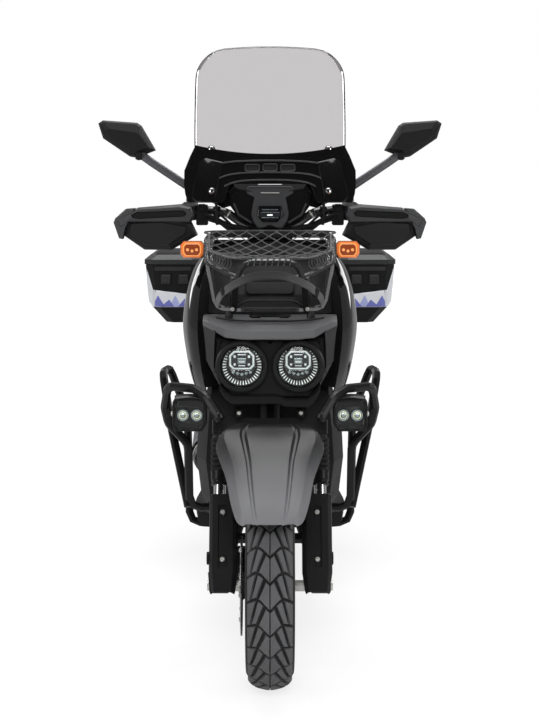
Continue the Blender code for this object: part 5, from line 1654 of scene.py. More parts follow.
@dataclass
class ForkGuard:
    """The moulded shin in front of one slider, with its sunk strip and two screws."""

    side: int
    face: float = -0.040

    def row(self, up: float, narrow: float, wrap: float, sink: float) -> list[Vector]:
        """One section of the guard from its outer edge to its inner edge."""
        shape = (
            (0.1410, wrap),
            (0.1418, -0.018),
            (0.1405, -0.029),
            (0.1335, self.face),
            (0.1205, self.face),
            (0.1190, self.face + sink),
            (0.1005, self.face + sink),
            (0.0990, self.face),
            (0.0860, self.face),
            (0.0785, -0.029),
            (0.0772, -0.018),
            (0.0780, wrap),
        )
        return [
            on_fork(self.side * (0.1095 + (x - 0.1095) * narrow), AXLE_BACK + back, up)
            for x, back in shape
        ]

    def build(self) -> None:
        """Makes the shell, its screws and the side knob."""
        label = side_name(self.side)
        low, high = AXLE_UP - 0.024, AXLE_UP + 0.209
        rows = [
            self.row(low, 0.80, -0.024, 0.0),
            self.row(low + 0.006, 0.86, -0.024, 0.0),
            self.row(AXLE_UP + 0.026, 1.0, -0.020, 0.0),
            self.row(AXLE_UP + 0.034, 1.0, 0.002, 0.0),
            self.row(AXLE_UP + 0.036, 1.0, 0.004, 0.0035),
            self.row(AXLE_UP + 0.180, 1.0, 0.004, 0.0035),
            self.row(AXLE_UP + 0.182, 1.0, 0.004, 0.0),
            self.row(high - 0.012, 1.0, 0.004, 0.0),
            self.row(high - 0.008, 1.03, 0.004, 0.0),
            self.row(high - 0.001, 1.03, 0.002, 0.0),
            self.row(high, 1.0, 0.000, 0.0),
        ]
        shell = Shape(f"fork_shin_{label}").sheet(rows)
        shell.piece(
            MOULDED,
            "steering",
            replaces=[f"fork_guard_{label}"],
            wall=0.0028,
            bevel=0.0009,
            offset=1.0 * self.side,
            sharp=18.0,
        )
        screws = Shape(f"fork_shin_screws_{label}")
        rubber = Shape(f"fork_shin_washers_{label}")
        for up in (AXLE_UP + 0.053, AXLE_UP + 0.165):
            place = on_fork(self.side * 0.1098, AXLE_BACK + self.face + 0.0035, up)
            rubber.lathe(
                place,
                -STEER_BACK,
                ((-0.001, 0.0086), (0.0022, 0.0086), (0.0030, 0.0076), (0.0030, 0.0)),
                28,
            )
            screws.bolt(place - STEER_BACK * 0.0030, -STEER_BACK, 0.0058, 0.0040)
        rubber.piece(SOFT_RUBBER, "steering")
        screws.piece(ZINC, "steering")
        knob = Shape(f"fork_reflector_{label}")
        place = on_fork(self.side * 0.1420, AXLE_BACK - 0.012, AXLE_UP + 0.062)
        knob.lathe(
            place,
            ACROSS * self.side,
            ((0.0, 0.0150), (0.0045, 0.0150), (0.0052, 0.0140), (0.0052, 0.0)),
            28,
        )
        knob.piece(SOFT_RUBBER, "steering")
        ribs = Shape(f"fork_shin_ribs_{label}")
        for number in range(13):
            place = on_fork(self.side * 0.0766, AXLE_BACK - 0.012, AXLE_UP + 0.050 + number * 0.0105)
            ribs.box(place, (0.0030, 0.0200, 0.0048), Matrix.Rotation(RAKE, 3, "X"))
        ribs.piece(MOULDED, "steering", bevel=0.0005)


@dataclass
class Fork:
    """Both legs with their guards, the caliper and the brake hose."""

    def build(self) -> None:
        """Makes everything below the crown that turns with the bar."""
        for side in SIDES:
            ForkLeg(side).build()
            ForkGuard(side).build()
        dress(["steering_stem"], CAST_DARK, 0.0012)
        dress(["front_axle"], ZINC, 0.0005)
        dress(["front_caliper"], CAST_DARK, 0.0015)
        self.caliper_details()
        self.hose()

    def caliper_details(self) -> None:
        """Adds the caliper's piston caps and screws."""
        out = (STEER_BACK * 0.75 + STEER_UP * 0.66).normalized()
        along = out.cross(ACROSS)
        caps = Shape("caliper_caps")
        screws = Shape("caliper_screws")
        for share in (-1, 1):
            place = FORK_AXLE + out * 0.100 + along * (share * 0.017) - ACROSS * 0.089
            caps.lathe(
                place,
                -ACROSS,
                (
                    (-0.002, 0.0125),
                    (0.0022, 0.0125),
                    (0.0034, 0.0112),
                    (0.0034, 0.0045),
                    (0.0020, 0.0035),
                    (0.0020, 0.0),
                ),
                32,
            )
            screws.bolt(
                FORK_AXLE + out * 0.121 + along * (share * 0.028) - ACROSS * 0.087,
                -ACROSS,
                0.0050,
                0.004,
            )
        caps.piece(CAST_DARK, "steering")
        screws.piece(ZINC, "steering")

    def hose(self) -> None:
        """Adds the brake hose from the caliper up the right leg."""
        route = curve_through(
            [
                on_fork(-0.092, AXLE_BACK + 0.060, AXLE_UP + 0.095),
                on_fork(-0.100, AXLE_BACK + 0.055, AXLE_UP + 0.150),
                on_fork(-0.106, AXLE_BACK + 0.030, AXLE_UP + 0.250),
                on_fork(-0.098, AXLE_BACK + 0.034, AXLE_UP + 0.340),
                on_fork(-0.070, AXLE_BACK + 0.060, AXLE_UP + 0.390),
            ],
            10,
        )
        Shape("brake_hose").tube(route, 0.0034, 12).piece(SOFT_RUBBER, "steering")


FENDER_ROWS = (
    # behind, height of the crown line, half width, drop at the edge
    (0.230, 0.526, 0.052, 0.006),
    (0.165, 0.569, 0.060, 0.008),
    (0.120, 0.598, 0.072, 0.012),
    (0.060, 0.623, 0.092, 0.014),
    (0.010, 0.624, 0.116, 0.026),
    (-0.020, 0.613, 0.124, 0.040),
    (-0.060, 0.592, 0.112, 0.048),
    (-0.100, 0.564, 0.098, 0.050),
    (-0.150, 0.524, 0.088, 0.050),
    (-0.200, 0.476, 0.074, 0.034),
    (-0.228, 0.444, 0.058, 0.010),
)


@dataclass
class FrontFender:
    """The beak over the front wheel, with two grooves that close in towards its lip."""

    steps: int = 6
    lip_rows: int = 6

    def section(self, share: float) -> list[tuple[float, float]]:
        """Half of a section: (share of the half width, share of the drop), from the middle out.

        Args:
            share: how far along the beak, from its rear end to its lip.

        Returns:
            The points of the section.
        """
        groove = max(0.0, min(1.0, (share - 0.25) / 0.20))
        deep = 0.16 * groove
        return [
            (0.0, 0.0),
            (0.15, 0.006),
            (0.30, 0.030),
            (0.43, 0.080),
            (0.470, 0.105 + deep),
            (0.515, 0.125 + deep),
            (0.560, 0.170),
            (0.66, 0.215),
            (0.76, 0.270),
            (0.845, 0.340),
            (0.90, 0.480),
            (0.955, 0.720),
            (1.0, 1.0),
        ]

    def build(self) -> None:
        """Makes the shell and the mount under the crown."""
        lines = [Vector(row) for row in ((d, z, half) for d, z, half, _ in FENDER_ROWS)]
        drops = [Vector((row[3], 0.0, 0.0)) for row in FENDER_ROWS]
        smooth = curve_through(lines, self.steps)
        falls = curve_through(drops, self.steps)
        grid = []
        for index, (line, fall) in enumerate(zip(smooth, falls)):
            half_row = self.section(index / (len(smooth) - 1))
            row = [(-share, drop) for share, drop in reversed(half_row[1:])] + half_row
            lip = max(0.0, (index - (len(smooth) - 1 - self.lip_rows)) / self.lip_rows)
            grid.append(
                [
                    at(
                        share * line.z,
                        line.x + 0.012 * lip * lip * share * share,
                        line.y - fall.x * drop - 0.004 * lip * (1 - share * share),
                    )
                    for share, drop in row
                ]
            )
        shell = Shape("fender_shell").sheet(grid)
        # The shell's upper part is darkened by painted shade in its finish.
        shell.piece(
            FENDER_PAINTED_SHADE,
            "steering",
            replaces=["front_fender"],
            wall=0.0028,
            bevel=0.0006,
            sharp=14.0,
        )
        mount = Shape("fender_mount")
        top = CROWN_LOW - 0.0005
        corners = ((-0.040, -0.040), (0.040, -0.040), (0.040, 0.010), (-0.040, 0.010))
        mount.loft([[on_fork(x, y, up) for x, y in corners] for up in (top - 0.034, top)])
        mount.piece(MOULDED, "steering", bevel=0.002)


# Nose, lamps and wings

LAMP_HALF = 0.066
LAMP_HEIGHT = 0.750
FASCIA_FRONT = 0.085


@dataclass
class Headlight:
    """One round lamp: bezel, radial fins, shield and projector behind a clear cover."""

    side: int
    fins: int = 40

    @property
    def centre(self) -> Vector:
        """The middle of the lamp's front."""
        return at(self.side * LAMP_HALF, FASCIA_FRONT, LAMP_HEIGHT)

    def build(self) -> None:
        """Makes the lamp from its can outwards."""
        label = side_name(self.side)
        can = Shape(f"headlight_can_{label}")
        bowl = (
            (0.085, 0.024),
            (0.055, 0.0495),
            (0.006, 0.0495),
            (0.003, 0.0475),
            (0.014, 0.0455),
            (0.020, 0.041),
            (0.024, 0.030),
            (0.024, 0.0),
        )
        can.lathe(self.centre, BACK, bowl, 72)
        can.piece(MOULDED, "chassis", replaces=[f"headlight_{label}"])
        bezel = Shape(f"headlight_bezel_{label}")
        ring = (
            (0.020, 0.0490),
            (0.002, 0.0490),
            (-0.0105, 0.0500),
            (-0.0125, 0.0525),
            (-0.0130, 0.0560),
            (-0.0115, 0.0590),
            (-0.006, 0.0614),
            (0.014, 0.0618),
            (0.040, 0.0618),
        )
        bezel.eyelet(self.centre, ring, 80)
        bezel.piece(MOULDED, "chassis", sharp=60.0)
        self.fin_ring(label)
        self.projector(label)

    def fin_ring(self, label: str) -> None:
        """Adds the bright radial fins round the projector; they dim towards the top."""
        fins = Shape(f"headlight_fins_{label}")
        dim = Shape(f"headlight_dim_fins_{label}")
        for number in range(self.fins):
            a = math.tau * (number + 0.5) / self.fins
            out = Vector((math.cos(a), 0.0, math.sin(a)))
            side = Vector((-math.sin(a), 0.0, math.cos(a)))
            top = math.sin(a) > 0.80
            shape = dim if top else fins
            low, high = (0.0400, 0.0440) if top else (0.0365, 0.0450)
            half_low, half_high = 0.0008, 0.0014
            front, rear = 0.0075, 0.0210
            outline = [
                self.centre + out * low - side * half_low,
                self.centre + out * high - side * half_high,
                self.centre + out * high + side * half_high,
                self.centre + out * low + side * half_low,
            ]
            slope = [0.0085, 0.0030, 0.0030, 0.0085]
            face = [point + Vector((0.0, front + lean, 0.0)) for point, lean in zip(outline, slope)]
            foot = [point + Vector((0.0, rear, 0.0)) for point in outline]
            shape.loft([face, foot])
        fins.piece(LED_WHITE, "chassis")
        dim.piece(LAMP_CHROME, "chassis")
        ring = Shape(f"headlight_inner_ring_{label}")
        profile = (
            (0.0240, 0.0350),
            (0.0120, 0.0352),
            (0.0105, 0.0342),
            (0.0105, 0.0325),
            (0.0150, 0.0310),
            (0.0240, 0.0310),
        )
        ring.eyelet(self.centre, profile, 72)
        ring.piece(GLOSS_BLACK, "chassis", sharp=50.0)

    def outline(self, half: float, high: float, low: float, chamfer: float) -> list[tuple[float, float]]:
        """A squarish outline with its corners cut, about the projector's middle."""
        return [
            (-half + chamfer, -low),
            (half - chamfer, -low),
            (half, -low + chamfer),
            (half, high - chamfer * 1.3),
            (half - chamfer * 1.3, high),
            (-half + chamfer * 1.3, high),
            (-half, high - chamfer * 1.3),
            (-half, -low + chamfer),
        ]

    def projector(self, label: str) -> None:
        """Adds the projector's frame, its mirror facets, the cut-off bar and the lens."""
        middle = self.centre + Vector((0.0, 0.0, 0.0135))
        rim = self.outline(0.0335, 0.0255, 0.0245, 0.0085)
        body = Shape(f"headlight_projector_{label}")
        rings = []
        for grow, depth in ((1.0, 0.0235), (1.0, 0.0060), (0.97, 0.0040), (0.90, 0.0040), (0.86, 0.0100)):
            rings.append([middle + Vector((x * grow, depth, z * grow)) for x, z in rim])
        body.loft(rings)
        body.piece(DARK_GLASS, "chassis", bevel=0.0006, sharp=25.0)
        facets = Shape(f"headlight_mirrors_{label}")
        frame_line = self.outline(0.0290, 0.0215, 0.0205, 0.0080)
        stack = [
            [middle + Vector((x * grow, depth, z * grow)) for x, z in frame_line]
            for grow, depth in ((1.0, 0.0085), (0.98, 0.0060), (0.86, 0.0060), (0.82, 0.0085))
        ]
        facets.loft([[one[k] for one in stack] for k in range(len(frame_line))], closed=True)
        for x, z, wide, high in (
            (-0.0165, 0.0085, 0.0050, 0.0060),
            (0.0165, 0.0085, 0.0050, 0.0060),
            (-0.0165, -0.0095, 0.0050, 0.0050),
            (0.0165, -0.0095, 0.0050, 0.0050),
            (0.0, 0.0130, 0.0200, 0.0024),
            (0.0, -0.0125, 0.0160, 0.0024),
        ):
            facets.box(
                middle + Vector((x, 0.0080, z)),
                (wide, 0.0040, high),
                Matrix.Rotation(-x * 14.0, 3, "Z"),
            )
        facets.piece(LED_WHITE, "chassis", bevel=0.0016)
        bar = Shape(f"headlight_cutoff_{label}")
        bar.box(middle + Vector((0.0, 0.0052, -0.0010)), (0.0200, 0.0060, 0.0140))
        bar.piece(LAMP_CHROME, "chassis", bevel=0.0012)
        spark = Shape(f"headlight_chip_{label}")
        spark.box(middle + Vector((0.0, 0.0022, -0.0030)), (0.0130, 0.0020, 0.0030))
        spark.piece(LED_WHITE, "chassis", bevel=0.0004)
        dome = Shape(f"headlight_lens_{label}")
        rings = []
        for grow, depth in (
            (0.99, 0.0035),
            (0.99, 0.0018),
            (0.92, 0.0002),
            (0.70, -0.0012),
            (0.35, -0.0018),
        ):
            rings.append([middle + Vector((x * grow, depth, z * grow)) for x, z in rim])
        dome.loft(rings)
        dome.piece(CLEAR_LENS, "chassis", sharp=50.0)
        glass = Shape(f"headlight_cover_{label}")
        profile = (
            (-0.0050, 0.0493),
            (-0.0066, 0.0460),
            (-0.0084, 0.0340),
            (-0.0095, 0.0180),
            (-0.0098, 0.0),
            (-0.0083, 0.0),
            (-0.0080, 0.0180),
            (-0.0069, 0.0340),
            (-0.0051, 0.0460),
            (-0.0035, 0.0493),
        )
        rings = [
            ring_of(self.centre + Vector((0.0, along, 0.0)), max(radius, 1e-5), BACK, 64)
            for along, radius in profile
        ]
        glass.loft(rings, closed=True)
        glass.piece(CLEAR_LENS, "chassis", sharp=60.0)
        hood = Shape(f"headlight_chevrons_{label}")
        for number in range(5):
            place = self.centre + Vector(
                ((number - 2) * 0.0100, 0.0135, -0.0200 + abs(number - 2) * 0.0025),
            )
            hood.box(place, (0.0070, 0.0100, 0.0070), Matrix.Rotation(math.radians(45.0), 3, "Y"))
        hood.piece(LAMP_CHROME, "chassis", bevel=0.0008)


@dataclass
class Nose:
    """The fascia round the lamps, with its brow, arms and stepped chin."""

    def build(self) -> None:
        """Makes the mouldings round the lamps."""
        self.fascia()
        self.brow()
        self.arms()
        self.chin()
        for side in SIDES:
            Headlight(side).build()

    def fascia(self) -> None:
        """Adds the sunk face round the lamps, open where they sit."""
        back = [
            (-0.110, 0.700),
            (0.110, 0.700),
            (0.154, 0.752),
            (0.160, 0.842),
            (-0.160, 0.842),
            (-0.154, 0.752),
        ]
        front = [
            (-0.096, 0.672),
            (0.096, 0.672),
            (0.136, 0.735),
            (0.128, 0.815),
            (-0.128, 0.815),
            (-0.136, 0.735),
        ]
        rings = [
            [at(x, 0.200, z) for x, z in back],
            [at(x, 0.125, z + 0.002) for x, z in front],
            [at(x * 0.985, FASCIA_FRONT + 0.024, 0.745 + (z - 0.745) * 0.97) for x, z in front],
            [at(x * 0.94, FASCIA_FRONT + 0.012, 0.745 + (z - 0.745) * 0.92) for x, z in front],
            [at(x * 0.90, FASCIA_FRONT + 0.015, 0.745 + (z - 0.745) * 0.88) for x, z in front],
        ]
        shape = Shape("nose_fascia")
        shape.loft(rings, caps=False)
        self.face_with_rooms(shape, rings[-1])
        shape.piece(MOULDED, "chassis", replaces=["front_fascia"], bevel=0.0015, sharp=20.0)

    def face_with_rooms(self, shape: Shape, rim: Ring) -> None:
        """Fills the face between its rim and the two lamp bezels."""
        work = shape.work
        edge = [work.verts.new(point) for point in rim]
        for side in SIDES:
            half = [vert for vert in edge if vert.co.x * side > 0.0]
            centre = at(side * LAMP_HALF, FASCIA_FRONT + 0.015, LAMP_HEIGHT)
            count = 48
            ring = []
            outer = []
            corners = sorted(
                (
                    (math.atan2(vert.co.z - centre.z, (vert.co.x - centre.x) * side), vert.co.copy())
                    for vert in half
                ),
                key=lambda item: item[0],
            )
            mid_top, mid_low = at(0.0, FASCIA_FRONT + 0.015, 0.8066), at(0.0, FASCIA_FRONT + 0.015, 0.6808)
            border = [mid_low] + [co for _, co in corners] + [mid_top]
            for step in range(count):
                a = math.tau * step / count
                out = Vector((math.cos(a) * side, 0.0, math.sin(a)))
                ring.append(work.verts.new(centre + out * 0.0585))
                outer.append(work.verts.new(self.hit(centre, out, border)))
            for here in range(count):
                there = (here + 1) % count
                work.faces.new((ring[here], ring[there], outer[there], outer[here]))
        bmesh.ops.remove_doubles(work, verts=work.verts, dist=1e-5)

    def hit(self, centre: Vector, out: Vector, border: Sequence[Vector]) -> Vector:
        """Where a ray from the lamp's middle meets the border of its half of the face."""
        best = 1.0
        for here in range(len(border)):
            a, b = border[here], border[(here + 1) % len(border)]
            along = b - a
            cross = out.x * along.z - out.z * along.x
            if abs(cross) < 1e-12:
                continue
            away = a - centre
            reach = (away.x * along.z - away.z * along.x) / cross
            share = (away.x * out.z - away.z * out.x) / cross
            if reach > 0.0 and -1e-6 <= share <= 1.0 + 1e-6:
                best = min(best, reach)
        return centre + out * best

    def brow(self) -> None:
        """Adds the faceted brow over the lamps and the deck behind it."""
        half_rows = (
            # across, front edge, its top and underside, ridge behind, height of the ridge
            (0.160, 0.168, 0.850, 0.838, 0.190, 0.8545),
            (0.146, 0.136, 0.850, 0.834, 0.165, 0.8545),
            (0.104, 0.077, 0.838, 0.817, 0.104, 0.8450),
            (0.066, 0.063, 0.836, 0.814, 0.095, 0.8440),
            (0.044, 0.060, 0.836, 0.814, 0.092, 0.8460),
        )
        rows = [(-x, *rest) for x, *rest in half_rows] + list(reversed(half_rows))
        rings = []
        for x, front, top, low, ridge, high in rows:
            rings.append(
                [
                    at(x, front + 0.004, low),
                    at(x, front, low + 0.003),
                    at(x, front, top),
                    at(x, ridge, high),
                    at(x, 0.1500 if ridge < 0.15 else ridge + 0.02, high + 0.004),
                    at(x, 0.245, 0.8585),
                    at(x, 0.245, 0.8335),
                    at(x, ridge + 0.010, low + 0.004),
                ]
            )
        # The brow's paler grey carries a painted highlight on its top.
        Shape("nose_brow").loft(rings).piece(BROW_GREY_PAINTED_HIGHLIGHT, "chassis", bevel=0.0010, sharp=12.0)
        slots = Shape("nose_slots")
        for side in SIDES:
            slots.box(at(side * 0.034, 0.200, 0.8562), (0.022, 0.018, 0.0040))
        slots.box(at(0.0, 0.214, 0.8575), (0.100, 0.014, 0.0040))
        slots.piece(GLOSS_BLACK, "chassis", bevel=0.0008)
        line = [
            at(x, d, z)
            for x, d, z in (
                (-0.128, 0.176, 0.8560),
                (-0.100, 0.148, 0.8535),
                (-0.052, 0.134, 0.8520),
                (0.052, 0.134, 0.8520),
                (0.100, 0.148, 0.8535),
                (0.128, 0.176, 0.8560),
            )
        ]
        ridge = Shape("nose_deck_ridge")
        ridge.tube(rounded(line, 0.02), 0.0016, 8)
        ridge.piece(MOULDED, "chassis")

    def arms(self) -> None:
        """Adds the arms that run down beside the lamps to the chin."""
        shape = Shape("nose_arms")
        rows = (
            # height, outer and inner half width, front of the outer and inner edge
            (0.836, 0.160, 0.128, 0.170, 0.112),
            (0.806, 0.154, 0.130, 0.155, 0.100),
            (0.748, 0.146, 0.132, 0.140, 0.097),
            (0.716, 0.128, 0.121, 0.128, 0.096),
            (0.690, 0.112, 0.104, 0.118, 0.093),
            (0.676, 0.102, 0.092, 0.110, 0.090),
        )
        rings = []
        for z, out, inner, behind_out, behind_in in rows:
            rings.append(
                [
                    at(out, behind_out + 0.02, z),
                    at(out, behind_out, z),
                    at(inner, behind_in, z),
                    at(inner - 0.004, behind_in + 0.012, z),
                ],
            )
        shape.loft(rings)
        shape.mirror().piece(MOULDED, "chassis", bevel=0.0014, sharp=18.0)

    def chin(self) -> None:
        """Adds the lip under the lamps, with its step on one side, and its two screws."""
        rings = []
        for x, low, high in (
            (-0.118, 0.690, 0.712),
            (-0.104, 0.670, 0.693),
            (-0.088, 0.659, 0.682),
            (0.020, 0.659, 0.682),
            (0.036, 0.652, 0.674),
            (0.088, 0.652, 0.674),
            (0.104, 0.664, 0.688),
            (0.118, 0.690, 0.712),
        ):
            front = 0.0845 + 0.16 * max(0.0, abs(x) - 0.088)
            rings.append(
                [
                    at(x, front + 0.010, low),
                    at(x, front + 0.001, low + 0.002),
                    at(x, front, low + 0.010),
                    at(x, front + 0.004, high - 0.004),
                    at(x, front + 0.012, high),
                    at(x, front + 0.026, high),
                    at(x, front + 0.016, low + 0.003),
                ]
            )
        Shape("nose_chin").loft(rings).piece(MOULDED, "chassis", bevel=0.0010, sharp=16.0)
        lugs = Shape("chin_lugs")
        screws = Shape("chin_screws")
        for side in SIDES:
            place = at(side * 0.0730, 0.112, 0.6375)
            lugs.box(place + Vector((0.0, 0.018, -0.003)), (0.014, 0.036, 0.016))
            screws.bolt(
                place + Vector((0.0, 0.0010, -0.002)),
                (FORWARD * 1.0 + UP * 0.3).normalized(),
                0.0052,
                0.004,
            )
        lugs.piece(MOULDED, "steering", bevel=0.0015)
        screws.piece(ZINC, "steering")


@dataclass
class Wings:
    """The gloss side wings, with the panels behind the rack and the leg shield."""

    def rows(self) -> tuple[tuple[float, ...], ...]:
        """Height, front, rear, and how far out at the front, the middle and the rear."""
        return (
            (0.655, 0.262, 0.500, 0.160, 0.182, 0.184),
            (0.680, 0.232, 0.515, 0.166, 0.192, 0.190),
            (0.740, 0.215, 0.530, 0.176, 0.206, 0.196),
            (0.830, 0.225, 0.540, 0.184, 0.217, 0.198),
            (0.915, 0.258, 0.540, 0.178, 0.205, 0.187),
            (0.960, 0.325, 0.520, 0.171, 0.190, 0.174),
            (0.988, 0.375, 0.480, 0.162, 0.171, 0.160),
        )

    def build(self) -> None:
        """Makes both wings and what lies between them."""
        for side in SIDES:
            self.wing(side)
        dress(["shoulder_panel"], MOULDED, 0.002)
        dress(["leg_shield"], MOULDED, 0.003)
        self.panel_details()
        self.dash_top()

    def dash_top(self) -> None:
        """Closes the space between the panel behind the rack and the turning cover."""
        top = Shape("dash_top")
        rings = []
        for z, half, front, rear in (
            (0.990, 0.138, 0.384, 0.400),
            (1.012, 0.146, 0.376, 0.394),
            (1.028, 0.142, 0.376, 0.392),
            (1.0335, 0.136, 0.380, 0.388),
        ):
            corners = (
                (-half, rear),
                (-half, front + 0.006),
                (-half + 0.02, front),
                (half - 0.02, front),
                (half, front + 0.006),
                (half, rear),
            )
            rings.append([at(x, d, z) for x, d in corners])
        top.loft(rings)
        top.piece(SHADE_BLACK, "chassis", bevel=0.003, sharp=30.0)

    def wing(self, side: int) -> None:
        """Adds one wing with a fold line and an edge that turns in."""
        label = side_name(side)
        grid = []
        for z, front, rear, out_front, out_middle, out_rear in self.rows():
            line = []
            for step in range(9):
                share = step / 8
                bow = 4 * share * (1 - share)
                base = out_front + (out_rear - out_front) * share
                x = base + (out_middle - (out_front + out_rear) / 2) * bow
                turn_in = 0.010 if step == 0 else 0.0
                line.append(at(side * (x - turn_in), front + (rear - front) * share, z))
            grid.append(line)
        fine = refined(grid, 6, 3)
        skin = Shape(f"wing_skin_{label}").sheet(fine)
        skin.piece(
            GLOSS_BLACK,
            "chassis",
            replaces=[f"wing_{label}"],
            wall=0.0030,
            bevel=0.0008,
            offset=0.0,
            sharp=40.0,
        )
        trim = Shape(f"wing_inner_trim_{label}")
        rows = []
        for z, front, rear, out_front, _, _ in self.rows()[1:6]:
            rows.append(
                [
                    at(side * (out_front - 0.006 - 0.012 * k), front + 0.006 + 0.020 * k, z)
                    for k in range(4)
                ],
            )
        trim.sheet(refined(rows, 5, 2))
        trim.piece(MOULDED, "chassis", wall=0.0025, offset=0.0)

    def panel_details(self) -> None:
        """Adds the raised field on the panel behind the rack."""
        field_plate = Shape("shoulder_field")
        outline = [
            (-0.052, 0.906),
            (0.052, 0.906),
            (0.060, 0.914),
            (0.060, 0.950),
            (0.052, 0.958),
            (-0.052, 0.958),
            (-0.060, 0.950),
            (-0.060, 0.914),
        ]
        rings = []
        for grow, lift in ((1.0, -0.002), (1.0, 0.0025), (0.96, 0.0045)):
            ring = []
            for x, z in outline:
                height = 0.932 + (z - 0.932) * grow
                behind = 0.236 + (height - 0.860) * 0.70
                ring.append(at(x * grow, behind - lift - 0.004, height + 0.0005))
            rings.append(ring)
        field_plate.loft(rings)
        field_plate.piece(MOULDED, "chassis", bevel=0.0012)


# Luggage rack, crash bars, driving lamps and signals

@dataclass
class FrontRack:
    """The tube rack over the nose with its net and strap."""

    mesh_pitch: float = 0.0330
    stretch: float = 1.12
    cord: float = 0.0015

    def build(self) -> None:
        """Dresses the tubes and adds the flats that carry the shelf, the net and the strap."""
        dress(["front_rack"], RACK_LACQUER)
        self.plates()
        self.net()
        self.strap()

    def plates(self) -> None:
        """Adds the bent flat straps that carry the shelf, and their screws."""
        flats = Shape("rack_flats")
        screws = Shape("rack_screws")
        for side in SIDES:
            low, high = at(side * 0.0900, 0.1870, 0.8720), at(side * 0.0840, 0.1465, 0.9540)
            route = [low, low.lerp(high, 0.5), high]
            out = Vector((side, 0.0, 0.0))
            flats.sweep(
                route,
                lambda share: [(-0.0088, -0.0112), (0.0088, -0.0112), (0.0088, 0.0040), (-0.0088, 0.0040)],
                out,
            )
            for share in (0.12, 0.86):
                place = low.lerp(high, share)
                lean = (high - low).normalized().cross(ACROSS).normalized()
                if lean.y > 0:
                    lean = -lean
                screws.bolt(place + lean * 0.0112, lean, 0.0052, 0.0032)
        flats.piece(POWDER_COAT, "chassis", bevel=0.0014)
        screws.piece(ZINC, "chassis")

    def net_line(self, behind: float) -> tuple[float, float]:
        """Half width and height of the net at a distance behind the axle."""
        rows = (
            (0.114, 0.060, 0.9998),
            (0.145, 0.100, 1.000),
            (0.235, 0.150, 1.012),
            (0.318, 0.152, 1.0485),
            (0.338, 0.140, 1.0565),
        )
        for here, there in zip(rows, rows[1:]):
            if behind <= there[0]:
                share = (behind - here[0]) / (there[0] - here[0])
                return here[1] + (there[1] - here[1]) * share, here[2] + (there[2] - here[2]) * share
        return rows[-1][1], rows[-1][2]

    def net_point(self, across: float, behind: float) -> Vector:
        """A point of the net's surface, which sags a little in the middle."""
        half, high = self.net_line(behind)
        u = max(-1.0, min(1.0, across / half))
        sag = 0.010 * (1 - u * u) * max(0.0, min(1.0, (behind - 0.114) * 20, (0.338 - behind) * 20))
        return at(across, behind, high - sag + 0.0005)

    def net(self) -> None:
        """Adds the elastic net as crossing cords, tied at its crossings, with cords round its edge."""
        cords = Shape("net_cords")
        knots = Shape("net_knots")
        low, high = 0.119, 0.336
        for direction in (-1, 1):
            start = -0.52
            while start < 0.52:
                route = []
                for step in range(90):
                    behind = low + (high - low) * step / 89
                    across = start + direction * (behind - low) * self.stretch
                    half, _ = self.net_line(behind)
                    if abs(across) <= half - 0.004:
                        route.append(self.net_point(across, behind))
                    elif route:
                        break
                if len(route) >= 4:
                    cords.tube(
                        route[::4] if len(route) % 4 == 1 else route[::4] + [route[-1]],
                        self.cord,
                        6,
                    )
                start += self.mesh_pitch * self.stretch
        for row in range(14):
            behind = low + 0.002 + row * self.mesh_pitch / 2
            if behind > high:
                break
            for column in range(-14, 15):
                across = (column + (row % 2) / 2) * self.mesh_pitch * self.stretch
                half, _ = self.net_line(behind)
                if abs(across) < half - 0.008:
                    knots.lathe(
                        self.net_point(across, behind) + Vector((0, 0, -0.0019)),
                        UP,
                        ((0.0, 0.0010), (0.0009, 0.0025), (0.0029, 0.0025), (0.0038, 0.0010)),
                        7,
                    )
        edge = []
        for step in range(13):
            behind = low + (high - low) * step / 12
            edge.append(self.net_point(self.net_line(behind)[0] - 0.003, behind))
        left = edge
        right = [Vector((-point.x, point.y, point.z)) for point in reversed(edge)]
        loop = left + right
        cords.tube(curve_through(loop, 4, True), 0.0024, 8, True)
        cords.piece(ELASTIC, "chassis", replaces=["cargo_net"], sharp=60.0)
        knots.piece(ELASTIC, "chassis")
        self.lashings()

    def lashings(self) -> None:
        """Adds the cord that is wound over the rim and the net's edge."""
        shape = Shape("net_lashings")
        for side in SIDES:
            for step in range(15):
                behind = 0.150 + step * 0.0125
                half, high = self.net_line(behind)
                middle = at(side * (half - 0.001), behind, high - 0.013)
                ring = []
                for turn in range(10):
                    a = math.tau * turn / 10
                    ring.append(
                        middle + Vector(
                            (
                                0.0105 * math.cos(a),
                                0.0035 * math.sin(a) * (1 if step % 2 else -1),
                                0.0135 * math.sin(a),
                            ),
                        ),
                    )
                shape.tube(ring, 0.0013, 6, True)
        for step in range(8):
            across = -0.049 + 0.014 * step
            middle = at(across, 0.1125, 0.9955)
            ring = []
            for turn in range(10):
                a = math.tau * turn / 10
                ring.append(
                    middle + Vector((0.0030 * math.sin(a), 0.0110 * math.cos(a), 0.0115 * math.sin(a))),
                )
            shape.tube(ring, 0.0013, 6, True)
        shape.piece(ELASTIC, "chassis")

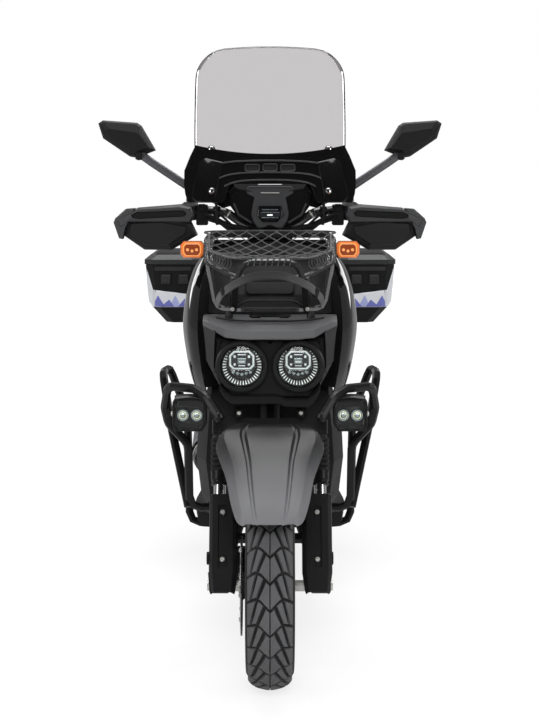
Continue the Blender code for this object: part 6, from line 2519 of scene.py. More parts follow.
    def strap(self) -> None:
        """Adds the wide webbing strap under the hoop, with its folded edges and two buckles."""
        half_route = (
            (0.1262, 0.2103, 0.8810),
            (0.124, 0.188, 0.895),
            (0.117, 0.168, 0.909),
            (0.096, 0.140, 0.930),
            (0.060, 0.116, 0.951),
            (0.024, 0.104, 0.961),
        )
        points = [at(-x, d, z) for x, d, z in half_route] + [
            at(x, d, z)
            for x, d, z in reversed(half_route)
        ]
        smooth = curve_through(points, 6)
        rows = []
        for index, point in enumerate(smooth):
            share = index / (len(smooth) - 1)
            ahead = (smooth[min(index + 1, len(smooth) - 1)] - smooth[max(index - 1, 0)]).normalized()
            flat = FORWARD * 0.86 + UP * 0.5
            across = ahead.cross(flat).normalized()
            wide = 0.0100
            wave = 0.0006 * math.sin(share * 37.0)
            face = across.cross(ahead).normalized()
            if face.y > 0:
                face = -face
            row = []
            for v, lift in (
                (-1.0, 0.0),
                (-0.9, 0.0004),
                (-0.6, 0.0002),
                (0.0, 0.0),
                (0.6, 0.0002),
                (0.9, 0.0004),
                (1.0, 0.0),
            ):
                row.append(point + across * (wide * v) + face * (lift + wave))
            rows.append(row)
        webbing = Shape("strap_webbing").sheet(rows)
        webbing.piece(
            WEBBING,
            "chassis",
            replaces=["luggage_strap"],
            wall=0.0022,
            offset=0.0,
            bevel=0.0003,
            sharp=60.0,
        )
        buckles = Shape("strap_buckles")
        for side in SIDES:
            a, b = at(side * 0.117, 0.168, 0.909), at(side * 0.096, 0.140, 0.930)
            place = a.lerp(b, 0.35)
            run = (b - a).normalized()
            turn = run.to_track_quat("X", "Z").to_matrix()
            buckles.box(place + Vector((0.0, -0.0015, 0.0012)), (0.0160, 0.0060, 0.0245), turn)
            buckles.box(place + Vector((0.0, -0.0040, 0.0020)), (0.0050, 0.0050, 0.0215), turn)
        buckles.piece(MOULDED, "chassis", bevel=0.0012)


@dataclass
class CrashBars:
    """The bent tubes on each side with their ball ends, driving lamps and turn signals."""

    def build(self) -> None:
        """Dresses the tubes and builds what they carry."""
        dress(["crash_bar_left", "crash_bar_right"], POWDER_COAT)
        for side in SIDES:
            DrivingLamp(side).build()
            FrontSignal(side).build()


@dataclass
class DrivingLamp:
    """One square lamp with two warm bulbs behind ribs, and a cap above."""

    side: int
    middle: tuple[float, float, float] = (0.190, 0.122, 0.630)
    bulb_away: float = 0.0162

    def ring(self, behind: float, scale: float, lift: float = 0.0) -> list[Vector]:
        """The lamp's outline at a distance behind its front."""
        shape = (
            (-0.040, -0.022),
            (-0.028, -0.040),
            (0.036, -0.040),
            (0.041, -0.028),
            (0.041, 0.030),
            (0.036, 0.038),
            (-0.036, 0.038),
            (-0.040, 0.028),
        )
        x, d, z = self.middle
        return [at(self.side * (x + a * scale), d + behind, z + b * scale + lift) for a, b in shape]

    def build(self) -> None:
        """Makes the housing, the reflector bowls, bulbs, ribs and cap."""
        label = side_name(self.side)
        housing = Shape(f"driving_lamp_{label}")
        rings = [
            self.ring(0.050, 0.80),
            self.ring(0.048, 0.84),
            self.ring(0.035, 1.0),
            self.ring(0.004, 1.0),
            self.ring(0.0, 0.985),
            self.ring(0.0, 0.86),
            self.ring(0.010, 0.80),
        ]
        housing.loft(rings)
        housing.piece(MOULDED, "chassis", replaces=[f"aux_light_{label}"], bevel=0.0012, sharp=22.0)
        x, d, z = self.middle
        bowls = Shape(f"driving_lamp_bowls_{label}")
        bulbs = Shape(f"driving_lamp_bulbs_{label}")
        rims = Shape(f"driving_lamp_rims_{label}")
        cores = Shape(f"driving_lamp_cores_{label}")
        for share in (-1, 1):
            place = at(self.side * x + share * self.bulb_away, d, z - 0.001)
            bowls.lathe(
                place,
                BACK,
                ((0.0022, 0.0150), (0.0040, 0.0145), (0.0085, 0.0100), (0.0100, 0.0)),
                36,
            )
            bulbs.lathe(
                place,
                BACK,
                (
                    (0.0095, 0.0),
                    (0.0095, 0.0132),
                    (0.0065, 0.0134),
                    (0.0040, 0.0124),
                    (0.0020, 0.0088),
                    (0.0014, 0.0035),
                    (0.0012, 0.0),
                ),
                36,
            )
            rim = (
                (0.0095, 0.0153),
                (0.0006, 0.0153),
                (-0.0004, 0.0145),
                (0.0004, 0.0137),
                (0.0040, 0.0135),
                (0.0095, 0.0140),
            )
            rims.eyelet(place, rim, 40)
            cores.lathe(
                place,
                FORWARD,
                ((-0.0030, 0.0070), (-0.0010, 0.0070), (0.0, 0.0058), (0.0004, 0.0030), (0.0, 0.0)),
                28,
            )
        cores.piece(LAMP_CHROME, "chassis", sharp=60.0)
        bowls.piece(LAMP_CHROME, "chassis", sharp=60.0)
        bulbs.piece(LED_CREAM, "chassis", sharp=60.0)
        rims.piece(GLOSS_BLACK, "chassis", sharp=50.0)
        ribs = Shape(f"driving_lamp_ribs_{label}")
        for step in range(5):
            place = at(self.side * x, d + 0.006, z + 0.0215 + step * 0.0019 - 0.0004)
            ribs.box(place, (0.0560, 0.0050, 0.0009))
        for step in range(5):
            place = at(self.side * x, d + 0.006, z - 0.0225 - step * 0.0019)
            ribs.box(place, (0.0560, 0.0050, 0.0009))
        ribs.piece(GLOSS_BLACK, "chassis")
        glass = Shape(f"driving_lamp_glass_{label}")
        rings = [
            self.ring(0.0005, 0.865),
            self.ring(-0.0010, 0.850),
            self.ring(-0.0016, 0.60),
            self.ring(-0.0018, 0.2),
        ]
        glass.loft(rings)
        glass.piece(CLEAR_LENS, "chassis", sharp=50.0)
        cap = Shape(f"driving_lamp_cap_{label}")
        rows = []
        for behind, half, high in (
            (-0.0030, 0.0300, 0.0405),
            (0.004, 0.0355, 0.0440),
            (0.020, 0.0350, 0.0455),
            (0.032, 0.0300, 0.0430),
        ):
            rows.append(
                [
                    at(self.side * x + u * half, d + behind, z + high - 0.0040 * u * u)
                    for u in (-1, -0.6, 0, 0.6, 1)
                ],
            )
        cap.sheet(refined(rows, 3, 2))
        cap.piece(MOULDED_GREY, "chassis", wall=0.0028, offset=1.0, bevel=0.0006)
        bolt = Shape(f"driving_lamp_bolt_{label}")
        bolt.bolt(at(self.side * (x + 0.0408), d + 0.020, z), ACROSS * self.side, 0.0060, 0.0045)
        bolt.piece(ZINC, "chassis")


@dataclass
class FrontSignal:
    """One amber turn signal with an inner frame, three pips and a rubber stalk."""

    side: int
    middle: tuple[float, float, float] = (0.190, 0.285, 1.013)

    def ring(self, behind: float, scale: float) -> list[Vector]:
        """The signal's outline at a distance behind its front."""
        shape = (
            (-0.030, -0.010),
            (-0.022, -0.021),
            (0.022, -0.021),
            (0.030, -0.010),
            (0.030, 0.012),
            (0.022, 0.021),
            (-0.022, 0.021),
            (-0.030, 0.012),
        )
        x, d, z = self.middle
        return [at(self.side * x + a * scale, d + behind, z + b * scale) for a, b in shape]

    def build(self) -> None:
        """Makes the lens, back, frame, pips, reflector and stalk."""
        label = side_name(self.side)
        x, d, z = self.middle
        lens = Shape(f"signal_lens_{label}")
        rings = [
            self.ring(0.022, 0.94),
            self.ring(0.006, 0.96),
            self.ring(0.001, 0.90),
            self.ring(-0.0005, 0.76),
            self.ring(-0.001, 0.4),
        ]
        lens.loft(rings)
        lens.piece(AMBER_LENS, "chassis", replaces=[f"front_signal_{label}"], bevel=0.0008, sharp=25.0)
        back = Shape(f"signal_back_{label}")
        back.loft(
            [
                self.ring(0.035, 0.55),
                self.ring(0.031, 0.80),
                self.ring(0.024, 1.0),
                self.ring(0.0180, 1.0),
                self.ring(0.0180, 0.95),
            ],
        )
        back.piece(MOULDED, "chassis", bevel=0.001, sharp=25.0)
        frame_ring = Shape(f"signal_frame_{label}")
        inner = [
            self.ring(-0.0012, 0.74),
            self.ring(-0.0022, 0.72),
            self.ring(-0.0022, 0.66),
            self.ring(-0.0012, 0.64),
        ]
        loops = [[ring[k] for ring in inner] for k in range(8)]
        frame_ring.loft(loops, closed=True)
        frame_ring.piece(AMBER_GLOW, "chassis")
        pips = Shape(f"signal_pips_{label}")
        for a, b in ((-0.011, 0.000), (0.011, 0.000), (0.000, -0.003)):
            pips.lathe(
                at(self.side * x + a, d - 0.0004, z + b),
                FORWARD,
                ((0.0, 0.0040), (0.0018, 0.0034), (0.0024, 0.0)),
                20,
            )
        pips.piece(AMBER_GLOW, "chassis")
        depth = Shape(f"signal_reflector_{label}")
        depth.loft([self.ring(-0.0008, 0.62), self.ring(-0.0013, 0.60), self.ring(-0.0015, 0.50)])
        depth.piece(AMBER_DEEP, "chassis")
        stalk = Shape(f"signal_stalk_{label}")
        route = rounded(
            [
                at(self.side * x, d + 0.030, z - 0.004),
                at(self.side * 0.168, 0.340, 1.000),
                at(self.side * 0.152, 0.362, 0.998),
            ],
            0.02,
        )
        stalk.tube(route, 0.0080, 20)
        for point, ahead in zip(route[::3], route[1::3]):
            axis = (ahead - point).normalized()
            stalk.lathe(
                point - axis * 0.0010,
                axis,
                ((0.0, 0.0080), (0.0006, 0.0092), (0.0026, 0.0092), (0.0032, 0.0080)),
                20,
            )
        stalk.piece(SOFT_RUBBER, "chassis", sharp=50.0)


# Handlebar, mirrors, cowl and screen

BAR_BEHIND = axis_behind(1.066)
BAR_TIP = at(0.357, BAR_BEHIND + 0.056, 1.088)
BAR_BEND = at(0.170, BAR_BEHIND + 0.014, 1.106)


def mirrored(point: Vector, side: int) -> Vector:
    """The point on its own side of the scooter."""
    return Vector((point.x * side, point.y, point.z))


@dataclass
class Controls:
    """Grip, switch housing and lever at one end of the bar."""

    side: int

    @property
    def label(self) -> str:
        """The suffix of the pieces' names."""
        return side_name(self.side)

    def along(self, reach: float, ahead: float = 0.0, up: float = 0.0) -> Vector:
        """A point at a distance along the bar's end, ahead of it and above it."""
        run = (BAR_TIP - BAR_BEND).normalized()
        place = BAR_BEND + run * reach + FORWARD * ahead + UP * up
        return mirrored(place, self.side)

    def build(self) -> None:
        """Makes the grip, the housings, the lever and the cable."""
        run = (self.along(0.1) - self.along(0.0)).normalized()
        span = (BAR_TIP - BAR_BEND).length
        grip = Shape(f"grip_{self.label}")
        profile: list[tuple[float, float]] = [
            (0.046, 0.0118),
            (0.046, 0.0208),
            (0.048, 0.0216),
            (0.051, 0.0216),
            (0.053, 0.0180),
        ]
        ring = 0.056
        while ring < span - 0.014:
            profile += [
                (ring, 0.0158),
                (ring + 0.0016, 0.0166),
                (ring + 0.0046, 0.0166),
                (ring + 0.0062, 0.0158),
            ]
            ring += 0.0074
        profile += [
            (span - 0.010, 0.0162),
            (span - 0.006, 0.0172),
            (span + 0.001, 0.0172),
            (span + 0.004, 0.0160),
            (span + 0.0040, 0.0118),
        ]
        grip.lathe(self.along(0.0), run, profile, 32)
        grip.piece(SOFT_RUBBER, "steering", replaces=[f"control_{self.label}"], sharp=60.0)
        weight = Shape(f"bar_end_{self.label}")
        weight.lathe(
            self.along(span + 0.0045),
            run,
            ((0.0, 0.0100), (0.0, 0.0132), (0.0010, 0.0142), (0.0016, 0.0132), (0.0020, 0.0100)),
            28,
        )
        weight.piece(MOULDED, "steering")
        housing = Shape(f"switch_housing_{self.label}")
        turn = run.to_track_quat("X", "Z").to_matrix()
        rings = []
        for reach, wide, high in (
            (0.0145, 0.80, 0.80),
            (0.0165, 0.94, 0.94),
            (0.022, 1.0, 1.0),
            (0.042, 1.0, 1.0),
            (0.047, 0.92, 0.90),
            (0.0485, 0.80, 0.76),
        ):
            ring_points = []
            for y, z in (
                (-0.022, -0.012),
                (-0.012, -0.024),
                (0.014, -0.024),
                (0.027, -0.012),
                (0.028, 0.010),
                (0.018, 0.0245),
                (-0.012, 0.0245),
                (-0.024, 0.012),
            ):
                ring_points.append(
                    self.along(reach) + turn @ Vector(
                        (0.0, y * wide * (1 if turn.col[1].y > 0 else -1), z * high),
                    ),
                )
            rings.append(ring_points)
        housing.loft(rings)
        housing.piece(MOULDED, "steering", bevel=0.0010, sharp=24.0)
        buttons = Shape(f"switches_{self.label}")
        for reach, back, up, size in (
            (0.026, 0.0265, 0.008, 0.010),
            (0.038, 0.0265, 0.009, 0.009),
            (0.031, 0.0265, -0.008, 0.013),
        ):
            buttons.box(self.along(reach, -back, up), (size, 0.0060, size * 0.75), turn)
        buttons.piece(SOFT_RUBBER, "steering", bevel=0.0014)
        self.lever(span)

    def lever(self, span: float) -> None:
        """Adds the lever with its perch, the master cylinder's cap and the hose."""
        lever = Shape(f"lever_{self.label}")
        route = rounded(
            [
                self.along(0.032, 0.022),
                self.along(0.045, 0.044),
                self.along(0.100, 0.0455),
                self.along(span - 0.022, 0.034),
                self.along(span - 0.012, 0.0355),
            ],
            0.02,
        )
        lever.sweep(
            route,
            lambda share: [
                (math.cos(a) * (0.0060 if share < 0.9 else 0.0064), math.sin(a) * (0.0042 + 0.0014 * share))
                for a in (k * math.tau / 14 for k in range(14))
            ],
            UP,
        )
        lever.lathe(
            self.along(span - 0.012, 0.0355),
            (route[-1] - route[-2]).normalized(),
            ((0.0, 0.0060), (0.003, 0.0068), (0.006, 0.0050), (0.0072, 0.0)),
            20,
        )
        lever.piece(ZINC, "steering")
        perch = Shape(f"lever_perch_{self.label}")
        perch.box(
            self.along(0.0300, 0.0185, 0.001),
            (0.026, 0.022, 0.024),
            (self.along(0.1) - self.along(0.0)).normalized().to_track_quat("X", "Z").to_matrix(),
        )
        perch.lathe(
            self.along(0.036, 0.0320, -0.0105),
            UP,
            ((0.0, 0.0070), (0.001, 0.0080), (0.020, 0.0080), (0.021, 0.0070)),
            20,
        )
        perch.piece(CAST_DARK, "steering", bevel=0.0016)
        hose = Shape(f"bar_hose_{self.label}")
        route = curve_through(
            [
                self.along(0.020, 0.024, -0.004),
                mirrored(at(0.140, BAR_BEHIND - 0.014, 1.104), self.side),
                mirrored(at(0.085, BAR_BEHIND - 0.006, 1.060), self.side),
                mirrored(at(0.040, BAR_BEHIND + 0.016, 1.038), self.side),
            ],
            10,
        )
        hose.tube(route, 0.0032, 10)
        hose.piece(SOFT_RUBBER, "steering")


@dataclass
class HandGuard:
    """The two-part guard: an upper vane with a sunk slot over a blade with a raised facet."""

    side: int
    front: float = BAR_BEHIND - 0.074

    @property
    def label(self) -> str:
        """The suffix of the pieces' names."""
        return side_name(self.side)

    def place(self, x: float, back: float, z: float) -> Vector:
        """A point of the guard by its distance across, behind its face and its height."""
        return at(self.side * x, self.front + back + 0.35 * max(0.0, x - 0.250), z)

    def ring(
        self,
        outline: Sequence[tuple[float, float]],
        middle: tuple[float, float],
        grow_x: float,
        grow_z: float,
        back: float,
    ) -> list[Vector]:
        """The outline, scaled about its middle, at a distance behind the face."""
        mx, mz = middle
        return [self.place(mx + (x - mx) * grow_x, back, mz + (z - mz) * grow_z) for x, z in outline]

    def build(self) -> None:
        """Makes the blade, the vane, the slot and the post at the bar's end."""
        lower = (
            (0.190, 1.066),
            (0.180, 1.045),
            (0.246, 1.008),
            (0.314, 1.008),
            (0.372, 1.046),
            (0.366, 1.086),
            (0.200, 1.086),
        )
        middle = (0.275, 1.052)
        blade = Shape(f"hand_blade_{self.label}")
        rings = [
            self.ring(lower, middle, 1.0, 1.0, 0.050),
            self.ring(lower, middle, 1.0, 1.0, 0.014),
            self.ring(lower, middle, 0.97, 0.94, 0.006),
            self.ring(lower, middle, 0.90, 0.76, 0.001),
        ]
        raised = (
            (0.206, 1.068),
            (0.208, 1.050),
            (0.250, 1.021),
            (0.311, 1.021),
            (0.353, 1.050),
            (0.348, 1.074),
            (0.270, 1.078),
        )
        rings.append([self.place(x, -0.001, z) for x, z in raised])
        rings.append(
            [
                self.place(0.279 + (x - 0.279) * 0.97, -0.0045, 1.050 + (z - 1.050) * 0.93)
                for x, z in raised
            ],
        )
        blade.loft(rings)
        blade.piece(MOULDED, "steering", replaces=[f"hand_guard_{self.label}"], bevel=0.0011, sharp=16.0)
        self.vane()
        self.end()
        self.post()

    def end(self) -> None:
        """Adds the band that wraps the guard's outer end."""
        line = (
            (0.336, 1.112),
            (0.360, 1.110),
            (0.388, 1.086),
            (0.392, 1.076),
            (0.378, 1.036),
            (0.368, 1.034),
            (0.362, 1.060),
            (0.350, 1.084),
        )
        band = Shape(f"hand_guard_end_{self.label}")
        band.loft(
            [
                self.ring(line, (0.366, 1.074), grow, grow, back)
                for grow, back in ((0.96, 0.034), (1.0, 0.028), (1.0, -0.004), (0.94, -0.0105))
            ],
        )
        band.piece(MOULDED_GREY, "steering", bevel=0.0012, sharp=16.0)

    def vane(self) -> None:
        """Adds the vane over the blade, with its long sunk slot."""
        upper = (
            (0.196, 1.076),
            (0.188, 1.092),
            (0.196, 1.116),
            (0.222, 1.122),
            (0.330, 1.113),
            (0.384, 1.080),
            (0.376, 1.058),
            (0.366, 1.076),
        )
        middle = (0.285, 1.092)
        vane = Shape(f"hand_vane_{self.label}")
        slot = (
            (0.212, 1.0920),
            (0.206, 1.0970),
            (0.208, 1.1035),
            (0.216, 1.1075),
            (0.334, 1.1015),
            (0.346, 1.0950),
            (0.342, 1.0865),
            (0.330, 1.0845),
        )
        rings = [
            self.ring(upper, middle, 1.0, 1.0, 0.032),
            self.ring(upper, middle, 1.0, 1.0, 0.000),
            self.ring(upper, middle, 0.985, 0.93, -0.008),
            self.ring(upper, middle, 0.955, 0.76, -0.0125),
            [self.place(x, -0.0130, z) for x, z in slot],
            [self.place(x, -0.0050, z) for x, z in slot],
        ]
        vane.loft(rings)
        vane.piece(MOULDED_GREY, "steering", bevel=0.0009, sharp=16.0)
        lip = Shape(f"hand_vane_slot_{self.label}")
        inner = [(0.275 + (x - 0.275) * 0.97, 1.0962 + (z - 1.0962) * 0.84) for x, z in slot]
        lip.loft(
            [[self.place(x, -0.0040, z) for x, z in inner], [self.place(x, -0.0072, z) for x, z in inner]],
        )
        lip.piece(GLOSS_BLACK, "steering", bevel=0.0006)

    def post(self) -> None:
        """Adds the arm that ties the guard to the bar's end."""
        run = (BAR_TIP - BAR_BEND).normalized()
        end = BAR_TIP
        post = Shape(f"hand_guard_post_{self.label}")
        profile = (
            (0.0063, 0.0085),
            (0.0063, 0.0100),
            (0.0240, 0.0104),
            (0.0262, 0.0092),
            (0.0268, 0.0062),
            (0.0230, 0.0050),
            (0.0230, 0.0),
        )
        post.lathe(
            mirrored(end, self.side),
            (mirrored(end + run, self.side) - mirrored(end, self.side)).normalized(),
            profile,
            28,
        )
        route = [
            mirrored(end + run * 0.019, self.side),
            mirrored(end + run * 0.018 + Vector((0.0, -0.050, 0.004)), self.side),
            mirrored(at(0.350, self.front + 0.045, 1.0937), self.side),
        ]
        post.sweep(
            rounded(route, 0.02),
            lambda share: [
                (-0.0065, -0.0055),
                (0.0065, -0.0055),
                (0.0075, 0.0),
                (0.0065, 0.0055),
                (-0.0065, 0.0055),
                (-0.0075, 0.0),
            ],
            UP,
        )
        post.piece(MOULDED, "steering", bevel=0.0008)


@dataclass
class Mirror:
    """One mirror with its stem, faceted shell and silvered glass."""

    side: int

    def build(self) -> None:
        """Makes the stem, the shell and the glass."""
        label = side_name(self.side)
        shape_line = (
            (0.290, 1.256),
            (0.326, 1.318),
            (0.338, 1.326),
            (0.424, 1.332),
            (0.436, 1.324),
            (0.424, 1.286),
            (0.356, 1.240),
            (0.338, 1.237),
        )
        middle = (0.364, 1.288)
        behind = 0.475

        def ring(back: float, grow: float, shift: tuple[float, float] = (0.0, 0.0)) -> list[Vector]:
            """The shell's outline at a distance behind its middle."""
            mx, mz = middle
            return [
                at(
                    self.side * (mx + (x - mx) * grow + shift[0]),
                    behind + back,
                    mz + (z - mz) * grow + shift[1],
                )
                for x, z in shape_line
            ]

        shell = Shape(f"mirror_shell_{label}")
        ridge = [
            (0.306, 1.262),
            (0.330, 1.296),
            (0.340, 1.300),
            (0.408, 1.310),
            (0.414, 1.306),
            (0.404, 1.288),
            (0.356, 1.262),
            (0.336, 1.256),
        ]
        crest = [at(self.side * x, behind - 0.0145, z) for x, z in ridge]
        shell.loft(
            [
                ring(0.0305, 0.955),
                ring(0.0305, 0.985),
                ring(0.022, 1.0),
                ring(0.004, 0.985),
                ring(-0.004, 0.90),
                crest,
            ],
        )
        shell.piece(MOULDED, "steering", replaces=[f"mirror_{label}"], bevel=0.0012, sharp=11.0)
        glass = Shape(f"mirror_glass_{label}")
        glass.loft([ring(0.0300, 0.93), ring(0.0312, 0.925)])
        glass.piece(MIRROR_GLASS, "steering")
        foot = Controls(self.side).along(0.032, 0.0, 0.0)
        stem = Shape(f"mirror_stem_{label}")
        route = rounded(
            [
                foot + UP * 0.0255,
                foot + UP * 0.058,
                mirrored(at(0.300, 0.471, 1.226), self.side),
                mirrored(at(0.334, 0.477, 1.250), self.side),
            ],
            0.022,
        )

        def flat(share: float) -> list[tuple[float, float]]:
            """The stem's section, round at its foot and flat above."""
            wide = 0.0070 + 0.0035 * min(1.0, share * 2.2)
            thick = 0.0068 - 0.0018 * min(1.0, share * 2.2)
            return [
                (math.cos(a) * wide, math.sin(a) * thick)
                for a in (k * math.tau / 16 for k in range(16))
            ]

        stem.sweep(route, flat, FORWARD)
        stem.lathe(
            foot + UP * 0.0242,
            UP,
            (
                (0.0, 0.0100),
                (0.001, 0.0110),
                (0.011, 0.0110),
                (0.0125, 0.0095),
                (0.020, 0.0090),
                (0.0215, 0.0072),
            ),
            24,
        )
        stem.piece(CAST_GREY, "steering", sharp=45.0)
        joint = Shape(f"mirror_joint_{label}")
        joint.lathe(
            mirrored(at(0.3250, 0.4760, 1.2435), self.side),
            (FORWARD * 0.2 + ACROSS * self.side).normalized(),
            ((0.0, 0.0090), (0.002, 0.0120), (0.010, 0.0128), (0.016, 0.0100)),
            24,
        )
        joint.piece(MOULDED, "steering")


@dataclass
class Cowl:
    """The faceted cowl on the bar with its hexagonal lamp and silver bar."""

    def outline(self) -> list[tuple[float, float]]:
        """The cowl's outline from the front."""
        right = (
            (0.040, 1.064),
            (0.078, 1.082),
            (0.104, 1.120),
            (0.106, 1.150),
            (0.088, 1.164),
            (0.052, 1.158),
            (0.034, 1.144),
        )
        return list(right) + [(-x, z) for x, z in reversed(right)]

    def build(self) -> None:
        """Makes the cowl, its edge strips, the lamp and what lies round the bar."""
        middle = 1.112
        line = self.outline()

        def ring(behind: float, grow: float, lift: float) -> list[Vector]:
            """The outline at a distance behind the front axle."""
            return [at(x * grow, behind, middle + (z - middle) * grow + lift) for x, z in line]

        body = Shape("cowl_shell")
        body.loft(
            [
                ring(0.500, 0.86, 0.030),
                ring(0.470, 0.96, 0.020),
                ring(0.400, 1.0, 0.004),
                ring(0.382, 0.975, 0.001),
                ring(0.375, 0.90, 0.0),
                ring(0.377, 0.86, 0.0),
            ],
        )
        body.piece(SHADE_BLACK, "steering", replaces=["cowl"], bevel=0.0012, sharp=14.0)
        cheeks = Shape("cowl_cheeks")
        line = ((0.090, 1.176), (0.152, 1.176), (0.152, 1.128), (0.116, 1.112), (0.092, 1.118))
        cheeks.loft([[at(x, behind, z) for x, z in line] for behind in (0.4040, 0.4080)])
        cheeks.mirror()
        cheeks.piece(SHADE_BLACK, "steering", bevel=0.001)
        self.trim()
        self.lamp()
        self.fittings()
        self.bar()

    def trim(self) -> None:
        """Adds the satin strips along the cowl's folds and the small bar on top."""
        strips = Shape("cowl_strips")
        for side in SIDES:
            a, b, c = at(
                side * 0.046,
                0.3745,
                1.076,
            ), at(side * 0.078, 0.3755, 1.096), at(side * 0.090, 0.3765, 1.124)
            for start, end in ((a, b), (b, c)):
                along = (end - start).normalized()
                out = along.cross(FORWARD).normalized()
                strips.loft(
                    [
                        [
                            start - out * 0.0028,
                            start + out * 0.0028,
                            end + out * 0.0028,
                            end - out * 0.0028,
                        ],
                        [
                            point + FORWARD * 0.0020
                            for point in (
                                start - out * 0.0016,
                                start + out * 0.0016,
                                end + out * 0.0016,
                                end - out * 0.0016,
                            )
                        ],
                    ],
                )
        strips.piece(MOULDED_GREY, "steering")
        catch = Shape("cowl_catch")
        catch.box(at(0.0, 0.3765, 1.1500), (0.046, 0.006, 0.0022))
        catch.piece(ZINC, "steering", bevel=0.0012)
        mask = Shape("cowl_mask")
        line = (
            (0.030, 1.062),
            (0.042, 1.078),
            (0.047, 1.096),
            (0.044, 1.118),
            (0.039, 1.139),
            (0.057, 1.149),
            (0.061, 1.158),
            (0.052, 1.166),
        )
        line = line + tuple((-x, z) for x, z in reversed(line))
        stack = ((0.384, 1.0), (0.3712, 0.99), (0.3690, 0.93))
        mask.loft(
            [
                [
                    at(x * grow, behind + max(0.0, z - 1.142) * 0.5, 1.110 + (z - 1.110) * grow)
                    for x, z in line
                ]
                for behind, grow in stack
            ],
        )
        mask.piece(MOULDED_GREY, "steering", bevel=0.0008, sharp=20.0)

    def lamp(self) -> None:
        """Adds the hexagonal bezel with the small lamp in it."""
        shape_line = (
            (-0.018, 1.078),
            (0.018, 1.078),
            (0.034, 1.096),
            (0.028, 1.118),
            (-0.028, 1.118),
            (-0.034, 1.096),
        )

        def ring(behind: float, grow: float) -> list[Vector]:
            """The lamp's outline at a distance behind the front axle."""
            return [at(x * grow, behind, 1.099 + (z - 1.099) * grow) for x, z in shape_line]

        bezel = Shape("cowl_lamp_bezel")
        stack = (
            ring(0.374, 1.02),
            ring(0.364, 1.0),
            ring(0.3625, 0.95),
            ring(0.3640, 0.86),
            ring(0.374, 0.80),
        )
        loops = [[one[k] for one in stack] for k in range(6)]
        bezel.loft(loops, closed=True)
        bezel.piece(GLOSS_BLACK, "steering", bevel=0.0008)
        lens = Shape("cowl_lamp_lens")
        lens.loft([ring(0.3735, 0.80), ring(0.3680, 0.84), ring(0.3665, 0.70), ring(0.3660, 0.30)])
        lens.piece(DARK_GLASS, "steering", replaces=["cowl_lamp"], bevel=0.0005)
        bars = Shape("cowl_lamp_bars")
        for z, half in ((1.1085, 0.020), (1.1020, 0.023), (1.0890, 0.021)):
            bars.box(at(0.0, 0.3652, z), (half * 2, 0.0020, 0.0020))
        bars.piece(LAMP_CHROME, "steering")
        bulb = Shape("cowl_lamp_bulb")
        bulb.box(at(0.0, 0.3650, 1.0952), (0.014, 0.0020, 0.0034))
        bulb.piece(LED_WHITE, "steering", bevel=0.0005)

    def fittings(self) -> None:
        """Adds the cover over the steering's head, the leads, the clamp blocks and the screen's stays."""
        cover = Shape("steering_cover")
        centre = on_fork(0.0, 0.0, (1.0395 - GROUND - STEER_FOOT.z) / STEER_UP.z)
        cover.lathe(
            centre,
            STEER_UP,
            ((-0.0035, 0.046), (0.0, 0.058), (0.010, 0.060), (0.026, 0.052), (0.030, 0.038)),
            40,
        )
        cover.piece(SHADE_BLACK, "steering", sharp=50.0)
        leads = Shape("bar_leads")
        for number, (start_z, dip, ahead) in enumerate(
            ((1.098, 1.050, 0.010), (1.094, 1.055, 0.004), (1.090, 1.060, 0.012), (1.100, 1.064, 0.002)),
        ):
            route = [
                at(0.176, BAR_BEHIND - 0.006, start_z), at(
                    0.140,
                    BAR_BEHIND - ahead - 0.004,
                    start_z - 0.012,
                ),
                at(0.100, BAR_BEHIND - ahead, dip + 0.006), at(0.060, BAR_BEHIND - ahead + 0.002, dip),
                at(0.030, BAR_BEHIND + 0.004, dip - 0.004), at(0.008, BAR_BEHIND + 0.010, dip - 0.006),
            ]
            leads.tube(curve_through(route, 28), 0.0034 if number % 2 else 0.0042, 12)
        leads.mirror()
        leads.piece(SOFT_RUBBER, "steering", sharp=60.0)
        blocks = Shape("bar_clamp_blocks")
        blocks.box(at(0.171, BAR_BEHIND + 0.006, 1.094), (0.030, 0.034, 0.052))
        blocks.box(at(0.171, BAR_BEHIND - 0.010, 1.112), (0.020, 0.016, 0.020))
        blocks.box(at(0.134, BAR_BEHIND + 0.010, 1.101), (0.018, 0.032, 0.030))
        blocks.mirror()
        blocks.piece(MOULDED, "steering", bevel=0.004)
        stays = Shape("screen_stays")
        stays.tube(
            rounded([at(0.134, 0.396, 1.150), at(0.134, 0.392, 1.100), at(0.132, 0.396, 1.070)], 0.010),
            0.0036,
            14,
        )
        stays.mirror()
        stays.piece(POWDER_COAT, "steering")

    def bar(self) -> None:
        """Adds the bright clamps on the bar and dresses it."""
        dress(["handlebar"], BAR_LACQUER)
        route = rounded(
            [
                at(0.060, BAR_BEHIND, 1.066),
                at(0.112, BAR_BEHIND + 0.004, 1.102),
                at(0.170, BAR_BEHIND + 0.014, 1.106),
            ],
            0.045,
        )
        sleeves = Shape("bar_sleeves")
        part = [point for point in route if 0.066 < point.x < 0.106]
        if len(part) < 2:
            part = [at(0.070, BAR_BEHIND + 0.0008, 1.073), at(0.104, BAR_BEHIND + 0.0034, 1.0965)]
        sleeves.tube(part, 0.0122, 28)
        sleeves.mirror()
        sleeves.piece(ZINC, "steering")


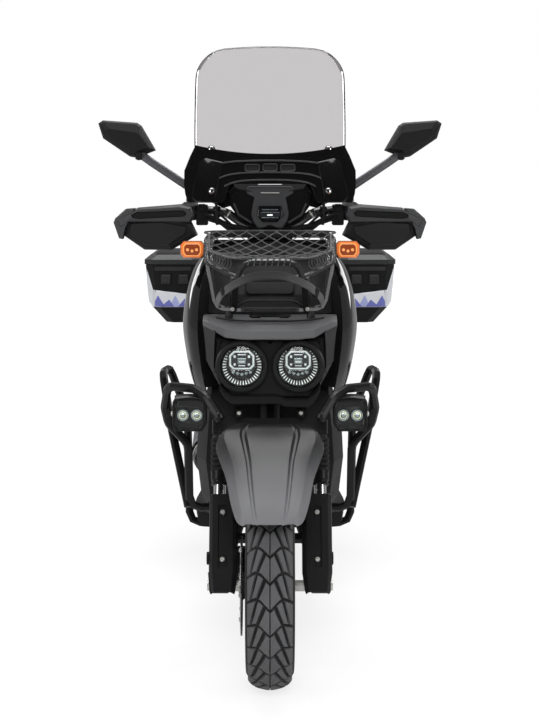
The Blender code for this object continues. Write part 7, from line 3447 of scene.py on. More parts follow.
@dataclass
class Screen:
    """The tall clear screen over the gloss panel, with its four rubber-mounted screws."""

    foot_behind: float = 0.347
    foot_height: float = 1.13
    lean: float = 0.42
    curl: float = 0.9

    def place(self, x: float, z: float, forward: float = 0.0) -> Vector:
        """A point of the screen's surface."""
        behind = self.foot_behind + (z - self.foot_height) * self.lean + self.curl * x * x
        return at(x, behind - forward, z)

    def build(self) -> None:
        """Makes the clear sheet, the panel, its ribs, vents and screws."""
        self.clear()
        self.panel()
        self.ribs()
        self.vents()
        self.screws()

    def edge(self, share: float) -> tuple[float, float]:
        """Half width and height at the screen's rounded outline, by a share up its side."""
        low, high, corner = 1.190, 1.517, 0.070
        z = low + (high - low) * share
        half = 0.187 * (1.0 + 0.015 * math.sin(math.pi * share))
        over = max(0.0, z - (high - corner)) / corner
        return half - corner * (1 - math.sqrt(max(0.0, 1 - over * over))), z

    def clear(self) -> None:
        """Adds the clear sheet with a rounded top and a dark rim."""
        shares = [
            0.0,
            0.12,
            0.25,
            0.38,
            0.5,
            0.6,
            0.7,
            0.78,
            0.80,
            0.83,
            0.86,
            0.89,
            0.92,
            0.945,
            0.965,
            0.98,
            0.992,
            1.0,
        ]
        grid = []
        for share in shares:
            half, z = self.edge(share)
            row = []
            for step in range(33):
                u = -1 + step / 16
                x = half * u
                fall = 0.35 * x * x * share
                row.append(self.place(x, z - fall))
            grid.append(row)
        sheet = Shape("screen_sheet").sheet(grid)
        sheet.piece(SMOKE_SCREEN, "steering", replaces=["windscreen"], wall=0.0036, offset=-1.0, sharp=60.0)
        rim = Shape("screen_rim")
        loop = [row[0] for row in grid] + grid[-1][1:-1] + [row[-1] for row in reversed(grid)]
        rim.tube([point + Vector((0.0, 0.0019, 0.0)) for point in loop], 0.0011, 8)
        rim.piece(DARK_GLASS, "steering")

    def panel(self) -> None:
        """Adds the gloss panel behind the screen's foot."""
        halves = ((0.0, 0.204), (0.15, 0.211), (0.3, 0.214), (0.55, 0.214), (0.8, 0.200), (1.0, 0.186))
        grid = []
        for share, half in halves:
            row = []
            for step in range(81):
                u = -1 + step / 40
                beside = min(1.0, max(0.0, (abs(u) * half - 0.098) / 0.018))
                low = 1.172 - 0.046 * beside * beside * (3 - 2 * beside)
                z = low + (1.246 + 0.022 * u * u - low) * share
                row.append(self.place(half * u, z, 0.0050))
            grid.append(row)
        face = Shape("screen_panel_face").sheet(grid)
        face.piece(
            GLOSS_BLACK,
            "steering",
            replaces=["screen_panel"],
            wall=0.0042,
            offset=0.0,
            bevel=0.0010,
            sharp=40.0,
        )
        blocks = Shape("screen_panel_blocks")
        outline = (
            (0.118, 1.226),
            (0.160, 1.236),
            (0.176, 1.226),
            (0.192, 1.160),
            (0.194, 1.136),
            (0.184, 1.126),
            (0.146, 1.128),
            (0.134, 1.140),
        )
        rings = []
        for grow, ahead in ((1.0, 0.0072), (1.0, 0.0092), (0.95, 0.0108)):
            rings.append(
                [
                    self.place(0.158 + (x - 0.158) * grow, 1.180 + (z - 1.180) * grow, ahead)
                    for x, z in outline
                ],
            )
        blocks.loft(rings)
        blocks.mirror()
        blocks.piece(GLOSS_BLACK, "steering", bevel=0.0012, sharp=25.0)

    def ribs(self) -> None:
        """Adds the three curved ribs across the panel."""
        for number, (height, reach, thick) in enumerate(
            ((1.2275, 0.150, 0.0034), (1.1985, 0.128, 0.0030), (1.1800, 0.112, 0.0030)),
        ):
            route = []
            for step in range(33):
                u = -1 + step / 16
                drop = 0.006 * u * u + 0.010 * abs(u) ** 6
                route.append(self.place(reach * u, height - drop, 0.0068))
            rib = Shape(f"screen_rib_{number + 1}")
            rib.sweep(
                route,
                lambda share: [
                    (-thick, 0.0),
                    (-thick * 0.55, 0.0042),
                    (thick * 0.55, 0.0042),
                    (thick, 0.0),
                ],
                UP,
            )
            # The ribs take the paler grey moulding against the gloss panel: painted highlight along their
            # ridges.
            rib.piece(MOULDED_GREY, "steering", bevel=0.0008, sharp=25.0)

    def vents(self) -> None:
        """Adds the three oblong openings in the panel's middle, with their frames."""
        frames = Shape("screen_vent_frames")
        rooms = Shape("screen_vent_rooms")
        for number in (-1, 0, 1):
            x, z = number * 0.0440, 1.2125 - abs(number) * 0.0008
            outline = (
                (-0.019, -0.006),
                (-0.015, -0.0095),
                (0.015, -0.0095),
                (0.019, -0.006),
                (0.019, 0.006),
                (0.015, 0.0095),
                (-0.015, 0.0095),
                (-0.019, 0.006),
            )
            stack = [
                [self.place(x + a * grow, z + b * grow_z, ahead) for a, b in outline]
                for grow, grow_z, ahead in (
                    (1.0, 1.0, 0.0068),
                    (0.98, 0.96, 0.0104),
                    (0.90, 0.82, 0.0104),
                    (0.86, 0.74, 0.0074),
                )
            ]
            loops = [[one[k] for one in stack] for k in range(8)]
            frames.loft(loops, closed=True)
            rooms.loft(
                [
                    [self.place(x + a * 0.86, z + b * 0.74, ahead) for a, b in outline]
                    for ahead in (0.0070, 0.0076)
                ],
            )
        # The frames take the paler grey moulding: painted highlight round the openings.
        frames.piece(MOULDED_GREY, "steering", bevel=0.0006, sharp=25.0)
        rooms.piece(MOULDED, "steering")

    def screws(self) -> None:
        """Adds the screws with their rubber washers."""
        metal = Shape("screen_screws")
        rubber = Shape("screen_washers")
        for side in SIDES:
            for x, z in ((0.147, 1.258), (0.144, 1.154)):
                ahead = 0.0 if z > 1.2 else 0.0108
                foot = self.place(side * x, z, ahead)
                out = Vector((side * 0.265, -1.0, 0.42)).normalized()
                rubber.lathe(
                    foot - out * 0.0062,
                    out,
                    ((0.0, 0.0070), (0.0, 0.0098), (0.0070, 0.0100), (0.0092, 0.0092), (0.0096, 0.0)),
                    28,
                )
                metal.lathe(
                    foot + out * 0.0034,
                    out,
                    (
                        (-0.0006, 0.0072),
                        (0.0008, 0.0072),
                        (0.0026, 0.0058),
                        (0.0034, 0.0036),
                        (0.0036, 0.0),
                    ),
                    28,
                )
        rubber.piece(SOFT_RUBBER, "steering")
        metal.piece(CHROME, "steering")


# Deck, seat, tail and rear running gear

BODY_STATIONS = (
    # behind, half width low, middle and high, height low, middle and high
    (0.882, 0.105, 0.112, 0.105, 0.3303, 0.560, 0.742),
    (0.915, 0.148, 0.152, 0.140, 0.3303, 0.560, 0.758),
    (1.030, 0.168, 0.176, 0.158, 0.425, 0.590, 0.768),
    (1.150, 0.172, 0.182, 0.162, 0.520, 0.630, 0.770),
    (1.350, 0.166, 0.176, 0.156, 0.570, 0.660, 0.776),
    (1.550, 0.132, 0.142, 0.130, 0.640, 0.705, 0.784),
    (1.690, 0.088, 0.096, 0.092, 0.690, 0.735, 0.790),
    (1.742, 0.052, 0.060, 0.058, 0.710, 0.745, 0.788),
)
SEAT_SECTIONS = (
    # behind, half width, underside, top
    (0.875, 0.070, 0.775, 0.800),
    (0.910, 0.100, 0.775, 0.818),
    (1.000, 0.135, 0.778, 0.822),
    (1.120, 0.160, 0.782, 0.820),
    (1.240, 0.160, 0.786, 0.828),
    (1.290, 0.150, 0.788, 0.872),
    (1.420, 0.145, 0.792, 0.880),
    (1.560, 0.120, 0.798, 0.876),
    (1.620, 0.090, 0.802, 0.850),
)


def between(table: Sequence[tuple[float, ...]], behind: float) -> tuple[float, ...]:
    """A table's row at a distance behind the front axle."""
    if behind <= table[0][0]:
        return table[0]
    for here, there in zip(table, table[1:]):
        if behind <= there[0]:
            share = (behind - here[0]) / (there[0] - here[0])
            return tuple(a + (b - a) * share for a, b in zip(here, there))
    return table[-1]


@dataclass
class Deck:
    """Floorboard with its ribbed rubber mat, and the rider's side of the leg shield."""

    def build(self) -> None:
        """Dresses the deck and adds the mat, the lock and the hook."""
        dress(["frame"], POWDER_COAT)
        dress(["floorboard"], MOULDED, 0.0025)
        mat = Shape("deck_mat")
        for row in range(12):
            behind = 0.560 + row * 0.0250
            half = 0.150 if 0.58 < behind < 0.84 else 0.135
            for side in SIDES:
                mat.box(
                    at(side * (0.012 + half) / 2 + side * 0.006, behind, 0.3308),
                    (half - 0.012, 0.0105, 0.0036),
                )
        mat.piece(SOFT_RUBBER, "chassis", bevel=0.0012)
        lean = Vector((0.0, 1.0, 0.12)).normalized()
        lock = Shape("ignition_lock")
        lock.lathe(
            at(-0.050, 0.5150, 0.930),
            lean,
            (
                (-0.006, 0.0190),
                (0.004, 0.0190),
                (0.006, 0.0175),
                (0.006, 0.0120),
                (0.0045, 0.0110),
                (0.0045, 0.0),
            ),
            36,
        )
        lock.piece(MOULDED, "chassis", bevel=0.0006)
        barrel = Shape("ignition_barrel")
        barrel.lathe(
            at(-0.050, 0.5195, 0.9305),
            lean,
            ((0.0, 0.0105), (0.0035, 0.0105), (0.0042, 0.0095), (0.0042, 0.0)),
            32,
        )
        barrel.box(at(-0.050, 0.5242, 0.9309), (0.0022, 0.0012, 0.0100))
        barrel.piece(ZINC, "chassis")
        hook = Shape("bag_hook")
        hook.tube(
            rounded(
                [
                    at(0.0, 0.500, 0.880),
                    at(0.0, 0.527, 0.878),
                    at(0.0, 0.533, 0.858),
                    at(0.0, 0.546, 0.862),
                    at(0.0, 0.548, 0.878),
                ],
                0.010,
            ),
            0.0042,
            14,
        )
        hook.lathe(
            at(0.0, 0.5030, 0.880),
            BACK,
            ((0.0, 0.0150), (0.008, 0.0150), (0.0095, 0.0130), (0.0095, 0.0)),
            28,
        )
        hook.piece(POWDER_COAT, "chassis")


@dataclass
class Seat:
    """The two-level saddle: padded cover over a moulded base, with seams and stitches."""

    lift: float = 0.0075
    swell: float = 0.0055
    voxel: float = 0.006
    frames: int = 20
    seams: tuple[float, ...] = (1.232, 1.300, 1.080)
    bow: float = 0.030

    def ring(self, row: tuple[float, ...], shrink: float) -> list[Vector]:
        """One cross-section of the cover."""
        behind, half, low, high = row
        low += self.lift
        half, high = half - shrink, high - shrink * 0.8
        tall = high - low
        right = (
            (half * 0.45, low),
            (half * 0.86, low),
            (half * 0.965, low + tall * 0.14),
            (half * 0.985, low + tall * 0.36),
            (half * 0.975, low + tall * 0.58),
            (half * 0.925, low + tall * 0.80),
            (half * 0.80, low + tall * 0.93),
            (half * 0.56, low + tall * 0.985),
            (half * 0.25, low + tall * 0.975),
        )
        return [at(x, behind, z) for x, z in right] + [at(0.0, behind, low + tall * 0.965)] + [
            at(-x, behind, z)
            for x, z in reversed(right)
        ] + [at(0.0, behind, low)]

    def build(self) -> None:
        """Makes the base, the padded cover and its stitching."""
        self.base()
        cover = self.cover()
        self.puff(cover)
        self.crease(cover)
        smooth = cover.modifiers.new("Smooth", "SUBSURF")
        smooth.levels = 1
        smooth.render_levels = 1
        self.stitches(cover)

    def base(self) -> None:
        """Adds the moulded base with the hinge's eye."""
        base = Shape("seat_base")
        rings = []
        for behind, half, low, _ in SEAT_SECTIONS:
            right = (
                (half * 0.80, low),
                (half * 0.955, low + 0.004),
                (half * 0.975, low + 0.0105),
                (half * 0.90, low + 0.0120),
            )
            rings.append(
                [at(x, behind, z) for x, z in right] + [at(-x, behind, z) for x, z in reversed(right)],
            )
        base.loft(rings)
        base.lathe(at(-0.0275, 0.862, 0.770), ACROSS, ((0.0, 0.0060), (0.055, 0.0060)), 24)
        base.box(at(0.0, 0.872, 0.7770), (0.053, 0.018, 0.008))
        base.piece(MOULDED, "seat", bevel=0.001)

    def cover(self) -> bpy.types.Object:
        """The cover before it is filled."""
        rows = []
        stops = 44
        first, last = SEAT_SECTIONS[0][0] + 0.002, SEAT_SECTIONS[-1][0] - 0.002
        for step in range(stops + 1):
            behind = first + (last - first) * step / stops
            near = [between(SEAT_SECTIONS, behind + shift) for shift in (-0.022, -0.010, 0.0, 0.010, 0.022)]
            mixed = tuple(sum(row[k] for row in near) / len(near) for k in range(4))
            rows.append((behind, mixed[1], mixed[2], mixed[3]))
        rings = [self.ring(row, 0.0035) for row in rows]
        shape = Shape("seat_cover").loft(rings)
        return shape.piece(SEAT_HIDE, "seat", replaces=["seat"], sharp=180.0)

    def puff(self, cover: bpy.types.Object) -> None:
        """Fills the cover by a short cloth simulation with inner pressure.

        Args:
            cover: the object that is filled and keeps its new mesh.
        """
        scene = bpy.context.scene
        remesh = cover.modifiers.new("Remesh", "REMESH")
        remesh.mode = "VOXEL"
        remesh.voxel_size = self.voxel
        remesh.use_smooth_shade = True
        graph = bpy.context.evaluated_depsgraph_get()
        mesh = bpy.data.meshes.new_from_object(cover.evaluated_get(graph))
        old = cover.data
        cover.modifiers.clear()
        cover.data = mesh
        bpy.data.meshes.remove(old)
        before = [vert.co.copy() for vert in mesh.vertices]
        floor = [between(SEAT_SECTIONS, point.y - FRONT_AXLE_Y)[2] + self.lift - GROUND for point in before]
        group = cover.vertex_groups.new(name="held")
        group.add([k for k, point in enumerate(before) if point.z < floor[k] + 0.008], 1.0, "REPLACE")
        cloth = cover.modifiers.new("Fill", "CLOTH")
        settings = cloth.settings
        settings.quality = 5
        settings.mass = 0.3
        settings.use_pressure = True
        settings.uniform_pressure_force = 4.0
        settings.effector_weights.gravity = 0.0
        settings.vertex_group_mass = "held"
        settings.tension_stiffness = 18.0
        settings.compression_stiffness = 18.0
        settings.bending_stiffness = 0.8
        cloth.collision_settings.use_collision = False
        cloth.point_cache.frame_start = 1
        cloth.point_cache.frame_end = self.frames
        for frame_number in range(1, self.frames + 1):
            scene.frame_set(frame_number)
        graph = bpy.context.evaluated_depsgraph_get()
        filled = bpy.data.meshes.new_from_object(cover.evaluated_get(graph))
        cover.modifiers.clear()
        scene.frame_set(1)
        for k, vert in enumerate(filled.vertices):
            step = vert.co - before[k]
            if step.length > self.swell:
                step *= self.swell / step.length
            place = before[k] + step
            place.z = max(place.z, floor[k])
            mesh.vertices[k].co = place
        bpy.data.meshes.remove(filled)
        mesh.update()
        mesh.shade_smooth()

    def crease(self, cover: bpy.types.Object) -> None:
        """Presses the seams into the cover: one round the top and two across at the step."""
        mesh = cover.data
        for vert in mesh.vertices:
            behind = vert.co.y - FRONT_AXLE_Y
            row = between(SEAT_SECTIONS, behind)
            height = (vert.co.z + GROUND - row[2]) / max(0.01, row[3] - row[2])
            across = abs(vert.co.x) / row[1]
            pull = 0.0
            edge = abs(height - 0.76) * (row[3] - row[2])
            if across > 0.75:
                pull += 0.0022 * math.exp(-((edge / 0.0045) ** 2))
            if height > 0.55:
                for seam in self.seams:
                    curve = seam + self.bow * (across * across)
                    pull += 0.0024 * math.exp(-(((behind - curve) / 0.0050) ** 2))
            if pull:
                vert.co -= vert.normal * pull
        mesh.update()

    def stitches(self, cover: bpy.types.Object) -> None:
        """Adds thread along the seams, laid on the cover."""
        thread = Shape("seat_thread")
        lines: list[list[Vector]] = []
        for seam in self.seams:
            for shift in (-0.006, 0.006):
                line = []
                for step in range(41):
                    u = -0.80 + 1.6 * step / 40
                    behind = seam + shift + self.bow * u * u
                    row = between(SEAT_SECTIONS, behind)
                    line.append(at(u * row[1], behind, row[3] + 0.02))
                lines.append(line)
        for line in lines:
            spots = []
            for point in line:
                hit, place, normal, _ = cover.ray_cast(point, Vector((0.0, 0.0, -1.0)))
                if hit:
                    spots.append(place + normal * 0.0006)
            for here, there in zip(spots, spots[1:]):
                span = there - here
                if 0.002 < span.length < 0.03:
                    thread.tube([here + span * 0.15, here + span * 0.80], 0.0006, 6)
        thread.piece(SEAT_THREAD, "seat")


@dataclass
class Tail:
    """Side panels, tail lamp, rear fender, plate and rear carrier."""

    def side(self, behind: float, level: float, out: float) -> Vector:
        """A point on the left side panel.

        Args:
            behind: distance behind the front axle.
            level: 0 at the panel's lower edge, 1 at its fold, 2 at its upper edge.
            out: distance off the panel.

        Returns:
            The point.
        """
        row = between(BODY_STATIONS, behind)
        low = min(1, int(level))
        share = level - low
        half = row[1 + low] + (row[2 + low] - row[1 + low]) * share
        high = row[4 + low] + (row[5 + low] - row[4 + low]) * share
        return at(half + out, behind, high)

    def build(self) -> None:
        """Dresses the tail and its carrier, and adds its trims, lamp and plate."""
        dress(["rear_body"], BODY_BLACK, 0.003)
        dress(["rear_fender"], MOULDED, 0.001)
        dress(["rear_rack"], POWDER_COAT)
        self.trims()
        self.lamp()
        self.plate()

    def trims(self) -> None:
        """Adds the matt sill, the louvres and the seam cover on both side panels."""
        sill = Shape("side_sills")
        grid = []
        for step in range(15):
            behind = 0.925 + 0.56 * step / 14
            grid.append(
                [
                    self.side(behind, level, out)
                    for level, out in ((0.03, 0.0005), (0.06, 0.0030), (0.30, 0.0036), (0.36, 0.0005))
                ],
            )
        sill.sheet(grid)
        sill.mirror()
        sill.piece(MOULDED, "chassis", wall=0.0020, offset=0.0, bevel=0.0008)
        louvres = Shape("side_louvres")
        for number in range(5):
            behind = 1.020 + number * 0.030
            rows = []
            for level, lean in ((0.62, 0.0), (0.76, 0.006), (0.90, 0.014)):
                rows.append(
                    [
                        self.side(behind + lean + wide, level, out)
                        for wide, out in (
                            (-0.0085, 0.0006),
                            (-0.0060, 0.0044),
                            (0.0070, 0.0014),
                            (0.0085, 0.0006),
                        )
                    ],
                )
            louvres.sheet(rows)
        louvres.mirror()
        louvres.piece(MOULDED_GREY, "chassis", wall=0.0016, offset=0.0, bevel=0.0005)
        blade = Shape("side_blades")
        rows = []
        for step in range(18):
            behind = 1.190 + 0.44 * step / 17
            thick = 0.10 - 0.05 * step / 17
            rows.append(
                [
                    self.side(behind, 1.0 + shift, out)
                    for shift, out in (
                        (-thick, 0.0006),
                        (-thick * 0.7, 0.0036),
                        (0.0, 0.0048),
                        (thick * 1.2, 0.0036),
                        (thick * 1.6, 0.0006),
                    )
                ],
            )
        blade.sheet(rows)
        blade.mirror()
        blade.piece(FENDER_GREY, "chassis", wall=0.0016, offset=0.0, bevel=0.0006)

    def lamp(self) -> None:
        """Adds the lamp's bezel, red lens with bright strips and the amber ends."""
        outline = (
            (0.050, 0.716),
            (0.056, 0.745),
            (0.050, 0.776),
            (-0.050, 0.776),
            (-0.056, 0.745),
            (-0.050, 0.716),
        )

        def ring(behind: float, grow: float) -> list[Vector]:
            """The lamp's outline at a distance behind the front axle."""
            return [at(x * grow, behind, 0.746 + (z - 0.746) * grow) for x, z in outline]

        bezel = Shape("tail_bezel")
        stack = (
            ring(1.7425, 1.0),
            ring(1.7600, 1.0),
            ring(1.7640, 0.97),
            ring(1.7635, 0.90),
            ring(1.7500, 0.86),
        )
        bezel.loft([[one[k] for one in stack] for k in range(6)], closed=True)
        bezel.piece(GLOSS_BLACK, "chassis", bevel=0.001)
        lens = Shape("tail_lens")
        lens.loft([ring(1.7480, 0.86), ring(1.7640, 0.88), ring(1.7690, 0.80), ring(1.7700, 0.50)])
        lens.piece(RED_LENS, "chassis", replaces=["tail_lamp"], bevel=0.0008)
        strips = Shape("tail_strips")
        for z in (0.733, 0.746, 0.759):
            strips.box(at(0.0, 1.7702, z), (0.056, 0.0016, 0.0046))
        strips.piece(RED_GLOW, "chassis", bevel=0.0004)
        ends = Shape("tail_signals")
        for side in SIDES:
            ends.box(at(side * 0.0385, 1.7695, 0.746), (0.011, 0.0024, 0.032))
        ends.piece(AMBER_LENS, "chassis", bevel=0.0008)

    def plate(self) -> None:
        """Adds the blank plate, its lamp and the reflector."""
        top, foot = at(0.0, 1.7660, 0.5270), at(0.0, 1.7945, 0.4230)
        run = (foot - top).normalized()
        out = ACROSS.cross(run)
        if out.y < 0:
            out = -out
        corners = []
        for x, reach in (
            (-0.080, 0.0),
            (0.080, 0.0),
            (0.085, 0.005),
            (0.085, 0.103),
            (0.080, 0.108),
            (-0.080, 0.108),
            (-0.085, 0.103),
            (-0.085, 0.005),
        ):
            corners.append(top + ACROSS * x + run * reach + out * 0.0040)
        blank = Shape("plate_blank")
        blank.loft([corners, [point + out * 0.0018 for point in corners]])
        blank.piece(PLATE_BLANK, "chassis", bevel=0.0005)
        holder = Shape("plate_holder")
        wide = [top + (point - top) * 1.02 - out * 0.0030 for point in corners]
        holder.loft([wide, [point + out * 0.0026 for point in wide]])
        holder.box(
            at(0.0, 1.7600, 0.5440),
            (0.050, 0.034, 0.020),
            Matrix.Rotation(math.radians(-25.0), 3, "X"),
        )
        holder.piece(MOULDED, "chassis", bevel=0.001)
        screws = Shape("plate_screws")
        for side in SIDES:
            screws.bolt(top + ACROSS * (side * 0.060) + run * 0.016 + out * 0.0056, out, 0.0050, 0.0024)
        screws.piece(ZINC, "chassis")
        mark = Shape("rear_reflector")
        mark.box(
            at(0.0, 1.7768, 0.5362),
            (0.046, 0.0050, 0.0140),
            Matrix.Rotation(math.radians(-25.0), 3, "X"),
        )
        mark.piece(RED_LENS, "chassis", bevel=0.001)


@dataclass
class SideBox:
    """One side box with latches, a white side panel with a plain design, and its lid."""

    side: int
    front: float = 1.190
    rear: float = 1.600
    low: float = 0.752
    seam: float = 0.926
    inner: float = 0.210
    outer: float = 0.372

    def insets(self, z: float) -> tuple[float, float]:
        """How far the box draws in at a height: at its ends and at its outer side."""
        table = (
            (self.low, 0.030, 0.060),
            (self.low + 0.045, 0.010, 0.022),
            (self.seam - 0.11, 0.006, 0.010),
            (self.seam, 0.0, 0.0),
        )
        _, ends, out = between(table, z)
        return ends, out

    def skin(self, reach: float, z: float, lift: float) -> Vector:
        """A point on the box's front and outer side.

        Args:
            reach: distance from the inner front edge, round the chamfer, towards the rear.
            z: height.
            lift: distance off the wall.

        Returns:
            The point.
        """
        ends, out = self.insets(z)
        chamfer = 0.022
        corners = [
            Vector((self.inner + ends * 0.3 + chamfer, self.front + ends)),
            Vector((self.outer - out - chamfer, self.front + ends)),
            Vector((self.outer - out, self.front + ends + chamfer)),
            Vector((self.outer - out, self.rear - ends - chamfer)),
        ]
        left = reach
        for a, b in zip(corners, corners[1:]):
            run = b - a
            if left <= run.length or b is corners[-1]:
                spot = a + run * (left / run.length)
                normal = Vector((run.y, -run.x)).normalized()
                spot += normal * lift
                return at(self.side * spot.x, spot.y, z)
            left -= run.length
        return at(self.side * corners[-1].x, corners[-1].y, z)

    def patch(
        self,
        shape: Shape,
        corners: Sequence[tuple[float, float]],
        lift: float,
        parts: int = 8,
    ) -> None:
        """Adds a four-sided patch that follows the box's wall."""
        a, b, c, d = (Vector(corner) for corner in corners)
        grid = []
        for row in range(parts + 1):
            v = row / parts
            start, end = a.lerp(d, v), b.lerp(c, v)
            line = []
            for column in range(parts + 1):
                spot = start.lerp(end, column / parts)
                line.append(self.skin(spot.x, spot.y, lift))
            grid.append(line)
        shape.sheet(grid)

    def build(self) -> None:
        """Dresses the box and its lid, and adds the panel, the latches and the lid's field."""
        label = side_name(self.side)
        dress([f"pannier_{label}"], MOULDED, 0.003)
        dress([f"pannier_lid_{label}"], MOULDED_GREY, 0.003)
        self.design(label)
        self.latches(label)
        self.lid(label)

    def design(self, label: str) -> None:
        """Adds the white panel and its row of plain triangles in violet and lilac."""
        white = Shape(f"side_box_white_{label}")
        front_reach = 0.118
        self.patch(
            white,
            ((0.004, 0.800), (front_reach, 0.800), (front_reach, 0.852), (0.004, 0.838)),
            0.0012,
            10,
        )
        self.patch(
            white,
            ((front_reach + 0.026, 0.790), (0.455, 0.790), (0.455, 0.914), (front_reach + 0.026, 0.914)),
            0.0012,
            16,
        )
        self.patch(
            white,
            (
                (front_reach, 0.800),
                (front_reach + 0.026, 0.790),
                (front_reach + 0.026, 0.914),
                (front_reach, 0.852),
            ),
            0.0012,
            14,
        )
        white.piece(PANEL_WHITE, "chassis", wall=0.0005, offset=0.0)
        violet = Shape(f"side_box_violet_{label}")
        lilac = Shape(f"side_box_lilac_{label}")
        for start, wide, low, high, apex, shape in (
            (0.005, 0.036, 0.801, 0.825, 0.45, violet),
            (0.030, 0.036, 0.801, 0.834, 0.55, lilac),
            (0.052, 0.040, 0.801, 0.822, 0.40, violet),
            (0.080, 0.036, 0.801, 0.834, 0.60, violet),
            (0.150, 0.070, 0.792, 0.832, 0.40, violet),
            (0.196, 0.062, 0.792, 0.852, 0.50, lilac),
            (0.236, 0.080, 0.792, 0.838, 0.60, violet),
            (0.292, 0.066, 0.792, 0.848, 0.45, violet),
            (0.336, 0.060, 0.792, 0.834, 0.55, lilac),
            (0.366, 0.060, 0.792, 0.824, 0.50, violet),
        ):
            peak = start + wide * apex
            lift = 0.0021 if shape is violet else 0.0017
            self.patch(
                shape,
                ((start, low), (start + wide, low), (peak + 0.001, high), (peak - 0.001, high)),
                lift,
                10,
            )
        violet.piece(PANEL_VIOLET, "chassis", wall=0.0005, offset=0.0)
        lilac.piece(PANEL_LILAC, "chassis", wall=0.0005, offset=0.0)

    def latches(self, label: str) -> None:
        """Adds the two latch pads on the front wall and the two ribs above them."""
        pads = Shape(f"side_box_latches_{label}")
        for reach in (0.026, 0.078):
            rings = []
            for grow, lift in ((1.0, 0.0), (1.0, 0.0062), (0.92, 0.0085)):
                ring = []
                for a, b in (
                    (-0.0135, -0.012),
                    (0.0135, -0.012),
                    (0.0145, -0.009),
                    (0.0145, 0.013),
                    (0.0125, 0.015),
                    (-0.0125, 0.015),
                    (-0.0145, 0.013),
                    (-0.0145, -0.009),
                ):
                    ring.append(self.skin(reach + a * grow, 0.882 + b * grow, lift))
                rings.append(ring)
            pads.loft(rings)
            centre = self.skin(reach, 0.878, 0.0085)
            pads.lathe(centre, FORWARD, ((-0.001, 0.0052), (0.0012, 0.0048), (0.0016, 0.0)), 20)
        pads.piece(MOULDED_GREY, "chassis", bevel=0.0012)
        ribs = Shape(f"side_box_ribs_{label}")
        for z in (0.9120, 0.9180):
            self.patch(
                ribs,
                ((0.004, z - 0.0028), (0.112, z - 0.0028), (0.112, z + 0.0028), (0.004, z + 0.0028)),
                0.0016,
                4,
            )
        ribs.piece(MOULDED_GREY, "chassis", wall=0.0020, offset=0.0, bevel=0.0006)

    def lid(self, label: str) -> None:
        """Adds the raised field on the lid."""
        field_plate = Shape(f"side_box_lid_field_{label}")
        rings = []
        for grow, z in ((1.0, 0.9555), (1.0, 0.9582), (0.975, 0.9600)):
            ring = []
            for x, d in (
                (0.232, 1.225),
                (0.338, 1.225),
                (0.346, 1.235),
                (0.346, 1.555),
                (0.338, 1.565),
                (0.232, 1.565),
                (0.224, 1.555),
                (0.224, 1.235),
            ):
                ring.append(at(self.side * (0.285 + (x - 0.285) * grow), 1.395 + (d - 1.395) * grow, z))
            rings.append(ring)
        field_plate.loft(rings)
        field_plate.piece(MOULDED, f"lid_{label}", bevel=0.0015)


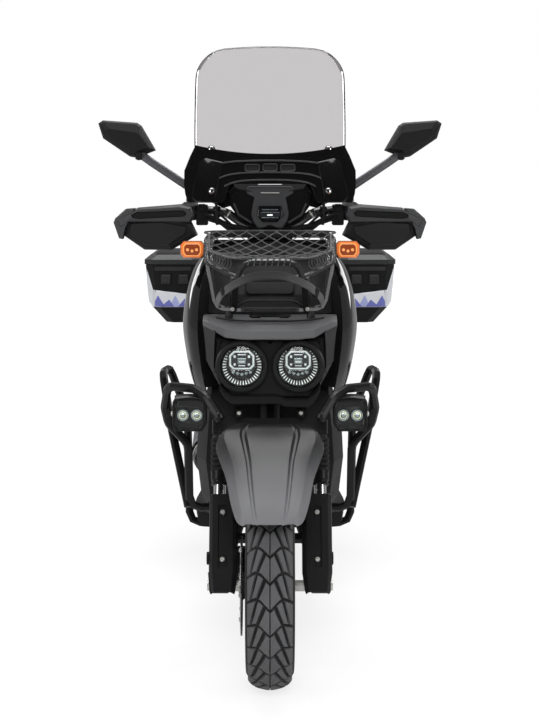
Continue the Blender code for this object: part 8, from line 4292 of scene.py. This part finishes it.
@dataclass
class PowerUnit:
    """Engine, drive case, silencer, rear shocks and stands."""

    def build(self) -> None:
        """Dresses the plain blocks and adds covers, fins, screws, shield and springs."""
        dress(["engine"], CAST_GREY, 0.003)
        dress(["exhaust"], POWDER_COAT, 0.001)
        dress(["centre_stand", "side_stand"], POWDER_COAT)
        self.case()
        self.silencer()
        for side in SIDES:
            self.shock(side)

    def case(self) -> None:
        """Adds the drive cover with ribs and screws, and the cylinder's fins."""
        cover = Shape("drive_cover")
        cover.lathe(
            at(0.1655, 1.075, 0.319),
            ACROSS,
            ((0.0, 0.062), (0.004, 0.062), (0.006, 0.058), (0.006, 0.030), (0.009, 0.026), (0.009, 0.0)),
            56,
        )
        cover.lathe(
            at(0.1655, 1.355, 0.2750),
            ACROSS,
            ((0.0, 0.046), (0.004, 0.046), (0.006, 0.042), (0.006, 0.018), (0.008, 0.015), (0.008, 0.0)),
            48,
        )
        for number in range(5):
            share = number / 4
            cover.box(
                at(0.1668, 1.165 + share * 0.100, 0.302 - share * 0.010),
                (0.0050, 0.0050, 0.078 - share * 0.012),
            )
        cover.piece(CAST_DARK, "chassis", bevel=0.0015)
        screws = Shape("drive_screws")
        for d, z in (
            (1.020, 0.372),
            (1.075, 0.392),
            (1.150, 0.380),
            (1.240, 0.358),
            (1.340, 0.327),
            (1.425, 0.300),
            (1.430, 0.240),
            (1.340, 0.222),
            (1.240, 0.232),
            (1.140, 0.246),
            (1.040, 0.256),
        ):
            middle = Vector((1.19, 0.295))
            spot = middle + (Vector((d, z)) - middle) * 0.90
            screws.bolt(at(0.1650, spot.x, spot.y), ACROSS, 0.0060, 0.0060)
        screws.piece(ZINC, "chassis")
        fins = Shape("cylinder_fins")
        for number in range(7):
            z = 0.3060 + number * 0.0145
            fins.box(at(0.0, 0.966, z), (0.136, 0.104, 0.0032))
        fins.piece(CAST_DARK, "chassis", bevel=0.0007)

    def silencer(self) -> None:
        """Adds the slotted heat shield, the band and the tail pipe."""
        nose, tail = at(-0.183, 1.060, 0.320), at(-0.186, 1.580, 0.395)
        axis = (tail - nose).normalized()
        out = (-ACROSS - axis * (-ACROSS).dot(axis)).normalized()
        up = axis.cross(out)
        shield = Shape("silencer_shield")
        for number in range(5):
            start = 0.196 + number * 0.052
            grid = []
            for step in range(4):
                along = start + step * 0.0145
                row = []
                for turn in range(13):
                    a = math.radians(-62 + 124 * turn / 12)
                    row.append(
                        nose + axis * along + (out * math.cos(
                            a,
                        ) + up * math.sin(a)) * (0.0548 if 0 < turn < 12 else 0.0512),
                    )
                grid.append(row)
            shield.sheet(grid)
        for a0 in (-60.0, 0.0, 60.0):
            grid = []
            for step in range(2):
                row = []
                for turn in range(3):
                    a = math.radians(a0 - 7 + 7 * turn)
                    row.append(
                        nose + axis * (0.196 + step * 0.2510) + (out * math.cos(
                            a,
                        ) + up * math.sin(a)) * 0.0550,
                    )
                grid.append(row)
            shield.sheet(grid)
        shield.piece(CAST_GREY, "chassis", wall=0.0012, offset=0.0, bevel=0.0003, recalc=False)
        trim = Shape("silencer_end")
        trim.lathe(
            nose + axis * 0.4695,
            axis,
            ((0.0, 0.0500), (0.0, 0.0514), (0.010, 0.0514), (0.012, 0.0500)),
            48,
        )
        trim.lathe(
            nose + axis * 0.500,
            axis,
            (
                (-0.002, 0.0160),
                (0.022, 0.0160),
                (0.024, 0.0150),
                (0.024, 0.0130),
                (0.004, 0.0125),
                (0.004, 0.0),
            ),
            36,
        )
        trim.lathe(
            nose + axis * 0.158,
            axis,
            ((0.0, 0.0500), (0.0, 0.0514), (0.014, 0.0514), (0.014, 0.0500)),
            48,
        )
        trim.piece(ZINC, "chassis")

    def shock(self, side: int) -> None:
        """Adds one damper with its coil spring."""
        label = side_name(side)
        low_behind, high_behind = 1.380, 1.326
        tilt = math.atan2(low_behind - high_behind, 0.243)
        low = at(side * 0.105, low_behind, 0.342 + 0.0003 + 0.012 * math.sin(tilt))
        high = at(side * 0.108, high_behind, 0.5893)
        axis = (high - low).normalized()
        span = (high - low).length
        damper = Shape(f"shock_body_{label}")
        damper.lathe(
            low,
            axis,
            (
                (0.0, 0.0110),
                (0.020, 0.0118),
                (0.028, 0.0118),
                (0.030, 0.0210),
                (0.037, 0.0210),
                (0.038, 0.0130),
                (0.120, 0.0128),
                (0.122, 0.0065),
                (span - 0.036, 0.0065),
                (span - 0.035, 0.0205),
                (span - 0.028, 0.0205),
                (span - 0.026, 0.0120),
                (span, 0.0110),
            ),
            40,
        )
        damper.piece(CAST_DARK, "chassis", replaces=[f"rear_shock_{label}"], bevel=0.0006)
        side_a = axis.orthogonal().normalized()
        side_b = axis.cross(side_a)
        route = []
        turns, steps = 7.5, 150
        start, end = 0.0400, span - 0.0385
        for step in range(steps + 1):
            share = step / steps
            a = math.tau * turns * share
            route.append(
                low + axis * (start + (end - start) * share) + (side_a * math.cos(
                    a,
                ) + side_b * math.sin(a)) * 0.0172,
            )
        spring = Shape(f"shock_spring_{label}")
        spring.tube(route, 0.0034, 10)
        spring.piece(CHROME, "chassis")


# The whole scooter


def main() -> None:
    """Builds the stage and then every sub-assembly, and reports each one."""
    Studio().build()
    parts = [Wheels(), Fork(), FrontFender(), Nose(), Wings(), FrontRack(), CrashBars()]
    for side in SIDES:
        parts += [Controls(side), HandGuard(side), Mirror(side), SideBox(side)]
    parts += [Cowl(), Screen(), Deck(), Seat(), Tail(), PowerUnit()]
    for part in parts:
        log.info("building %s", type(part).__name__)
        part.build()


if __name__ == "__main__":
    logging.basicConfig(level=logging.INFO, format="%(message)s")
    main()
